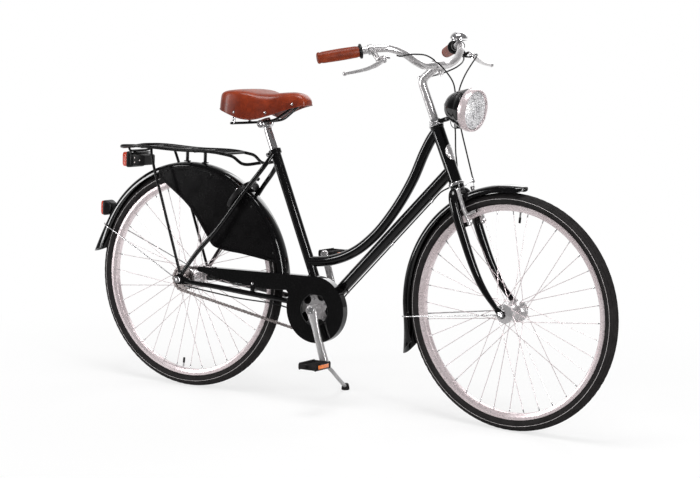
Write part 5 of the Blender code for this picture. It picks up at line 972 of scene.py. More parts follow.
def rack():
    high = RACK_HEIGHT
    half = RACK_HALF_WIDTH
    stay = Vector(seatstay_path(LEFT)[4][:3])
    foot = stay + Vector((-0.0165, 0.0070, 0.0010))
    left = [
        foot,
        (-0.350, half - 0.006, high - 0.030),
        (-0.382, half - 0.001, high - 0.010),
        (RACK_FRONT_X, half, high - 0.004),
        (-0.600, half, high),
        (-0.800, half, high + 0.003),
        (-0.822, half - 0.006, high + 0.001),
        (-0.834, half - 0.018, high - 0.002),
        (RACK_REAR_X, half - 0.034, high - 0.004),
    ]
    left = smooth(left, 6)
    shapes = [tube(left + [mirrored(point) for point in reversed(left)], RACK_RADIUS, "satin", 18)]
    for x in (RACK_FRONT_X - 0.004, -0.530, -0.600, -0.740):
        z = high - 0.0035 + 0.006 * (RACK_FRONT_X - x) / 0.4
        shapes.append(tube([Vector((x, -half, z)), Vector((x, half, z))], RACK_BAR_RADIUS, "satin", 14))
    for y in (-0.022, 0.022):
        ends = [Vector((RACK_FRONT_X - 0.004, y, high - 0.0030)), Vector((-0.740, y, high + 0.0010))]
        shapes.append(tube(ends, RACK_BAR_RADIUS, "satin", 14))
    drop = high - 0.0135
    shelf = [
        (LIGHT_X, half - 0.001, high + 0.002), (LIGHT_X, half - 0.010, drop + 0.002), (LIGHT_X, half - 0.024, drop)
    ]
    shelf = smooth(shelf, 5)
    shapes.append(tube(shelf + [mirrored(point) for point in reversed(shelf)], RACK_BAR_RADIUS, "satin", 14))
    eye = REAR_HUB + EAR_RISE
    out = REAR_FRAME_SPACE + DROPOUT_THICKNESS + GAP
    for side in (RIGHT, LEFT):
        leg = [
            on_side(side, -0.700, half, high - 0.001),
            on_side(side, -0.696, half + 0.004, high - 0.016),
            on_side(side, -0.690, half + 0.0066, high - 0.034),
            on_side(side, -0.645, half + 0.0115, 0.600),
            on_side(side, eye.x, out + 0.0050, eye.z),
        ]
        shapes.append(tube(smooth(leg, 5), 0.0045, "satin", 16))
        shapes.append(disc(eye, Y_AXIS * side, 0.0078, out, out + 0.0050, "satin", 28, 0.0006))
        shapes += bolt(eye + Y_AXIS * (side * (out + 0.0050)), Y_AXIS * side, 0.0048, 0.0030)
    for x in (-0.600, -0.530):
        crown = REAR_HUB.z + math.sqrt((FENDER_RADIUS + GAP) ** 2 - (x - REAR_HUB.x) ** 2)
        shapes.append(block(
            Vector((x, 0.0, (crown + high - 0.002) / 2)), (0.009, 0.007, high - 0.002 - crown), "satin", 0.001
        ))
        shapes.append(block(Vector((x, 0.0, crown + 0.0020)), (0.018, 0.014, 0.0036), "satin", 0.0008))
    piece("rear_rack", shapes)


def rounded(x, centre, half_y, half_z, radius):
    """A rectangle with round corners, across the direction of travel."""
    ring = []
    for corner_y, corner_z, first in ((1, 1, 0.0), (-1, 1, 90.0), (-1, -1, 180.0), (1, -1, 270.0)):
        for k in range(6):
            angle = math.radians(first + 18.0 * k)
            y = corner_y * (half_y - radius) + radius * math.cos(angle)
            z = corner_z * (half_z - radius) + radius * math.sin(angle)
            ring.append(Vector((x, centre.y + y, centre.z + z)))
    return ring


def cased(start, centre, sections, finish):
    """A run of rounded rectangles, each as (x from the start, half width, half height, corner radius)."""
    return loft([rounded(start + x, centre, y, z, r) for x, y, z, r in sections], finish, sharp=40.0)


def rear_light():
    """A ribbed red lens on a thin housing, and the narrower box that holds it under the rack."""
    top = RACK_HEIGHT - 0.0135 - RACK_BAR_RADIUS + 0.0004
    tall = 0.052
    middle = Vector((LIGHT_X, 0.0, top - tall / 2))
    back = middle.x - 0.0425

    lens = [
        (0.0, 0.0340, 0.0185, 0.008), (0.0012, 0.0370, 0.0215, 0.009), (0.0040, 0.0392, 0.0237, 0.009),
        (0.0205, 0.0405, 0.0245, 0.008)
    ]
    house = [
        (0.0200, 0.0408, 0.0248, 0.008), (0.0208, 0.0420, 0.0260, 0.008), (0.0270, 0.0420, 0.0260, 0.008),
        (0.0330, 0.0400, 0.0245, 0.007), (0.0365, 0.0350, 0.0215, 0.006)
    ]
    box = [
        (0.0350, 0.0330, 0.0200, 0.005), (0.0600, 0.0320, 0.0195, 0.005), (0.0815, 0.0290, 0.0170, 0.005),
        (0.0840, 0.0270, 0.0150, 0.004)
    ]
    shapes = [
        cased(back, middle, form, finish) for form, finish in ((lens, "red"), (house, "plastic"), (box, "plastic"))
    ]
    for x in (-0.0120, -0.0020):
        shapes.append(block(Vector((LIGHT_X + x, 0.0, middle.z + 0.0215)), (0.0050, 0.060, 0.0090), "plastic", 0.0015))
    shapes.append(block(Vector((LIGHT_X, 0.0, top - 0.0030)), (0.034, 0.066, 0.0060), "paint", 0.0015))
    for side in (RIGHT, LEFT):
        for x, z in ((0.006, 0.006), (0.006, -0.008), (0.026, -0.001)):
            at = Vector((LIGHT_X + x, side * 0.0312, middle.z + z))
            shapes += bolt(at, Y_AXIS * side, 0.0026, 0.0028, "steel")
    for y in (-0.020, 0.020):
        shapes += bolt(Vector((LIGHT_X, y, top - 0.0012)), Z_AXIS, 0.0035, 0.0022)
    piece("rear_light", shapes)


def rear_reflector():
    """A squarish black housing with a red prism face, on a foot shaped to the fender's crown."""
    foot_at = polar(REAR_HUB, FENDER_RADIUS, REFLECTOR_ANGLE)
    centre = polar(REAR_HUB, FENDER_RADIUS + 0.020, REFLECTOR_ANGLE) + X_AXIS * 0.012
    housing = [
        (0.0040, 0.0130, 0.0130, 0.006), (0.0010, 0.0180, 0.0180, 0.007), (-0.0100, 0.0235, 0.0225, 0.008),
        (-0.0160, 0.0255, 0.0242, 0.008), (-0.0215, 0.0258, 0.0245, 0.008), (-0.0225, 0.0252, 0.0240, 0.008)
    ]
    lens = [
        (-0.0220, 0.0246, 0.0234, 0.008), (-0.0290, 0.0244, 0.0232, 0.008), (-0.0315, 0.0225, 0.0212, 0.008),
        (-0.0322, 0.0150, 0.0140, 0.006)
    ]
    shapes = [cased(centre.x, centre, housing, "plastic"), cased(centre.x, centre, lens, "red")]
    foot = block(foot_at - X_AXIS * 0.002, (0.030, 0.016, 0.022), "plastic", 0.002)
    shapes.append(carve(foot, rod(REAR_HUB, Y_AXIS, FENDER_RADIUS + GAP, 0.05, 96)))
    piece("rear_reflector", shapes)


def guard_outline(steps):
    points = [REAR_HUB + Vector((0.062, 0.0, 0.0330)), REAR_HUB + Vector((0.066, 0.0, 0.0460))]
    for k in range(steps + 1):
        points.append(polar(BOTTOM, GUARD_ROUND, 96.0 - 298.0 * k / steps))
    points.append(polar(BOTTOM, GUARD_ROUND + 0.006, 155.0) + Vector((-0.007, 0.0, 0.005)))
    points.append(REAR_HUB + Vector((0.330, 0.0, -0.0025)))
    points.append(REAR_HUB + Vector((0.153, 0.0, 0.0120)))
    return points


def chain_guard():
    steps = 84
    outline = guard_outline(steps)
    face_at = Y_AXIS * -GUARD_OUTER
    chamfered = []
    for i, point in enumerate(outline):
        along = (outline[(i + 1) % len(outline)] - outline[i - 1]).normalized()
        chamfered.append(point + Vector((along.z, 0.0, -along.x)) * 0.0006)
    rings = [
        [point + face_at + Y_AXIS * 0.0012 for point in outline],
        [point + face_at + Y_AXIS * 0.0005 for point in outline],
        [point + face_at for point in chamfered],
    ]
    face = carve(loft(rings, "paint"), rod(BOTTOM, Y_AXIS, GUARD_HOLE, 0.1, 72))
    wall_points = outline[1 : 3 + steps * 3 // 4]
    rings = []
    for i, point in enumerate(wall_points):
        before = wall_points[max(i - 1, 0)]
        after = wall_points[min(i + 1, len(wall_points) - 1)]
        along = (after - before).normalized()
        inward = Vector((along.z, 0.0, -along.x))
        edge = point + face_at + Y_AXIS * 0.0004
        section = ((0.0, 0.0), (0.0, 0.0250), (0.0006, 0.0256), (0.0012, 0.0250), (0.0012, 0.0))
        rings.append([edge + inward * inset + Y_AXIS * deep for inset, deep in section])
    lip = [
        (GUARD_HOLE - 0.0014, -0.0004), (GUARD_HOLE + 0.0026, 0.0), (GUARD_HOLE + 0.0020, 0.0014), (GUARD_HOLE, 0.0026),
        (GUARD_HOLE - 0.0016, 0.0014)
    ]
    shapes = [
        face, loft(rings, "paint"),
        turned(lip, BOTTOM - Y_AXIS * (GUARD_OUTER - 0.0010), -Y_AXIS, "paint", 96, ring=True)
    ]
    stay = Vector(chainstay_path(RIGHT)[3][:3])
    reach = -GUARD_OUTER - stay.y - 0.012
    shelf_z = stay.z + CHAINSTAY_RADIUS + 0.0020
    shapes.append(block(
        Vector((stay.x, stay.y + 0.012 + reach / 2, shelf_z)), (0.016, -reach, 0.0020), "paint", 0.0006
    ))
    high = REAR_HUB.z + 0.022
    middle = Vector((stay.x, -GUARD_OUTER + 0.0022, (high + shelf_z) / 2))
    shapes.append(block(middle, (0.016, 0.0020, high - shelf_z), "paint", 0.0006))
    screw = REAR_HUB + Vector((0.275, -GUARD_OUTER, 0.010))
    shapes.append(turned(
        [(0.0042, 0.0), (0.0040, 0.0008), (0.0026, 0.0017), (0.0008, 0.0020)], screw, -Y_AXIS, "chrome", 20
    ))
    piece("chain_guard", shapes)


# Ring lock

LOCK_INNER = 0.0450
LOCK_OUTER = 0.0620
LOCK_HALF = 0.0085
LOCK_SWEEP = 127.0
LOCK_REACH = 0.335


def lock_frame():
    """The lock's centre, its axis along the stays, and the way out from the wheel."""
    low = Vector(seatstay_path(LEFT)[2][:3])
    high = Vector(seatstay_path(LEFT)[3][:3])
    outward = Vector((high.x - low.x, 0.0, high.z - low.z)).normalized()
    along = Y_AXIS.cross(outward)
    foot = Vector((low.x, 0.0, low.z))
    reach = LOCK_REACH - (foot - REAR_HUB).dot(outward)
    return foot + outward * reach - along * (LOCK_HALF + STAY_RADIUS - 0.0002), along, outward


def lock_point(radius, degrees, by=0.0):
    """A point of the lock: 0 is outward from the wheel, and 90 is to the left."""
    centre, along, outward = lock_frame()
    angle = math.radians(degrees)
    return centre + outward * (radius * math.cos(angle)) + Y_AXIS * (radius * math.sin(angle)) + along * by


def lock_arc(section, start, stop, steps, finish):
    rings = []
    for k in range(steps + 1):
        degrees = start + (stop - start) * k / steps
        rings.append([lock_point(radius, degrees, by) for radius, by in section])
    return loft(rings, finish)


def round_section(radius, size, sides):
    angles = [math.tau * k / sides for k in range(sides)]
    return [(radius + size * math.cos(angle), size * math.sin(angle)) for angle in angles]


def ring_lock():
    section = []
    for corner_radius, corner_by, first in (
        (LOCK_OUTER - 0.004, LOCK_HALF - 0.004, 0.0),
        (LOCK_INNER + 0.002, LOCK_HALF - 0.002, 90.0),
        (LOCK_INNER + 0.002, -LOCK_HALF + 0.002, 180.0),
        (LOCK_OUTER - 0.004, -LOCK_HALF + 0.004, 270.0),
    ):
        size = 0.004 if first in (0.0, 270.0) else 0.002
        for k in range(5):
            angle = math.radians(first + 22.5 * k)
            section.append((corner_radius + size * math.cos(angle), corner_by + size * math.sin(angle)))
    case = lock_arc(section, -LOCK_SWEEP, LOCK_SWEEP, 72, "plastic")
    inner = BOLT_RADIUS + 0.003
    outer = LOCK_OUTER + 0.01
    gate = [(inner, -0.0024), (outer, -0.0024), (outer, 0.0024), (inner, 0.0024)]
    case = carve(
        case,
        lock_arc(round_section(BOLT_RADIUS, 0.0050, 16), 5.0, 132.0, 40, "plastic"),
        lock_arc(round_section(BOLT_RADIUS, 0.0050, 16), -132.0, -117.0, 6, "plastic"),
        lock_arc(gate, 7.5, 125.0, 36, "plastic"),
    )
    _, along, outward = lock_frame()
    barrel_at = lock_point(BOLT_RADIUS, -62.0, -LOCK_HALF)
    barrel = turned(
        [(0.0072, -0.001), (0.0072, 0.0012), (0.0062, 0.0020), (0.0030, 0.0020)], barrel_at, -along, "chrome", 32
    )
    turn = Matrix((outward, Y_AXIS, along)).transposed()
    slit = block(barrel_at - along * 0.0021, (0.0060, 0.0012, 0.0008), "plastic", 0.0002, turn)
    shapes = [case, barrel, slit]
    for degrees in (-100.0, 100.0):
        shapes += bolt(lock_point(BOLT_RADIUS, degrees, -LOCK_HALF), -along, 0.0034, 0.0018)
    piece("ring_lock", shapes)

    bolt_arc = lock_arc(round_section(BOLT_RADIUS, 0.0038, 16), 8.0, 126.0, 48, "chrome")
    root = lock_point(BOLT_RADIUS + 0.001, 11.0)
    end = lock_point(LOCK_OUTER + 0.010, 11.0)
    out = (end - root).normalized()
    knob = [(0.0045, 0.0), (0.0058, 0.0008), (0.0062, 0.002), (0.0062, 0.009), (0.0056, 0.0104), (0.0040, 0.011)]
    knob = turned(knob, end - out * 0.002, out, "plastic", 28)
    piece("ring_lock_bolt", [bolt_arc, tube([root, end], 0.0018, "chrome", 14), knob], "ring_lock_bolt")


# Drive

def drive_angle():
    ahead = BOTTOM - REAR_HUB
    return math.degrees(math.atan2(ahead.z, ahead.x))


def chain_rollers():
    """Roller centres once round."""
    step = 360.0 / RING_TEETH
    back_step = 360.0 / SPROCKET_TEETH
    base = drive_angle()
    wrap = math.degrees(math.asin((RING_RADIUS - SPROCKET_RADIUS) / CENTRES_APART))
    count = round((180.0 + 2 * wrap) / step)
    back_count = round((180.0 - 2 * wrap) / back_step)
    front = [polar(BOTTOM, RING_RADIUS, base + step * (count / 2 - k)) for k in range(count + 1)]
    back = [
        polar(REAR_HUB, SPROCKET_RADIUS, base + 180.0 + back_step * (back_count / 2 - k)) for k in range(back_count + 1)
    ]
    lower = [front[-1].lerp(back[0], k / RUN_LINKS) for k in range(1, RUN_LINKS)]
    upper = [back[-1].lerp(front[0], k / RUN_LINKS) for k in range(1, RUN_LINKS)]
    return front + lower + back + upper


def link_plate(bm, a, b, near, far):
    """One side plate with its waist, between two y places."""
    along = (b - a).normalized()
    up = Y_AXIS.cross(along)
    outline = []
    for centre, first, waist in ((b, -112.0, 0.0029), (a, 68.0, -0.0029)):
        for k in range(9):
            angle = math.radians(first + 224.0 * k / 8)
            outline.append(centre + (along * math.cos(angle) + up * math.sin(angle)) * 0.0042)
        outline.append(a.lerp(b, 0.5) + up * waist)
    skin(bm, [[point + Y_AXIS * (y - CHAIN_LINE) for point in outline] for y in (near, far)])


def pin(bm, at, radius, half, sides):
    angles = [math.tau * k / sides for k in range(sides)]
    rings = []
    for y in (-half, half):
        rings.append([
            at + Vector((radius * math.cos(angle), y - CHAIN_LINE, radius * math.sin(angle))) for angle in angles
        ])
    skin(bm, rings)


def chain():
    bm = bmesh.new()
    rollers = chain_rollers()
    for i, place in enumerate(rollers):
        following = rollers[(i + 1) % len(rollers)]
        near, far = (0.0034, 0.0045) if i % 2 else (0.0022, 0.0033)
        link_plate(bm, place, following, near, far)
        link_plate(bm, place, following, -far, -near)
        pin(bm, place, 0.0036, 0.0021, 14)
        pin(bm, place, 0.0017, 0.0050, 10)
    piece("chain", [solid(bm, "steel")])


TOOTH_STEPS = 20


def toothed(centre, radius, teeth, base, finish):
    """A toothed plate whose tooth spaces fit the chain's rollers."""
    outline = []
    for k in range(teeth * TOOTH_STEPS):
        u = (k % TOOTH_STEPS) / TOOTH_STEPS - 0.5
        x = min(1.0, max(0.0, (0.33 - abs(u)) / 0.28))
        rise = x * x * (3 - 2 * x)
        angle = base + 360.0 * (k // TOOTH_STEPS + u) / teeth
        outline.append(polar(centre, radius - 0.0039 + 0.0069 * rise, angle, -CHAIN_LINE - 0.0013))
    return prism(outline, Y_AXIS * 0.0026, finish)


def sprocket():
    plate = toothed(REAR_HUB, SPROCKET_RADIUS, SPROCKET_TEETH, drive_angle() + 180.0, "steel")
    plate = carve(plate, rod(REAR_HUB, Y_AXIS, HUB_BORE, 0.1))
    outer = -CHAIN_LINE - 0.0060
    inner = -REAR_HUB_HALF - 0.0012
    profile = [(HUB_BORE, outer), (0.0168, outer), (0.0175, -CHAIN_LINE - 0.0052), (0.0175, inner), (HUB_BORE, inner)]
    driver = turned(profile, REAR_HUB, Y_AXIS, "steel", 48, ring=True)
    piece("rear_sprocket", [plate, driver], "rear_sprocket")


def crank_end(side):
    angle = math.radians(CRANK_BACK)
    down = Vector((math.sin(angle), 0.0, -math.cos(angle))) * CRANK_LENGTH
    return BOTTOM + (down if side == RIGHT else -down)


def crank_arm(side):
    """A forged arm of rounded section, with the pedal's axle and its flats."""
    end = crank_end(side)
    inner = CRANK_INNER + 0.002
    along = (end - BOTTOM).normalized()
    across = Y_AXIS.cross(along)
    stations = [
        (-0.0165, 0.0030, 0.0060, 0.002),
        (-0.0150, 0.0085, 0.0095, 0.001),
        (-0.0100, 0.0138, 0.0115, 0.000),
        (0.0060, 0.0165, CRANK_THICKNESS, 0.000),
        (0.0400, 0.0125, CRANK_THICKNESS, 0.003),
        (0.1000, 0.0112, CRANK_THICKNESS, 0.008),
        (CRANK_LENGTH - 0.010, 0.0122, CRANK_THICKNESS, 0.0110),
        (CRANK_LENGTH + 0.002, 0.0122, CRANK_THICKNESS, 0.0110),
        (CRANK_LENGTH + 0.0085, 0.0095, CRANK_THICKNESS - 0.001, 0.0112),
        (CRANK_LENGTH + 0.0120, 0.0040, CRANK_THICKNESS - 0.004, 0.0125),
    ]
    rings = []
    for reach, width, thick, out in smooth(stations, 5):
        ring = []
        for k in range(28):
            angle = math.tau * k / 28
            x = squared(math.cos(angle), 0.55) * width
            y = squared(math.sin(angle), 0.55) * thick / 2 + inner + out + thick / 2
            ring.append(BOTTOM + along * reach + across * x + Y_AXIS * (side * y))
        rings.append(ring)
    axle_end = PEDAL_INNER + PEDAL_LENGTH - 0.012
    flats = [(0.0075, CRANK_INNER + 0.0250), (0.0075, CRANK_INNER + 0.0280), (0.0042, CRANK_INNER + 0.0285)]
    return [
        loft(rings, "polished"),
        disc(end, Y_AXIS * side, 0.0042, CRANK_INNER + 0.014, axle_end, "chrome", 24),
        turned(flats, end, Y_AXIS * side, "chrome", 6),
    ]


def boss_cap(side):
    out = CRANK_INNER + 0.0145
    profile = [
        (0.0118, out - 0.004), (0.0118, out + 0.0018), (0.0105, out + 0.0030), (0.0060, out + 0.0030),
        (0.0055, out + 0.0018)
    ]
    return turned(profile, BOTTOM, Y_AXIS * side, "chrome", 40)


def crank_right():
    bore = 0.0088
    profile = [
        (bore, 0.0690), (0.0150, CRANK_INNER + 0.0145), (0.0166, CRANK_INNER + 0.0135), (0.0172, CRANK_INNER + 0.0120),
        (0.0162, CRANK_INNER - 0.002), (0.0172, CHAIN_LINE + 0.014), (0.0195, CHAIN_LINE + 0.006),
        (0.0195, CHAIN_LINE - 0.001), (0.0150, BOTTOM_SHELL_HALF + 0.0032), (bore, BOTTOM_SHELL_HALF + 0.0032),
    ]
    boss = turned(profile, BOTTOM, -Y_AXIS, "polished", 56, ring=True)
    ring = toothed(BOTTOM, RING_RADIUS, RING_TEETH, drive_angle(), "polished")
    windows = [rod(BOTTOM, Y_AXIS, 0.0155, 0.1)]
    for k in range(5):
        at = polar(BOTTOM, 0.0455, 72.0 * k + 90.0 - CRANK_BACK)
        windows.append(disc(at, Y_AXIS, 0.0150, -CHAIN_LINE - 0.01, -CHAIN_LINE + 0.01, "polished", 36))
    # Painted shade: a dark satin disc behind the ring's windows stands in for the shade seen through them
    shade_disc = [
        (0.0180, CHAIN_LINE - 0.0021), (0.0625, CHAIN_LINE - 0.0021), (0.0625, CHAIN_LINE - 0.0013),
        (0.0180, CHAIN_LINE - 0.0013),
    ]
    shade_disc = turned(shade_disc, BOTTOM, -Y_AXIS, "satin", 72, ring=True)
    shapes = [boss, carve(ring, *windows), shade_disc, crank_arm(RIGHT), boss_cap(RIGHT)]
    for k in range(5):
        at = polar(BOTTOM, 0.0330, 72.0 * k + 126.0 - CRANK_BACK, -CHAIN_LINE - 0.0013)
        shapes += bolt(at, -Y_AXIS, 0.0042, 0.0022)
    piece("crank_right", shapes, "crankset")


def crank_left():
    profile = [
        (0.0150, CRANK_INNER + 0.0145), (0.0166, CRANK_INNER + 0.0135), (0.0172, CRANK_INNER + 0.0120),
        (0.0160, BOTTOM_SHELL_HALF + 0.014), (0.0130, BOTTOM_SHELL_HALF + 0.0035), (0.0085, BOTTOM_SHELL_HALF + 0.0035),
        (0.0085, -CRANK_INNER),
    ]
    boss = turned(profile, BOTTOM, Y_AXIS, "polished", 56)
    piece("crank_left", [boss, crank_arm(LEFT), boss_cap(LEFT)], "crankset")


def pedal(side, word):
    """Toothed treads between two end plates, with a barrel and a reflector to each side."""
    end = crank_end(side)
    start = PEDAL_INNER
    stop = PEDAL_INNER + PEDAL_LENGTH
    half = PEDAL_WIDTH / 2
    thick = PEDAL_THICKNESS / 2
    middle = Vector((end.x, side * (start + stop) / 2, end.z))
    shapes = []
    teeth = 8
    for sign in (-1, 1):
        outline = []
        for k in range(teeth * 2 + 1):
            y = side * (start + 0.004 + (PEDAL_LENGTH - 0.008) * k / (teeth * 2))
            outline.append((y, thick - (0.0026 if k % 2 else 0.0)))
        x = middle.x + sign * (half - 0.0030)
        above = [Vector((x, y, middle.z + z)) for y, z in outline]
        below = [Vector((x, y, middle.z - z)) for y, z in reversed(outline)]
        shapes.append(prism(above + below, X_AXIS * (-sign * 0.0040), "rubber"))
        at = middle + X_AXIS * (sign * (half - 0.0022))
        shapes.append(block(at, (0.0042, 0.058, 0.0115), "amber", 0.0010))
        shapes.append(block(at - X_AXIS * (sign * 0.0010), (0.0036, 0.064, 0.0150), "plastic", 0.0012))
        rib = middle + X_AXIS * (sign * half * 0.42)
        shapes.append(block(rib, (0.0040, PEDAL_LENGTH - 0.010, 0.0120), "rubber", 0.0012))
    for y in (start + 0.0045, stop - 0.0045):
        plate = block(
            Vector((middle.x, side * y, middle.z)), (PEDAL_WIDTH - 0.004, 0.0090, PEDAL_THICKNESS * 0.80), "rubber",
            0.0035, segments=4
        )
        shapes.append(carve(plate, rod(end, Y_AXIS, PEDAL_BORE, 0.3)) if y < middle.y * side else plate)
    barrel = [
        (PEDAL_BORE, start + 0.002), (0.0088, start + 0.002), (0.0088, start + 0.016), (0.0078, start + 0.024),
        (0.0078, stop - 0.024), (0.0088, stop - 0.014), (0.0088, stop - 0.009), (PEDAL_BORE, stop - 0.009)
    ]
    shapes.append(turned(barrel, end, Y_AXIS * side, "rubber", 32, ring=True))
    cap = [(0.0085, stop - 0.0022), (0.0085, stop - 0.0006), (0.0070, stop), (0.0010, stop)]
    shapes.append(turned(cap, end, Y_AXIS * side, "plastic", 32))
    piece("pedal_" + word, shapes, "pedal_" + word)


# Wheels

TREAD_GROOVES = (9.0, 27.0, 45.0)
TREAD_EDGE = 60.0


def tread_depth(angle, k):
    """How deep the tyre is cut at an angle of its section and a place round the wheel."""
    wide = abs(angle)
    if wide > TREAD_EDGE:
        return 0.0
    for groove in TREAD_GROOVES:
        if abs(wide - groove) < 2.6:
            return 0.0016
    band = sum(1 for groove in TREAD_GROOVES if wide > groove)
    phase = (k + 2 * band + (1 if angle < 0 else 0) * 2) % 4
    return 0.0018 if band and phase == 0 else 0.0


def tyre(hub, word):
    centre = WHEEL_RADIUS - TYRE_HALF_WIDTH
    angles = [TYRE_WRAP - 2 * TYRE_WRAP * k / 58 for k in range(59)]
    beads = [
        (0.3171, -BEAD_HALF_WIDTH), (BEAD_RADIUS, -BEAD_HALF_WIDTH), (BEAD_RADIUS, BEAD_HALF_WIDTH),
        (0.3171, BEAD_HALF_WIDTH)
    ]
    rings = []
    for k in range(WHEEL_ROUND):
        round_at = 360.0 * k / WHEEL_ROUND
        ring = []
        for angle in angles:
            size = TYRE_HALF_WIDTH - tread_depth(angle, k)
            turn = math.radians(angle)
            ring.append(polar(hub, centre + size * math.cos(turn), round_at, size * math.sin(turn)))
        ring += [polar(hub, radius, round_at, y) for radius, y in beads]
        rings.append(ring)
    shapes = [loft(rings, "rubber", closed=True, sharp=40.0)]
    for side in (RIGHT, LEFT):
        band = []
        for angle, size in ((79.0, 0.0199), (79.4, 0.02014), (81.6, 0.02014), (82.0, 0.0199)):
            turn = math.radians(angle)
            band.append((side * size * math.sin(turn), centre + size * math.cos(turn)))
        rings = [[polar(hub, radius, 360.0 * k / RIM_ROUND, y) for y, radius in band] for k in range(RIM_ROUND)]
        shapes.append(loft(rings, "stripe", closed=True))
    piece(word + "_tyre", shapes, word + "_wheel")


def rim(hub, word, valve_at):
    inner = BEAD_HALF_WIDTH + GAP
    outer = inner + RIM_WALL
    floor = BEAD_RADIUS - GAP
    top = BEAD_RADIUS + RIM_EDGE_HEIGHT
    half = [
        (RIM_INNER_RADIUS, 0.0045), (RIM_INNER_RADIUS + 0.0003, 0.0080), (RIM_INNER_RADIUS + 0.0016, 0.0099),
        (0.3030, 0.0114), (0.3075, outer - 0.0008), (0.3085, outer), (top - 0.0006, outer), (top, outer - 0.0006),
        (top, inner), (floor, inner),
    ]
    profile = half + [(radius, -y) for radius, y in reversed(half)]
    rings = [[polar(hub, radius, 360.0 * k / RIM_ROUND, y) for radius, y in profile] for k in range(RIM_ROUND)]
    shapes = [loft(rings, "rim", closed=True, sharp=30.0)]
    inward = (hub - polar(hub, 1.0, valve_at)).normalized()
    root = polar(hub, RIM_INNER_RADIUS + 0.002, valve_at)
    valve = [(0.0048, 0.0), (0.0048, 0.0034), (0.0030, 0.0040), (0.0026, 0.0240)]
    cap = [(0.0034, 0.0180), (0.0036, 0.0200), (0.0036, 0.0335), (0.0028, 0.0350), (0.0010, 0.0355)]
    shapes.append(turned(valve, root, inward, "chrome", 20))
    shapes.append(turned(cap, root, inward, "plastic", 20))
    piece(word + "_rim", shapes, word + "_wheel")


SPOKE_HEAD = [(0.0010, -0.0020), (0.0019, -0.0004), (0.0017, 0.0005), (0.0006, 0.0008)]
SPOKE_NIPPLE = [(0.0026, -0.0004), (0.0026, 0.0010), (0.0018, 0.0014), (0.0017, 0.0110), (0.0012, 0.0118)]


def spokes(hub, flange_radius, flange_at):
    """Crossed spokes, each with its bent head in the flange and its nipple on the rim."""
    shapes = []
    for k in range(SPOKES):
        at = 360.0 * k / SPOKES
        side = LEFT if k % 2 else RIGHT
        out = 1 if (k // 2) % 2 else -1
        foot = polar(hub, flange_radius, at + SPOKE_SWEEP * out, flange_at[side] + 0.0015 * out)
        tip = polar(hub, RIM_INNER_RADIUS, at, side * 0.0015)
        inward = (foot - tip).normalized()
        shapes.append(tube([foot, tip], SPOKE_RADIUS, "rim", 8))
        head_at = polar(hub, flange_radius, at + SPOKE_SWEEP * out, flange_at[side] + 0.0030 * out)
        shapes.append(turned(SPOKE_HEAD, head_at, Y_AXIS * out, "chrome", 12))
        shapes.append(turned(SPOKE_NIPPLE, tip, inward, "chrome", 12))
    return shapes


def front_hub():
    bore = HUB_BORE
    h = FRONT_HUB_HALF
    profile = [
        (bore, -h), (0.0110, -h), (0.0125, -h + 0.0014), (0.0200, -0.0415), (0.0270, -0.0388), (0.0280, -0.0380),
        (0.0280, -0.0332), (0.0270, -0.0324), (0.0190, -0.0285), (0.0176, -0.0240), (0.0180, 0.0), (0.0190, 0.0180),
        (0.0240, 0.0250), (0.0330, 0.0312), (0.0340, 0.0322), (0.0340, 0.0400), (0.0330, 0.0410), (0.0200, 0.0432),
        (0.0130, h - 0.0006), (0.0120, h), (bore, h),
    ]
    body = turned(profile, FRONT_HUB, Y_AXIS, "polished", 72, ring=True)
    shapes = [body, spokes(FRONT_HUB, 0.0255, {RIGHT: -0.0355, LEFT: 0.0365})]
    piece("front_hub", shapes, "front_wheel")


def rear_hub():
    bore = HUB_BORE
    h = REAR_HUB_HALF
    profile = [
        (bore, -h), (0.0345, -h), (0.0355, -h + 0.0010), (0.0355, -h + 0.0055), (0.0345, -h + 0.0066),
        (0.0280, -h + 0.0085), (0.0258, -h + 0.0125), (0.0260, 0.0), (0.0265, 0.0200), (0.0300, 0.0235),
        (0.0345, 0.0249), (0.0355, 0.0258), (0.0355, 0.0296), (0.0345, 0.0306), (0.0320, 0.0380), (0.0285, 0.0432),
        (0.0200, 0.0458), (0.0140, 0.0470), (bore, 0.0470),
    ]
    body = turned(profile, REAR_HUB, Y_AXIS, "polished", 72, ring=True)
    shapes = [body, spokes(REAR_HUB, 0.0325, {RIGHT: -h + 0.0034, LEFT: 0.0278})]
    piece("rear_hub", shapes, "rear_wheel")


def axle(hub, space, plate, right_end, left_end, nut_radius):
    outer = space + plate + GAP + 0.0040 + GAP
    r = AXLE_RADIUS
    profile = [
        (r - 0.0008, -outer - 0.014), (r, -outer - 0.0130), (r, -space + GAP), (0.0100, -space + GAP),
        (0.0100, -right_end - 0.0008), (0.0092, -right_end), (r, -right_end), (r, left_end), (0.0092, left_end),
        (0.0100, left_end + 0.0008), (0.0100, space - GAP), (r, space - GAP), (r, outer + 0.0130),
        (r - 0.0008, outer + 0.014),
    ]
    shapes = [turned(profile, hub, Y_AXIS, "chrome", 32)]
    for side in (RIGHT, LEFT):
        shapes.append(disc(hub, Y_AXIS * side, nut_radius + 0.0010, outer, outer + 0.0012, "chrome", 32, 0.0003))
        nut = [
            (nut_radius * 0.90, outer + 0.0012), (nut_radius, outer + 0.0022), (nut_radius, outer + 0.0080),
            (nut_radius * 0.88, outer + 0.0090)
        ]
        shapes.append(turned(nut, hub, Y_AXIS * side, "chrome", 6, sharp=20.0))
    return shapes


# Steering

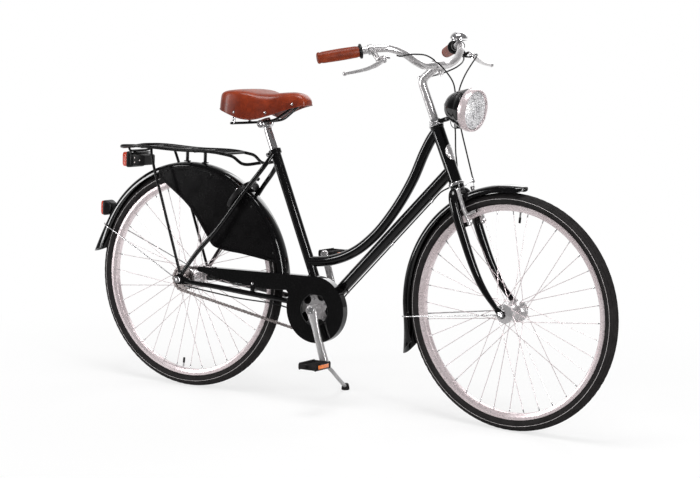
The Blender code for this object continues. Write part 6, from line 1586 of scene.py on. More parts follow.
def fork():
    race = 0.021
    top = HEAD_LENGTH + 0.0210
    bore = 0.0129
    steerer = turned(
        [
            (bore, 0.075), (bore, top), (0.0143, top), (0.0143, -GAP), (race, -GAP), (race, -0.0070), (0.0200, -0.0090),
            (0.0175, -0.0165)
        ],
        HEAD_BOTTOM, HEAD_AXIS, "paint", 48,
    )
    run = [
        (-0.0160, 0.000, 0.0000, 0.0135),
        (-0.0170, 0.000, 0.0160, 0.0135),
        (-0.0230, 0.000, 0.0300, 0.0142),
        (-0.0380, 0.000, 0.0410, 0.0145),
        (-0.0650, -0.001, 0.0460, 0.0145),
        (-0.1550, -0.005, 0.0475, 0.0135),
        (-0.2550, -0.004, 0.0495, 0.0118),
        (-0.3000, 0.001, 0.0508, 0.0106),
        (-0.3400, 0.011, 0.0522, 0.0092),
        (-0.3860, 0.0275, 0.0530, 0.0070),
    ]
    left = smooth([(*head(t, forward, y), r) for t, forward, y, r in run], 7)
    blades = tube([mirrored(point) for point in left[:0:-1]] + left, None, "paint", 28)
    tip = Vector((left[-1][0], 0.0, left[-1][2]))
    shapes = [steerer, blades]
    for side in (RIGHT, LEFT):
        low, high = sorted((side * FRONT_FORK_SPACE, side * (FRONT_FORK_SPACE + FORK_TIP)))
        dropout = lug(FRONT_HUB, 0.0125, tip, 0.0085, Y_AXIS, low, high, "paint", 20)
        shapes.append(carve(dropout, rod(FRONT_HUB, Y_AXIS, AXLE_SLOT, 0.1)))
        shapes.append(disc(brake_pivot(side), HEAD_FORWARD, 0.0040, -0.020, 0.0060, "chrome", 24, 0.0005))
        shapes.append(disc(brake_pivot(side), HEAD_FORWARD, 0.0070, -0.020, -0.0043, "paint", 32))
        shapes += bolt(brake_pivot(side) + HEAD_FORWARD * 0.0060, HEAD_FORWARD, 0.0052, 0.0034)
    piece("fork", shapes, "steering")


def headset_upper():
    bore = 0.0146
    base = HEAD_LENGTH + GAP
    profile = [
        (bore, base), (0.0228, base), (0.0235, base + 0.0008), (0.0235, base + 0.0034), (0.0222, base + 0.0048),
        (0.0205, base + 0.0070), (0.0205, base + 0.0104), (0.0198, base + 0.0112), (0.0180, base + 0.0120),
        (0.0180, base + 0.0188), (0.0173, base + 0.0195), (bore, base + 0.0195),
    ]
    shapes = [turned(profile, HEAD_BOTTOM, HEAD_AXIS, "chrome", 64, ring=True)]
    start = head(base + 0.0095, 0.0185)
    for y in (-0.0090, 0.0090):
        shapes.append(lug(LAMP_PIVOT, 0.0065, start, 0.0050, Y_AXIS, y - 0.0013, y + 0.0013, "paint", 16, 0.0003))
        shapes += bolt(
            LAMP_PIVOT + Y_AXIS * (y + math.copysign(0.0013, y)), Y_AXIS * math.copysign(1.0, y), 0.0044, 0.0030
        )
    shapes.append(block(start.lerp(LAMP_PIVOT, 0.32), (0.018, 0.0190, 0.0026), "paint", 0.0006))
    shapes.append(disc(LAMP_PIVOT, Y_AXIS, 0.0024, -0.0115, 0.0115, "chrome", 16))
    piece("headset_upper", shapes, "steering")


def stem():
    """A forged quill that bends forward to the clamp of the bar."""
    low = head(HEAD_LENGTH + 0.021 - 0.070)
    corner = head(STEM_RISE)
    forward = (BAR_CENTRE - corner).normalized()
    rise = corner - HEAD_AXIS * 0.022
    go = corner + forward * 0.020
    bend = []
    for k in range(9):
        t = k / 8
        point = rise * (1 - t) ** 2 + corner * (2 * t * (1 - t)) + go * t**2
        bend.append((*point, STEM_RADIUS + 0.0006 * math.sin(math.pi * t)))
    path = [
        (*low, STEM_RADIUS), *bend, (*corner.lerp(BAR_CENTRE, 0.6), STEM_RADIUS), (*BAR_CENTRE, STEM_RADIUS + 0.001)
    ]
    shapes = [carve(tube(path, None, "polished", 36), rod(BAR_CENTRE, Y_AXIS, BAR_BORE, 0.1))]
    r = BAR_RADIUS + 0.0062
    half = 0.019
    profile = [
        (0.0112, -half), (r - 0.0030, -half), (r, -half + 0.0030), (r, half - 0.0030), (r - 0.0030, half),
        (0.0112, half)
    ]
    clamp = turned(profile, BAR_CENTRE, Y_AXIS, "polished", 56, ring=True)
    under = BAR_CENTRE + Vector((0.010, 0.0, -0.019))
    ear = carve(
        block(under, (0.014, 0.020, 0.016), "polished", 0.0035, segments=4), rod(BAR_CENTRE, Y_AXIS, BAR_BORE, 0.1)
    )
    shapes += [clamp, ear, disc(under, Z_AXIS, 0.0045, -0.013, -0.006, "chrome", 24, 0.0008)]
    top = corner + HEAD_AXIS * 0.0105
    screw = [(0.0080, -0.004), (0.0080, 0.0016), (0.0066, 0.0028), (0.0030, 0.0028), (0.0028, 0.0016)]
    shapes.append(turned(screw, top, HEAD_AXIS, "chrome", 32))
    piece("stem", shapes, "steering")


BELL_BAR = Vector((0.2640, 0.186, 1.1105))
BAR_INWARD = (GRIP_START - BAR_END).normalized()
CLAMP_AT = GRIP_START + BAR_INWARD * 0.022


def bar_bends():
    return [
        BAR_CENTRE + Y_AXIS * 0.024,
        Vector((0.3030, 0.0620, 1.0585)),
        Vector((0.3015, 0.1050, 1.0710)),
        Vector((0.2870, 0.1540, 1.0980)),
        BELL_BAR,
        GRIP_START + BAR_INWARD * 0.036,
    ]


def handlebar():
    left = [BAR_CENTRE + Y_AXIS * 0.020] + smooth(bar_bends(), 9) + [BAR_END]
    path = [mirrored(point) for point in reversed(left)] + left
    piece("handlebar", [tube(path, BAR_RADIUS, "polished", 32)], "steering")


def grip(side, word):
    """A stitched leather sleeve with a black flange and an end cap."""
    start = side_point(side, GRIP_START)
    end = side_point(side, BAR_END)
    length = (end - start).length
    way = (end - start).normalized()
    r = GRIP_RADIUS
    bore = BAR_BORE
    sleeve = []
    for k in range(13):
        share = k / 12
        sleeve.append((r + 0.0002 + 0.0008 * math.sin(math.pi * share) ** 2, 0.0125 + (length - 0.0165) * share))
    sleeve = [
        (bore, 0.0125), (r - 0.0016, 0.0125), *sleeve[1:-1], (r - 0.0016, length - 0.0040), (bore, length - 0.0040)
    ]
    flange = [
        (bore, 0.0030), (r - 0.0015, 0.0030), (r, 0.0036), (0.0205, 0.0042), (0.0215, 0.0052), (0.0215, 0.0090),
        (0.0205, 0.0100), (r, 0.0106), (r, 0.0128), (bore, 0.0128)
    ]
    cap = [
        (r - 0.0016, length - 0.0042), (r + 0.0001, length - 0.0036), (r + 0.0001, length + 0.0002),
        (r - 0.0014, length + 0.0028), (r - 0.0042, length + 0.0040), (0.0030, length + 0.0042),
    ]
    shapes = [
        turned(sleeve, start, way, "grip", 40, ring=True),
        turned(flange, start, way, "plastic", 48, ring=True),
        carve(turned(cap, start, way, "grip", 40), disc(start, way, bore, 0.0, length + 0.0003, "grip", 32)),
    ]
    down = (Z_AXIS * -1 - way * (Z_AXIS * -1).dot(way)).normalized()
    across = way.cross(down)
    for k in range(19):
        at = start + way * (0.019 + 0.0051 * k)
        for sign in (-1, 1):
            a = at + down * (r + 0.0001) + across * 0.0002
            b = at + way * 0.0024 + down * (r - 0.0004) + across * (sign * 0.0032)
            shapes.append(tube([a, b], 0.00045, "stitch", 6))
    piece("grip_" + word, shapes, "steering")


LEVER_PIVOT = Vector((0.278, 0.234, 1.080))
BARREL_END = Vector((0.2879, 0.2171, 1.0856))
LEVER_RUN = [
    (0.2780, 0.2340, 1.0800),
    (0.2765, 0.2620, 1.0690),
    (0.2705, 0.3020, 1.0570),
    (0.2620, 0.3430, 1.0500),
    (0.2530, 0.3870, 1.0450),
]


def lever_axis(side):
    outward = side_point(side, LEVER_RUN[-1]) - side_point(side, LEVER_PIVOT)
    along_grip = side_point(side, BAR_END) - side_point(side, GRIP_START)
    return outward.cross(along_grip).normalized()


def barrel_way(side):
    pivot = side_point(side, LEVER_PIVOT)
    out = (pivot - side_point(side, CLAMP_AT)).normalized()
    aside = side_point(side, BARREL_END) - pivot
    aside = (aside - out * aside.dot(out)).normalized()
    return (out * 0.014 + aside * 0.0085).normalized()


def lever_bracket(side, word):
    at = side_point(side, CLAMP_AT)
    inward = side_point(side, BAR_INWARD)
    pivot = side_point(side, LEVER_PIVOT)
    normal = lever_axis(side)
    out = (pivot - at).normalized()
    level = (out - normal * out.dot(normal)).normalized()
    r = BAR_RADIUS + 0.0042
    finish = "polished" if side == RIGHT else "plastic"
    clamp = [(BAR_BORE, -0.007), (r - 0.0008, -0.007), (r, -0.006), (r, 0.006), (r - 0.0008, 0.007), (BAR_BORE, 0.007)]
    shapes = [turned(clamp, at, inward, finish, 40, ring=True)]
    for sign in (-1, 1):
        low, high = sorted((sign * 0.0042, sign * 0.0070))
        shapes.append(lug(pivot, 0.0072, pivot - level * 0.026, 0.0076, normal, low, high, finish, 14))
    body = tube([at + out * 0.0125, pivot - level * 0.0250, pivot - level * 0.0180], 0.0080, finish, 24)
    shapes.append(carve(
        body, disc(pivot, normal, 0.0100, -0.0042, 0.0042, finish, 40), rod(at, inward, BAR_BORE, 0.03)
    ))
    nose = side_point(side, BARREL_END)
    way = barrel_way(side)
    barrel = tube(smooth([pivot - level * 0.024, nose - way * 0.0165, nose - way * 0.004], 5), 0.0038, finish, 18)
    shapes.append(carve(barrel, disc(pivot, normal, 0.0100, -0.0042, 0.0042, finish, 40)))
    shapes.append(turned(
        [(0.0040, -0.0120), (0.0043, -0.0110), (0.0043, -0.0040), (0.0036, -0.0030), (0.0036, 0.0)], nose, way,
        "chrome", 12
    ))
    for sign in (-1, 1):
        shapes += bolt(pivot + normal * (sign * 0.0070), normal * sign, 0.0038, 0.0018)
    piece("brake_bracket_" + word, shapes, "steering")


def lever(side, word):
    pivot = side_point(side, LEVER_PIVOT)
    normal = lever_axis(side)
    shares = (1.30, 1.62, 1.22, 1.05, 0.90)
    run = smooth([(*side_point(side, point), 0.0046 * share) for point, share in zip(LEVER_RUN, shares)], 8)
    blade = tube(run, None, "polished", 24, 0.62)
    tip = Vector(run[-1][:3])
    outward = (tip - Vector(run[-2][:3])).normalized()
    ball = [
        (0.0036, -0.0055), (0.0052, -0.0035), (0.0063, -0.0005), (0.0064, 0.0020), (0.0056, 0.0044), (0.0034, 0.0060),
        (0.0010, 0.0065),
    ]
    ball = turned(ball, tip, outward, "polished", 28)
    root = disc(pivot, normal, 0.0085, -0.0036, 0.0036, "polished", 36, 0.0006)
    piece("brake_lever_" + word, [root, blade, ball], "brake_lever_" + word)


def bell_place():
    return BELL_BAR + Vector((-0.004, 0.0, 0.0150))


def bell():
    base = bell_place()
    bends = bar_bends()
    along = (bends[-1] - bends[-3]).normalized()
    r = BAR_RADIUS + 0.0042
    band = turned(
        [(0.0118, -0.0045), (r, -0.0045), (r, 0.0045), (0.0118, 0.0045)], BELL_BAR, along, "chrome", 40, ring=True
    )
    foot = [
        (0.0060, -0.0085), (0.0060, -0.0018), (0.0110, -0.0006), (0.0232, 0.0), (0.0240, 0.0006), (0.0240, 0.0028),
        (0.0045, 0.0032), (0.0045, 0.0066),
    ]
    foot = carve(turned(foot, base, Z_AXIS, "chrome", 48), rod(BELL_BAR, along, 0.0118, 0.03))
    dome = [(0.0040, 0.0066), (0.0262, 0.0066), (0.0270, 0.0074)]
    for k in range(1, 11):
        angle = math.radians(90.0 * k / 11)
        dome.append((0.0270 * math.cos(angle) ** 0.8, 0.0074 + 0.0200 * math.sin(angle) ** 1.15))
    dome += [(0.0034, 0.0276), (0.0032, 0.0284), (0.0012, 0.0288)]
    piece("bell", [band, foot, turned(dome, base, Z_AXIS, "chrome", 56)], "steering")
    reach = base + Vector((-0.030, 0.018, 0.0))
    plate = lug(base, 0.0095, reach, 0.0042, Z_AXIS, 0.0036, 0.0062, "chrome", 20)
    plate = carve(plate, rod(base, Z_AXIS, 0.0049, 0.03))
    thumb = turned(
        [(0.0050, 0.0015), (0.0060, 0.0024), (0.0060, 0.0066), (0.0050, 0.0075)], reach, Z_AXIS, "plastic", 28
    )
    piece("bell_lever", [plate, thumb], "bell_lever")


# Headlight

def lamp_axis():
    return Vector((math.cos(LAMP_TILT), 0.0, -math.sin(LAMP_TILT)))


def headlight():
    r = LAMP_RING_RADIUS
    way = lamp_axis()
    back = smooth([
        (0.0005, 0.0000), (0.0120, 0.0006), (0.0300, 0.0080), (0.0430, 0.0240), (0.0500, 0.0400), (0.0545, 0.0530),
        (r - 0.0064, 0.0600), (r - 0.0036, 0.0680), (r - 0.0017, 0.0760),
    ], 6)
    inside = [
        (r - 0.0027, 0.0775), (r - 0.0042, 0.0775), (r - 0.0092, 0.0560), (0.0440, 0.0480), (0.0300, 0.0300),
        (0.0005, 0.0260)
    ]
    shell = [tuple(point) for point in back] + inside
    ring = [
        (r - 0.0040, 0.0765), (r - 0.0014, 0.0768), (r - 0.0010, 0.0790), (r - 0.0003, 0.0830), (r, 0.0880),
        (r - 0.0004, 0.0940), (r - 0.0016, 0.0985), (r - 0.0030, 0.1008), (r - 0.0048, 0.1012), (r - 0.0060, 0.1004),
        (r - 0.0062, 0.0980), (r - 0.0075, 0.0960), (r - 0.0078, 0.0800),
    ]
    across = Y_AXIS.cross(way)
    bowl = []
    for radius, along in smooth(
        [(0.0085, 0.0330), (0.0250, 0.0440), (0.0400, 0.0600), (0.0500, 0.0790), (r - 0.0088, 0.0950)], 4
    ):
        loop = []
        for k in range(192):
            angle = math.tau * k / 192
            flute = 0.0009 * abs(math.sin(angle * 12)) * min(1.0, radius / 0.03)
            out = across * math.sin(angle) + Y_AXIS * math.cos(angle)
            loop.append(LAMP_REAR + way * (along + flute) + out * (radius - flute))
        bowl.append(loop)
    bowl += [[point - way * 0.0016 for point in loop] for loop in reversed(bowl)]
    bulb_shape = [
        (0.0045, 0.0340), (0.0045, 0.0420), (0.0062, 0.0470), (0.0080, 0.0530), (0.0078, 0.0590), (0.0055, 0.0635),
        (0.0010, 0.0650)
    ]
    shapes = [
        turned(shell, LAMP_REAR, way, "paint", 72),
        turned(ring, LAMP_REAR, way, "rim", 96, ring=True),
        loft(bowl, "mirror", closed=True, sharp=50.0),
        turned(bulb_shape, LAMP_REAR, way, "bulb", 32),
        turned([(0.0070, 0.0280), (0.0070, 0.0350), (0.0050, 0.0365)], LAMP_REAR, way, "cast", 24),
        turned([(0.0052, -0.0090), (0.0068, -0.0080), (0.0068, 0.0020), (0.0052, 0.0030)], LAMP_REAR, way, "paint", 24),
    ]
    ear_top = LAMP_REAR + way * 0.020 - Z_AXIS * 0.030
    ear = lug(LAMP_PIVOT, 0.0070, ear_top, 0.0070, Y_AXIS, -0.0070, 0.0070, "paint", 16)
    shapes.append(carve(ear, rod(LAMP_PIVOT, Y_AXIS, 0.0029, 0.03)))
    under = LAMP_REAR + way * 0.046 - Z_AXIS * 0.0545
    shapes.append(block(under, (0.020, 0.020, 0.014), "paint", 0.0035, segments=4))
    loop = [
        LAMP_REAR + way * 0.022 - Z_AXIS * 0.0335,
        LAMP_REAR + way * 0.012 - Z_AXIS * 0.0460,
        LAMP_REAR + way * 0.017 - Z_AXIS * 0.0600,
        LAMP_REAR + way * 0.030 - Z_AXIS * 0.0640,
        LAMP_REAR + way * 0.042 - Z_AXIS * 0.0600,
    ]
    shapes.append(tube(smooth(loop, 6), 0.0012, "plastic", 12))
    for angle in (-90.0, 30.0, 150.0):
        out = across * math.sin(math.radians(angle)) + Y_AXIS * math.cos(math.radians(angle))
        shapes += bolt(LAMP_REAR + way * 0.0740 + out * (r - 0.0025), out, 0.0028, 0.0020)
    piece("headlight_shell", shapes, "headlight")
    edge = r - 0.0066
    lens = [
        (0.0005, 0.1106), (0.0200, 0.1102), (0.0330, 0.1086), (0.0440, 0.1062), (0.0520, 0.1036), (edge, 0.1008),
        (edge, 0.0986), (edge - 0.0040, 0.0986), (0.0510, 0.1010), (0.0430, 0.1040), (0.0320, 0.1066), (0.0200, 0.1082),
        (0.0005, 0.1086),
    ]
    piece("headlight_lens", [turned(lens, LAMP_REAR, way, "glass", 72)], "headlight")


# Front brake

BRAKE_PIVOT_ALONG = -0.122
BRAKE_Y = 0.0360


def brake_pivot(side):
    return head(BRAKE_PIVOT_ALONG, 0.0235, side * BRAKE_Y)


def brake_arm(side, word):
    pivot = brake_pivot(side)
    top = head(-0.018, 0.0245, side * 0.0385)
    knee = head(BRAKE_PIVOT_ALONG + 0.045, 0.0235, side * (BRAKE_Y + 0.006))
    low = lug(pivot, 0.0085, knee, 0.0060, HEAD_FORWARD, -0.0040, 0.0040, "polished", 18, 0.0012)
    low = carve(low, rod(pivot, HEAD_FORWARD, 0.0043, 0.02))
    high = lug(knee, 0.0060, top, 0.0050, HEAD_FORWARD, -0.0040, 0.0040, "polished", 18, 0.0012)
    from_hub = pivot - FRONT_HUB
    angle = math.degrees(math.atan2(from_hub.z, from_hub.x)) - 1.0
    pad_at = polar(FRONT_HUB, BEAD_RADIUS + RIM_EDGE_HEIGHT * 0.35, angle)
    radial = (pad_at - FRONT_HUB).normalized()
    turn = Matrix((Y_AXIS.cross(radial), Y_AXIS, radial)).transposed()
    gap = BEAD_HALF_WIDTH + GAP + RIM_WALL + 0.0026
    shapes = [low, high]
    shapes.append(block(pad_at + Y_AXIS * (side * (gap + 0.0030)), (0.046, 0.0060, 0.0095), "rubber", 0.0015, turn))
    shapes.append(block(pad_at + Y_AXIS * (side * (gap + 0.0075)), (0.040, 0.0030, 0.0085), "polished", 0.0010, turn))
    stud_end = pad_at + Y_AXIS * (side * (BRAKE_Y + 0.004))
    shapes.append(tube([pad_at + Y_AXIS * (side * (gap + 0.006)), stud_end], 0.0032, "chrome", 18))
    shapes += bolt(stud_end, Y_AXIS * side, 0.0050, 0.0040)
    shapes += bolt(top + HEAD_FORWARD * 0.0040, HEAD_FORWARD, 0.0036, 0.0030)
    piece("front_brake_arm_" + word, shapes, "front_brake_arm_" + word)


# Seat

# Stations of the cover: x, its top, its lower edge and its half width
SADDLE_TOP = [
    (-0.4255, 0.9300, 0.9060, 0.046),
    (-0.4236, 0.9410, 0.9025, 0.066),
    (-0.4160, 0.9520, 0.9000, 0.086),
    (-0.4010, 0.9590, 0.8965, 0.100),
    (-0.3840, 0.9620, 0.8920, 0.107),
    (-0.3600, 0.9640, 0.8840, 0.109),
    (-0.3250, 0.9620, 0.8740, 0.105),
    (-0.2900, 0.9560, 0.8730, 0.088),
    (-0.2550, 0.9550, 0.8850, 0.064),
    (-0.2200, 0.9580, 0.8990, 0.045),
    (-0.1850, 0.9590, 0.9110, 0.036),
    (-0.1580, 0.9520, 0.9180, 0.030),
    (-0.1450, 0.9390, 0.9200, 0.0215),
    (-0.1425, 0.9320, 0.9215, 0.0120),
]
SADDLE_CLAMP_ALONG = 0.604

# Half sections of the cover as (share of its half width, share of its drop): at the nose, and at the seat
SADDLE_CROWN = (
    (0.0, 0.0), (0.24, 0.008), (0.45, 0.03), (0.63, 0.075), (0.78, 0.15), (0.89, 0.26), (0.955, 0.40), (0.99, 0.56),
    (1.0, 0.74), (0.99, 1.0)
)
SADDLE_SEAT = (
    (0.0, 0.0), (0.28, 0.003), (0.52, 0.012), (0.71, 0.032), (0.835, 0.072), (0.895, 0.125), (0.925, 0.22),
    (0.950, 0.40), (0.978, 0.66), (1.0, 1.0)
)


def saddle_ring(x, top, low, half):
    """One section of the cover: a firm edge round the seat, easing to a round nose."""
    share = min(1.0, max(0.0, (-0.245 - x) / 0.075))
    share = share * share * (3 - 2 * share)
    crown = [Vector(nose).lerp(Vector(broad), share) for nose, broad in zip(SADDLE_CROWN, SADDLE_SEAT)]
    left = [Vector((x, half * out, top - (top - low) * drop)) for out, drop in smooth(crown, 3)]
    return [mirrored(point) for point in reversed(left[1:])] + left


def saddle():
    stations = smooth(SADDLE_TOP, 5)
    outer = loft([saddle_ring(*station) for station in stations], "leather", sharp=60.0)
    inside = [(x, top - 0.0040, low - 0.012, half - 0.0040) for x, top, low, half in SADDLE_TOP[2:-2]]
    hollow = loft([saddle_ring(*station) for station in smooth(inside, 4)], "leather")
    shapes = [carve(outer, hollow, sharp=60.0)]
    stud = [(0.0046, -0.0020), (0.0048, 0.0002), (0.0036, 0.0014), (0.0012, 0.0019)]
    for x, y, z in ((-0.3940, 0.0955, 0.9220), (-0.4160, 0.0560, 0.9320), (-0.4190, 0.0180, 0.9360)):
        for side in (RIGHT, LEFT):
            out = Vector((-0.85, side * (0.2 + y * 4.0), 0.45)).normalized()
            place = on_side(side, x, y, z) + out * 0.0008
            shapes.append(turned(stud, place, out, "chrome", 24))
    rivet = [(0.0040, -0.0022), (0.0042, 0.0004), (0.0032, 0.0014), (0.0010, 0.0019)]
    for x, z in ((-0.3490, 0.8940), (-0.2600, 0.8950), (-0.1820, 0.9240)):
        a, b = next(pair for pair in zip(SADDLE_TOP, SADDLE_TOP[1:]) if pair[0][0] <= x <= pair[1][0])
        half = a[3] + (b[3] - a[3]) * (x - a[0]) / (b[0] - a[0])
        for side in (RIGHT, LEFT):
            shapes.append(turned(rivet, on_side(side, x, half, z), Y_AXIS * side, "chrome", 24))
    for side in (RIGHT, LEFT):
        edge = [on_side(side, x, half * 0.988, low + 0.0012) for x, _, low, half in stations[4:-3]]
        shapes.append(tube(edge, 0.0019, "leather", 12))
    piece("saddle_top", shapes, "seat")

    along = SADDLE_CLAMP_ALONG
    clamp_at = seat(along)
    profile = [
        (0.0113, along - 0.010), (0.0160, along - 0.010), (0.0170, along - 0.009), (0.0170, along + 0.014),
        (0.0160, along + 0.015), (0.0113, along + 0.015)
    ]
    shapes = [turned(profile, BOTTOM, SEAT_AXIS, "chrome", 48, ring=True)]
    for side in (RIGHT, LEFT):
        rail = smooth([
            (-0.398, side * 0.0450, 0.8560),
            (-0.340, side * 0.0270, 0.8600),
            (-0.290, side * 0.0240, 0.8655),
            (-0.250, side * 0.0230, 0.8740),
            (-0.222, side * 0.0190, 0.8920),
            (-0.180, side * 0.0100, 0.9240),
        ], 6)
        shapes.append(tube(rail, 0.0040, "paint", 18))
        post = Vector((-0.392, side * 0.0440, 0.8560))
        shapes.append(tube([post, post + Z_AXIS * 0.046], 0.0040, "chrome", 18))
        coil = [(0.0042, 0.0), (0.0066, 0.0005), (0.0066, 0.0009), (0.0042, 0.0014)]
        for k in range(22):
            a = post + Z_AXIS * (0.004 + 0.0018 * k)
            shapes.append(turned(coil, a, Z_AXIS, "chrome", 20, ring=True))
        ear = clamp_at + Vector((-0.004, side * 0.0245, 0.0))
        shapes.append(turned(
            [(0.0116, -0.0050), (0.0124, -0.0040), (0.0124, 0.0040), (0.0116, 0.0050)], ear, Y_AXIS, "chrome", 32
        ))
        shapes += bolt(clamp_at + Vector((-0.004, side * 0.0300, 0.0)), Y_AXIS * side, 0.0064, 0.0045)
    shapes.append(disc(clamp_at - X_AXIS * 0.004, Y_AXIS, 0.0060, -0.0300, 0.0300, "chrome", 28))
    shapes.append(block(Vector((-0.392, 0.0, 0.9040)), (0.0432, 0.120, 0.0040), "paint", 0.0012))
    shapes.append(block(Vector((-0.396, 0.0, 0.8560)), (0.012, 0.1040, 0.0080), "paint", 0.0025))
    nose_turn = Matrix.Rotation(math.radians(-20.0), 3, "Y")
    shapes.append(block(Vector((-0.176, 0.0, 0.9270)), (0.0348, 0.034, 0.0060), "paint", 0.0015, nose_turn))
    piece("saddle_frame", shapes, "seat")

    low = SEAT_TUBE_LENGTH - 0.120
    profile = [
        (SEATPOST_RADIUS - 0.001, low), (SEATPOST_RADIUS, low + 0.001), (SEATPOST_RADIUS, along - 0.0205),
        (0.0130, along - 0.0180), (0.0110, along - 0.0155), (0.0110, 0.6190), (0.0100, 0.6200)
    ]
    piece("seatpost", [turned(profile, BOTTOM, SEAT_AXIS, "chrome", 48)], "seat")


# Stand

STAND_PIVOT = Vector((-0.125, 0.036, 0.278))
STAND_FOOT = (-0.106, 0.2017)


def stand_axis():
    tilt = math.radians(20.0)
    turn = math.radians(10.0)
    return Vector((math.sin(turn) * math.cos(tilt), math.cos(turn) * math.cos(tilt), math.sin(tilt)))


def on_ground(x, y, rise):
    """A point of the upright bicycle that stands so high over the ground once the bicycle leans."""
    lean = math.radians(LEAN)
    return Vector((x, y, (rise + math.sin(lean) * y) / math.cos(lean)))


def stand_path():
    points = [
        (-0.1243, 0.0397, 0.2775),
        (-0.1180, 0.0405, 0.2350),
        (-0.1010, 0.0425, 0.1800),
        (-0.0830, 0.0465, 0.1250),
        (-0.0790, 0.0540, 0.1050),
        (-0.0765, 0.0680, 0.0930),
        (-0.0865, 0.1180, 0.0640),
        on_ground(*STAND_FOOT, 0.0090),
    ]
    return smooth(points, 6)


def stand():
    axis = stand_axis()
    top = BOTTOM.z - 0.0019
    plate = block(Vector((STAND_PIVOT.x - 0.004, 0.006, top - 0.0027)), (0.034, 0.076, 0.0054), "paint", 0.0012)
    boss = disc(STAND_PIVOT, axis, 0.0100, -0.0140, -0.0068, "paint", 36, 0.0008)
    boss = carve(boss, rod(STAND_PIVOT, axis, 0.0044, 0.03))
    upward = (Z_AXIS - axis * Z_AXIS.dot(axis)).normalized()
    turn = Matrix((axis.cross(upward), axis, upward)).transposed()
    web = block(STAND_PIVOT - axis * 0.0104 + upward * 0.0105, (0.014, 0.0068, 0.021), "paint", 0.0010, turn)
    web = carve(web, rod(STAND_PIVOT, axis, 0.0060, 0.03))
    screws = bolt(Vector((STAND_PIVOT.x - 0.004, -0.004, top - 0.0054)), -Z_AXIS, 0.0065, 0.0050)
    piece("kickstand_bracket", [plate, boss, web, *screws])
    eye = disc(STAND_PIVOT, axis, 0.0100, -0.0062, 0.0090, "cast", 40, 0.0010)
    leg_pin = disc(STAND_PIVOT, axis, 0.0040, -0.0170, 0.0, "chrome", 24)
    piece("kickstand_leg", [eye, leg_pin, tube(stand_path(), 0.0062, "cast", 24)], "kickstand")
    lean = math.radians(LEAN)
    up = Vector((0.0, -math.sin(lean), math.cos(lean)))
    base = on_ground(*STAND_FOOT, 0.0)
    shoe = [
        (0.0118, 0.0), (0.0130, 0.0012), (0.0130, 0.0040), (0.0124, 0.0090), (0.0112, 0.0140), (0.0100, 0.0185),
        (0.0088, 0.0200)
    ]
    piece("kickstand_foot", [turned(shoe, base, up, "rubber", 40)], "kickstand")


# Cables

def ferrule(place, way):
    return turned([(0.0024, -0.0060), (0.0030, -0.0056), (0.0030, 0.0056), (0.0024, 0.0060)], place, way, "chrome", 20)


def cables():
    nose = side_point(LEFT, BARREL_END)
    way = barrel_way(LEFT)
    run = [
        nose + way * 0.0006,
        nose + way * 0.0100,
        Vector((0.3190, 0.1960, 1.0860)),
        Vector((0.3390, 0.1620, 1.0800)),
        Vector((0.3450, 0.1200, 1.0540)),
        Vector((0.3440, 0.0920, 1.0270)),
        Vector((0.3380, 0.0700, 0.9800)),
        Vector((0.3440, 0.0580, 0.9200)),
        Vector((0.3660, 0.0430, 0.8680)),
        Vector((0.3960, 0.0240, 0.8100)),
        Vector((0.4220, 0.0080, 0.7600)),
        Vector((0.4360, 0.0000, 0.7320)),
    ]
    end = run[-1]
    shapes = [
        tube(smooth(run, 8), CABLE_RADIUS, "plastic", 14), ferrule(end, (end - run[-2]).normalized()),
        ferrule(nose + way * 0.0066, way)
    ]
    yoke = end + (end - run[-2]).normalized() * 0.0080
    shapes.append(turned(
        [(0.0030, -0.0030), (0.0052, -0.0020), (0.0052, 0.0020), (0.0030, 0.0030)], yoke, HEAD_FORWARD, "chrome", 20
    ))
    for side in (RIGHT, LEFT):
        arm_top = head(-0.018, 0.0315, side * 0.0385)
        shapes.append(tube([yoke, yoke.lerp(arm_top, 0.5) + HEAD_AXIS * 0.0006, arm_top], 0.0009, "chrome", 10))
    piece("front_brake_cable", shapes, "steering")

    run = [
        side_point(LEFT, LEVER_PIVOT) + Vector((-0.0240, -0.0149, 0.0025)),
        Vector((0.2700, 0.2000, 1.0720)),
        Vector((0.2860, 0.1720, 1.0660)),
        Vector((0.3040, 0.1300, 1.0580)),
        Vector((0.3080, 0.0950, 1.0480)),
        Vector((0.2980, 0.0620, 1.0370)),
        Vector((0.2880, 0.0360, 1.0300)),
        Vector((0.2820, 0.0123, 1.0260)),
    ]
    shapes = [tube(smooth(run, 8), CABLE_RADIUS, "plastic", 14), ferrule(run[-1], (run[-1] - run[-2]).normalized())]
    piece("rear_brake_cable", shapes, "steering")

    nose = side_point(RIGHT, BARREL_END)
    way = barrel_way(RIGHT)
    run = [
        nose + way * 0.0006,
        nose + way * 0.0100,
        (0.3080, -0.1900, 1.0880),
        (0.3180, -0.1560, 1.0900),
        (0.3290, -0.1100, 1.0860),
        (0.3400, -0.0760, 1.0700),
        (0.3520, -0.0300, 1.0380),
        (0.3550, 0.0060, 1.0070),
        (0.3460, 0.0370, 0.9660),
        (0.3430, 0.0390, 0.9200),
        (0.3540, 0.0300, 0.8630),
        (0.3590, 0.0265, 0.8070),
        (0.3640, 0.0290, 0.7500),
        (0.3620, 0.0200, 0.7120),
        *[under_down_tube(along) for along in (0.070, *DOWN_TUBE_EYES)],
        (-0.0550, -0.0110, 0.2770),
        (-0.1200, -0.0200, 0.2800),
        (-0.2200, -0.0370, 0.3000),
        (-0.3600, -0.0520, 0.3090),
        (-0.4600, -0.0680, 0.3220),
        (-0.5450, -0.0790, 0.3330),
    ]
    path = smooth(run, 8)
    return [tube(path, CABLE_RADIUS, "plastic", 14), ferrule(path[-2], (path[-1] - path[-3]).normalized())]


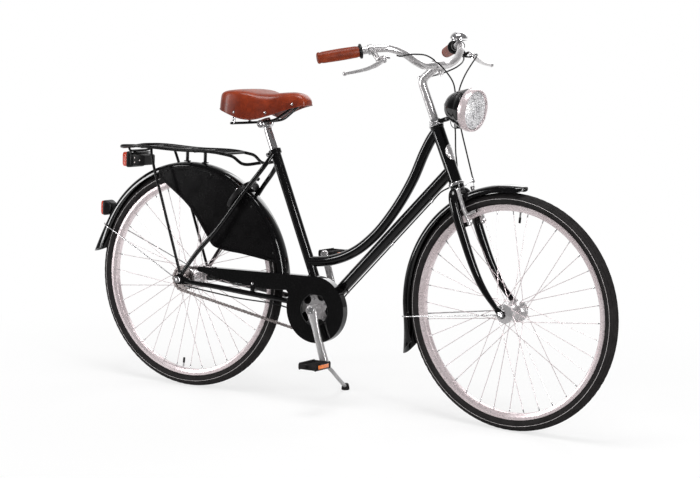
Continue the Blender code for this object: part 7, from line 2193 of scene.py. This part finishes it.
def build():
    head_tube()
    top_tube()
    down_tube()
    seat_tube()
    seat_clamp()
    for side, word in SIDES:
        chainstay(side, word)
        seatstay(side, word)
        skirt_guard(side, word)
    piece("rear_fender", fender(REAR_HUB, *REAR_FENDER, False))
    rise = flap_rise(REAR_WIRE, *REAR_FENDER[1:])
    eye_at = REAR_FRAME_SPACE + DROPOUT_THICKNESS + GAP
    piece("rear_fender_stay", fender_wire(REAR_HUB, REAR_WIRE, eye_at, rise))
    rack()
    rear_light()
    rear_reflector()
    chain_guard()
    ring_lock()
    chain()
    rear_axle = axle(REAR_HUB, REAR_FRAME_SPACE, DROPOUT_THICKNESS, 0.0500, 0.0480, 0.0092)
    piece("rear_axle", rear_axle)
    sprocket()
    crank_right()
    crank_left()
    saddle()
    stand()

    fork()
    headset_upper()
    stem()
    handlebar()
    bell()
    headlight()
    piece("front_fender", fender(FRONT_HUB, *FRONT_FENDER, True), "steering")
    rise = flap_rise(FRONT_WIRE, *FRONT_FENDER[1:])
    wire = fender_wire(FRONT_HUB, FRONT_WIRE, FRONT_FORK_SPACE + FORK_TIP + GAP, rise)
    piece("front_fender_stay", wire, "steering")
    front_axle = axle(FRONT_HUB, FRONT_FORK_SPACE, FORK_TIP, 0.0464, 0.0464, 0.0088)
    piece("front_axle", front_axle, "steering")
    for side, word in SIDES:
        grip(side, word)
        lever_bracket(side, word)
        lever(side, word)
        brake_arm(side, word)
        pedal(side, word)
    for word, hub, valve_at in (("front", FRONT_HUB, 85.0), ("rear", REAR_HUB, -95.0)):
        tyre(hub, word)
        rim(hub, word, valve_at)
    front_hub()
    rear_hub()
    gear_cable(cables())


def gear_cable(shapes):
    """Joins the gear cable into one look, stands it in place with the bicycle and hides its solid."""
    obj = joined(shapes)
    obj.name = "gear_cable_look"
    obj.data.transform(ON_STAND)
    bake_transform(obj)
    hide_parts("gear_cable")


# Studio

WHITE = (1.0, 1.0, 1.0, 1.0)
BACKDROP_WAY = Vector((-0.52, 0.854, 0.0))
SOFT_LIGHT = 0.30
ROOM_STOPS = ((0.35, (0.10, 0.10, 0.103)), (0.85, (1.0, 1.0, 1.0)))
ROOM_MIRRORED = 0.8
FLOOR_REACH = 40.0
FLOOR_STOPS = ((0.0, (0.92, 0.92, 0.92)), (1.0, (0.95, 0.95, 0.95)))
WHITE_FROM = (0.6, 1.9)
WHITE_SHARE = (0.70, 1.0)
MIRRORED_FROM = (-0.7, 1.0)
MIRRORED_GLOW = (0.09, 0.8)

# By name: place, width, height and power
LAMPS = {
    "right_strip": ((4.1, -2.1, 1.75), 0.60, 3.0, 115.0),
    "left_strip": ((-3.8, -3.1, 1.75), 0.70, 3.0, 85.0),
    "top": ((0.3, -0.6, 4.2), 2.2, 1.4, 90.0),
    "back": ((-0.6, 3.6, 2.6), 2.4, 2.4, 40.0),
}
LAMP_AIM_HEIGHT = 0.5
CAMERA_LENS = 98.71
CAMERA_SENSOR = 36.0
CAMERA_PLACE = Vector((3.042624, -4.915587, 1.396646))
CAMERA_WAY = Vector((-0.516085, 0.843376, -0.149578))


def room():
    """Soft grey light all round, and a white backdrop that the camera, metal and glass see."""
    world = bpy.data.worlds.new("studio")
    bpy.context.scene.world = world
    tree = Tree(world)
    soft = tree.nodes["Background"]
    tree.fill(soft, {"Color": WHITE, "Strength": SOFT_LIGHT})
    direction = tree.nodes.new("ShaderNodeTexCoord").outputs["Generated"]
    toward = tree.add("VectorMath", "Value", {0: direction, 1: BACKDROP_WAY}, operation="DOT_PRODUCT")
    sockets = {"Color": tree.ramp(toward, ROOM_STOPS), "Strength": ROOM_MIRRORED}
    mirrored_room = tree.add("Background", "Background", sockets)
    white = tree.add("Background", "Background", {"Color": WHITE, "Strength": 1.0})
    seen, by_camera = tree.seen()
    lit = tree.mix(seen, soft.outputs["Background"], mirrored_room)
    tree.fill(tree.nodes["World Output"], {"Surface": tree.mix(by_camera, lit, white)})


def pale_floor():
    """Takes the shadow under the bicycle, and runs out to white."""
    bm = bmesh.new()
    bmesh.ops.create_grid(bm, x_segments=2, y_segments=2, size=FLOOR_REACH)
    mesh = bpy.data.meshes.new("floor")
    bm.to_mesh(mesh)
    bm.free()
    floor = bpy.data.objects.new("floor", mesh)
    bpy.context.scene.collection.objects.link(floor)
    material = bpy.data.materials.new("pale_floor")
    mesh.materials.append(material)
    tree = Tree(material)
    shader = tree.nodes["Principled BSDF"]
    where = tree.nodes.new("ShaderNodeTexCoord").outputs["Object"]
    grain = tree.add("TexNoise", "Fac", {"Vector": where, "Scale": 3.0})
    colour = tree.ramp(grain, FLOOR_STOPS)
    tree.fill(shader, {"Roughness": 0.85, "Specular IOR Level": 0.1, "Base Color": colour})

    far = tree.add("VectorMath", "Value", {0: where}, operation="LENGTH")
    share = tree.spread(far, WHITE_FROM, WHITE_SHARE, interpolation_type="SMOOTHSTEP")
    seen, by_camera = tree.seen()
    share = tree.add("Math", "Value", {0: share, 1: seen}, operation="MULTIPLY")
    toward = tree.add("VectorMath", "Value", {0: where, 1: BACKDROP_WAY}, operation="DOT_PRODUCT")
    mirrored_glow = tree.spread(toward, MIRRORED_FROM, MIRRORED_GLOW, interpolation_type="SMOOTHSTEP")
    strength = tree.add("Math", "Value", {0: by_camera, 1: mirrored_glow}, operation="MAXIMUM")
    glow = tree.add("Emission", "Emission", {"Strength": strength})
    tree.fill(tree.nodes["Material Output"], {"Surface": tree.mix(share, shader.outputs["BSDF"], glow)})


def aimed(name, data, place, way):
    """An object of lamp or camera data, looking along a way."""
    obj = bpy.data.objects.new(name, data)
    obj.location = place
    obj.rotation_euler = way.to_track_quat("-Z", "Y").to_euler()
    bpy.context.scene.collection.objects.link(obj)
    return obj


def studio():
    """Soft lamps, a pale floor and the camera of the photograph."""
    scene = bpy.context.scene
    room()
    pale_floor()
    for name, (place, wide, tall, power) in LAMPS.items():
        data = bpy.data.lights.new(name, "AREA")
        data.shape = "RECTANGLE"
        data.size = wide
        data.size_y = tall
        data.energy = power
        aim = Vector((0.0, 0.0, place[2] if "strip" in name else LAMP_AIM_HEIGHT))
        aimed(name, data, place, aim - Vector(place))
    data = bpy.data.cameras.new("photo_camera")
    data.lens = CAMERA_LENS
    data.sensor_width = CAMERA_SENSOR
    scene.camera = aimed("photo_camera", data, CAMERA_PLACE + SHIFT, CAMERA_WAY.normalized())
    scene.view_settings.view_transform = "Standard"


build()
studio()
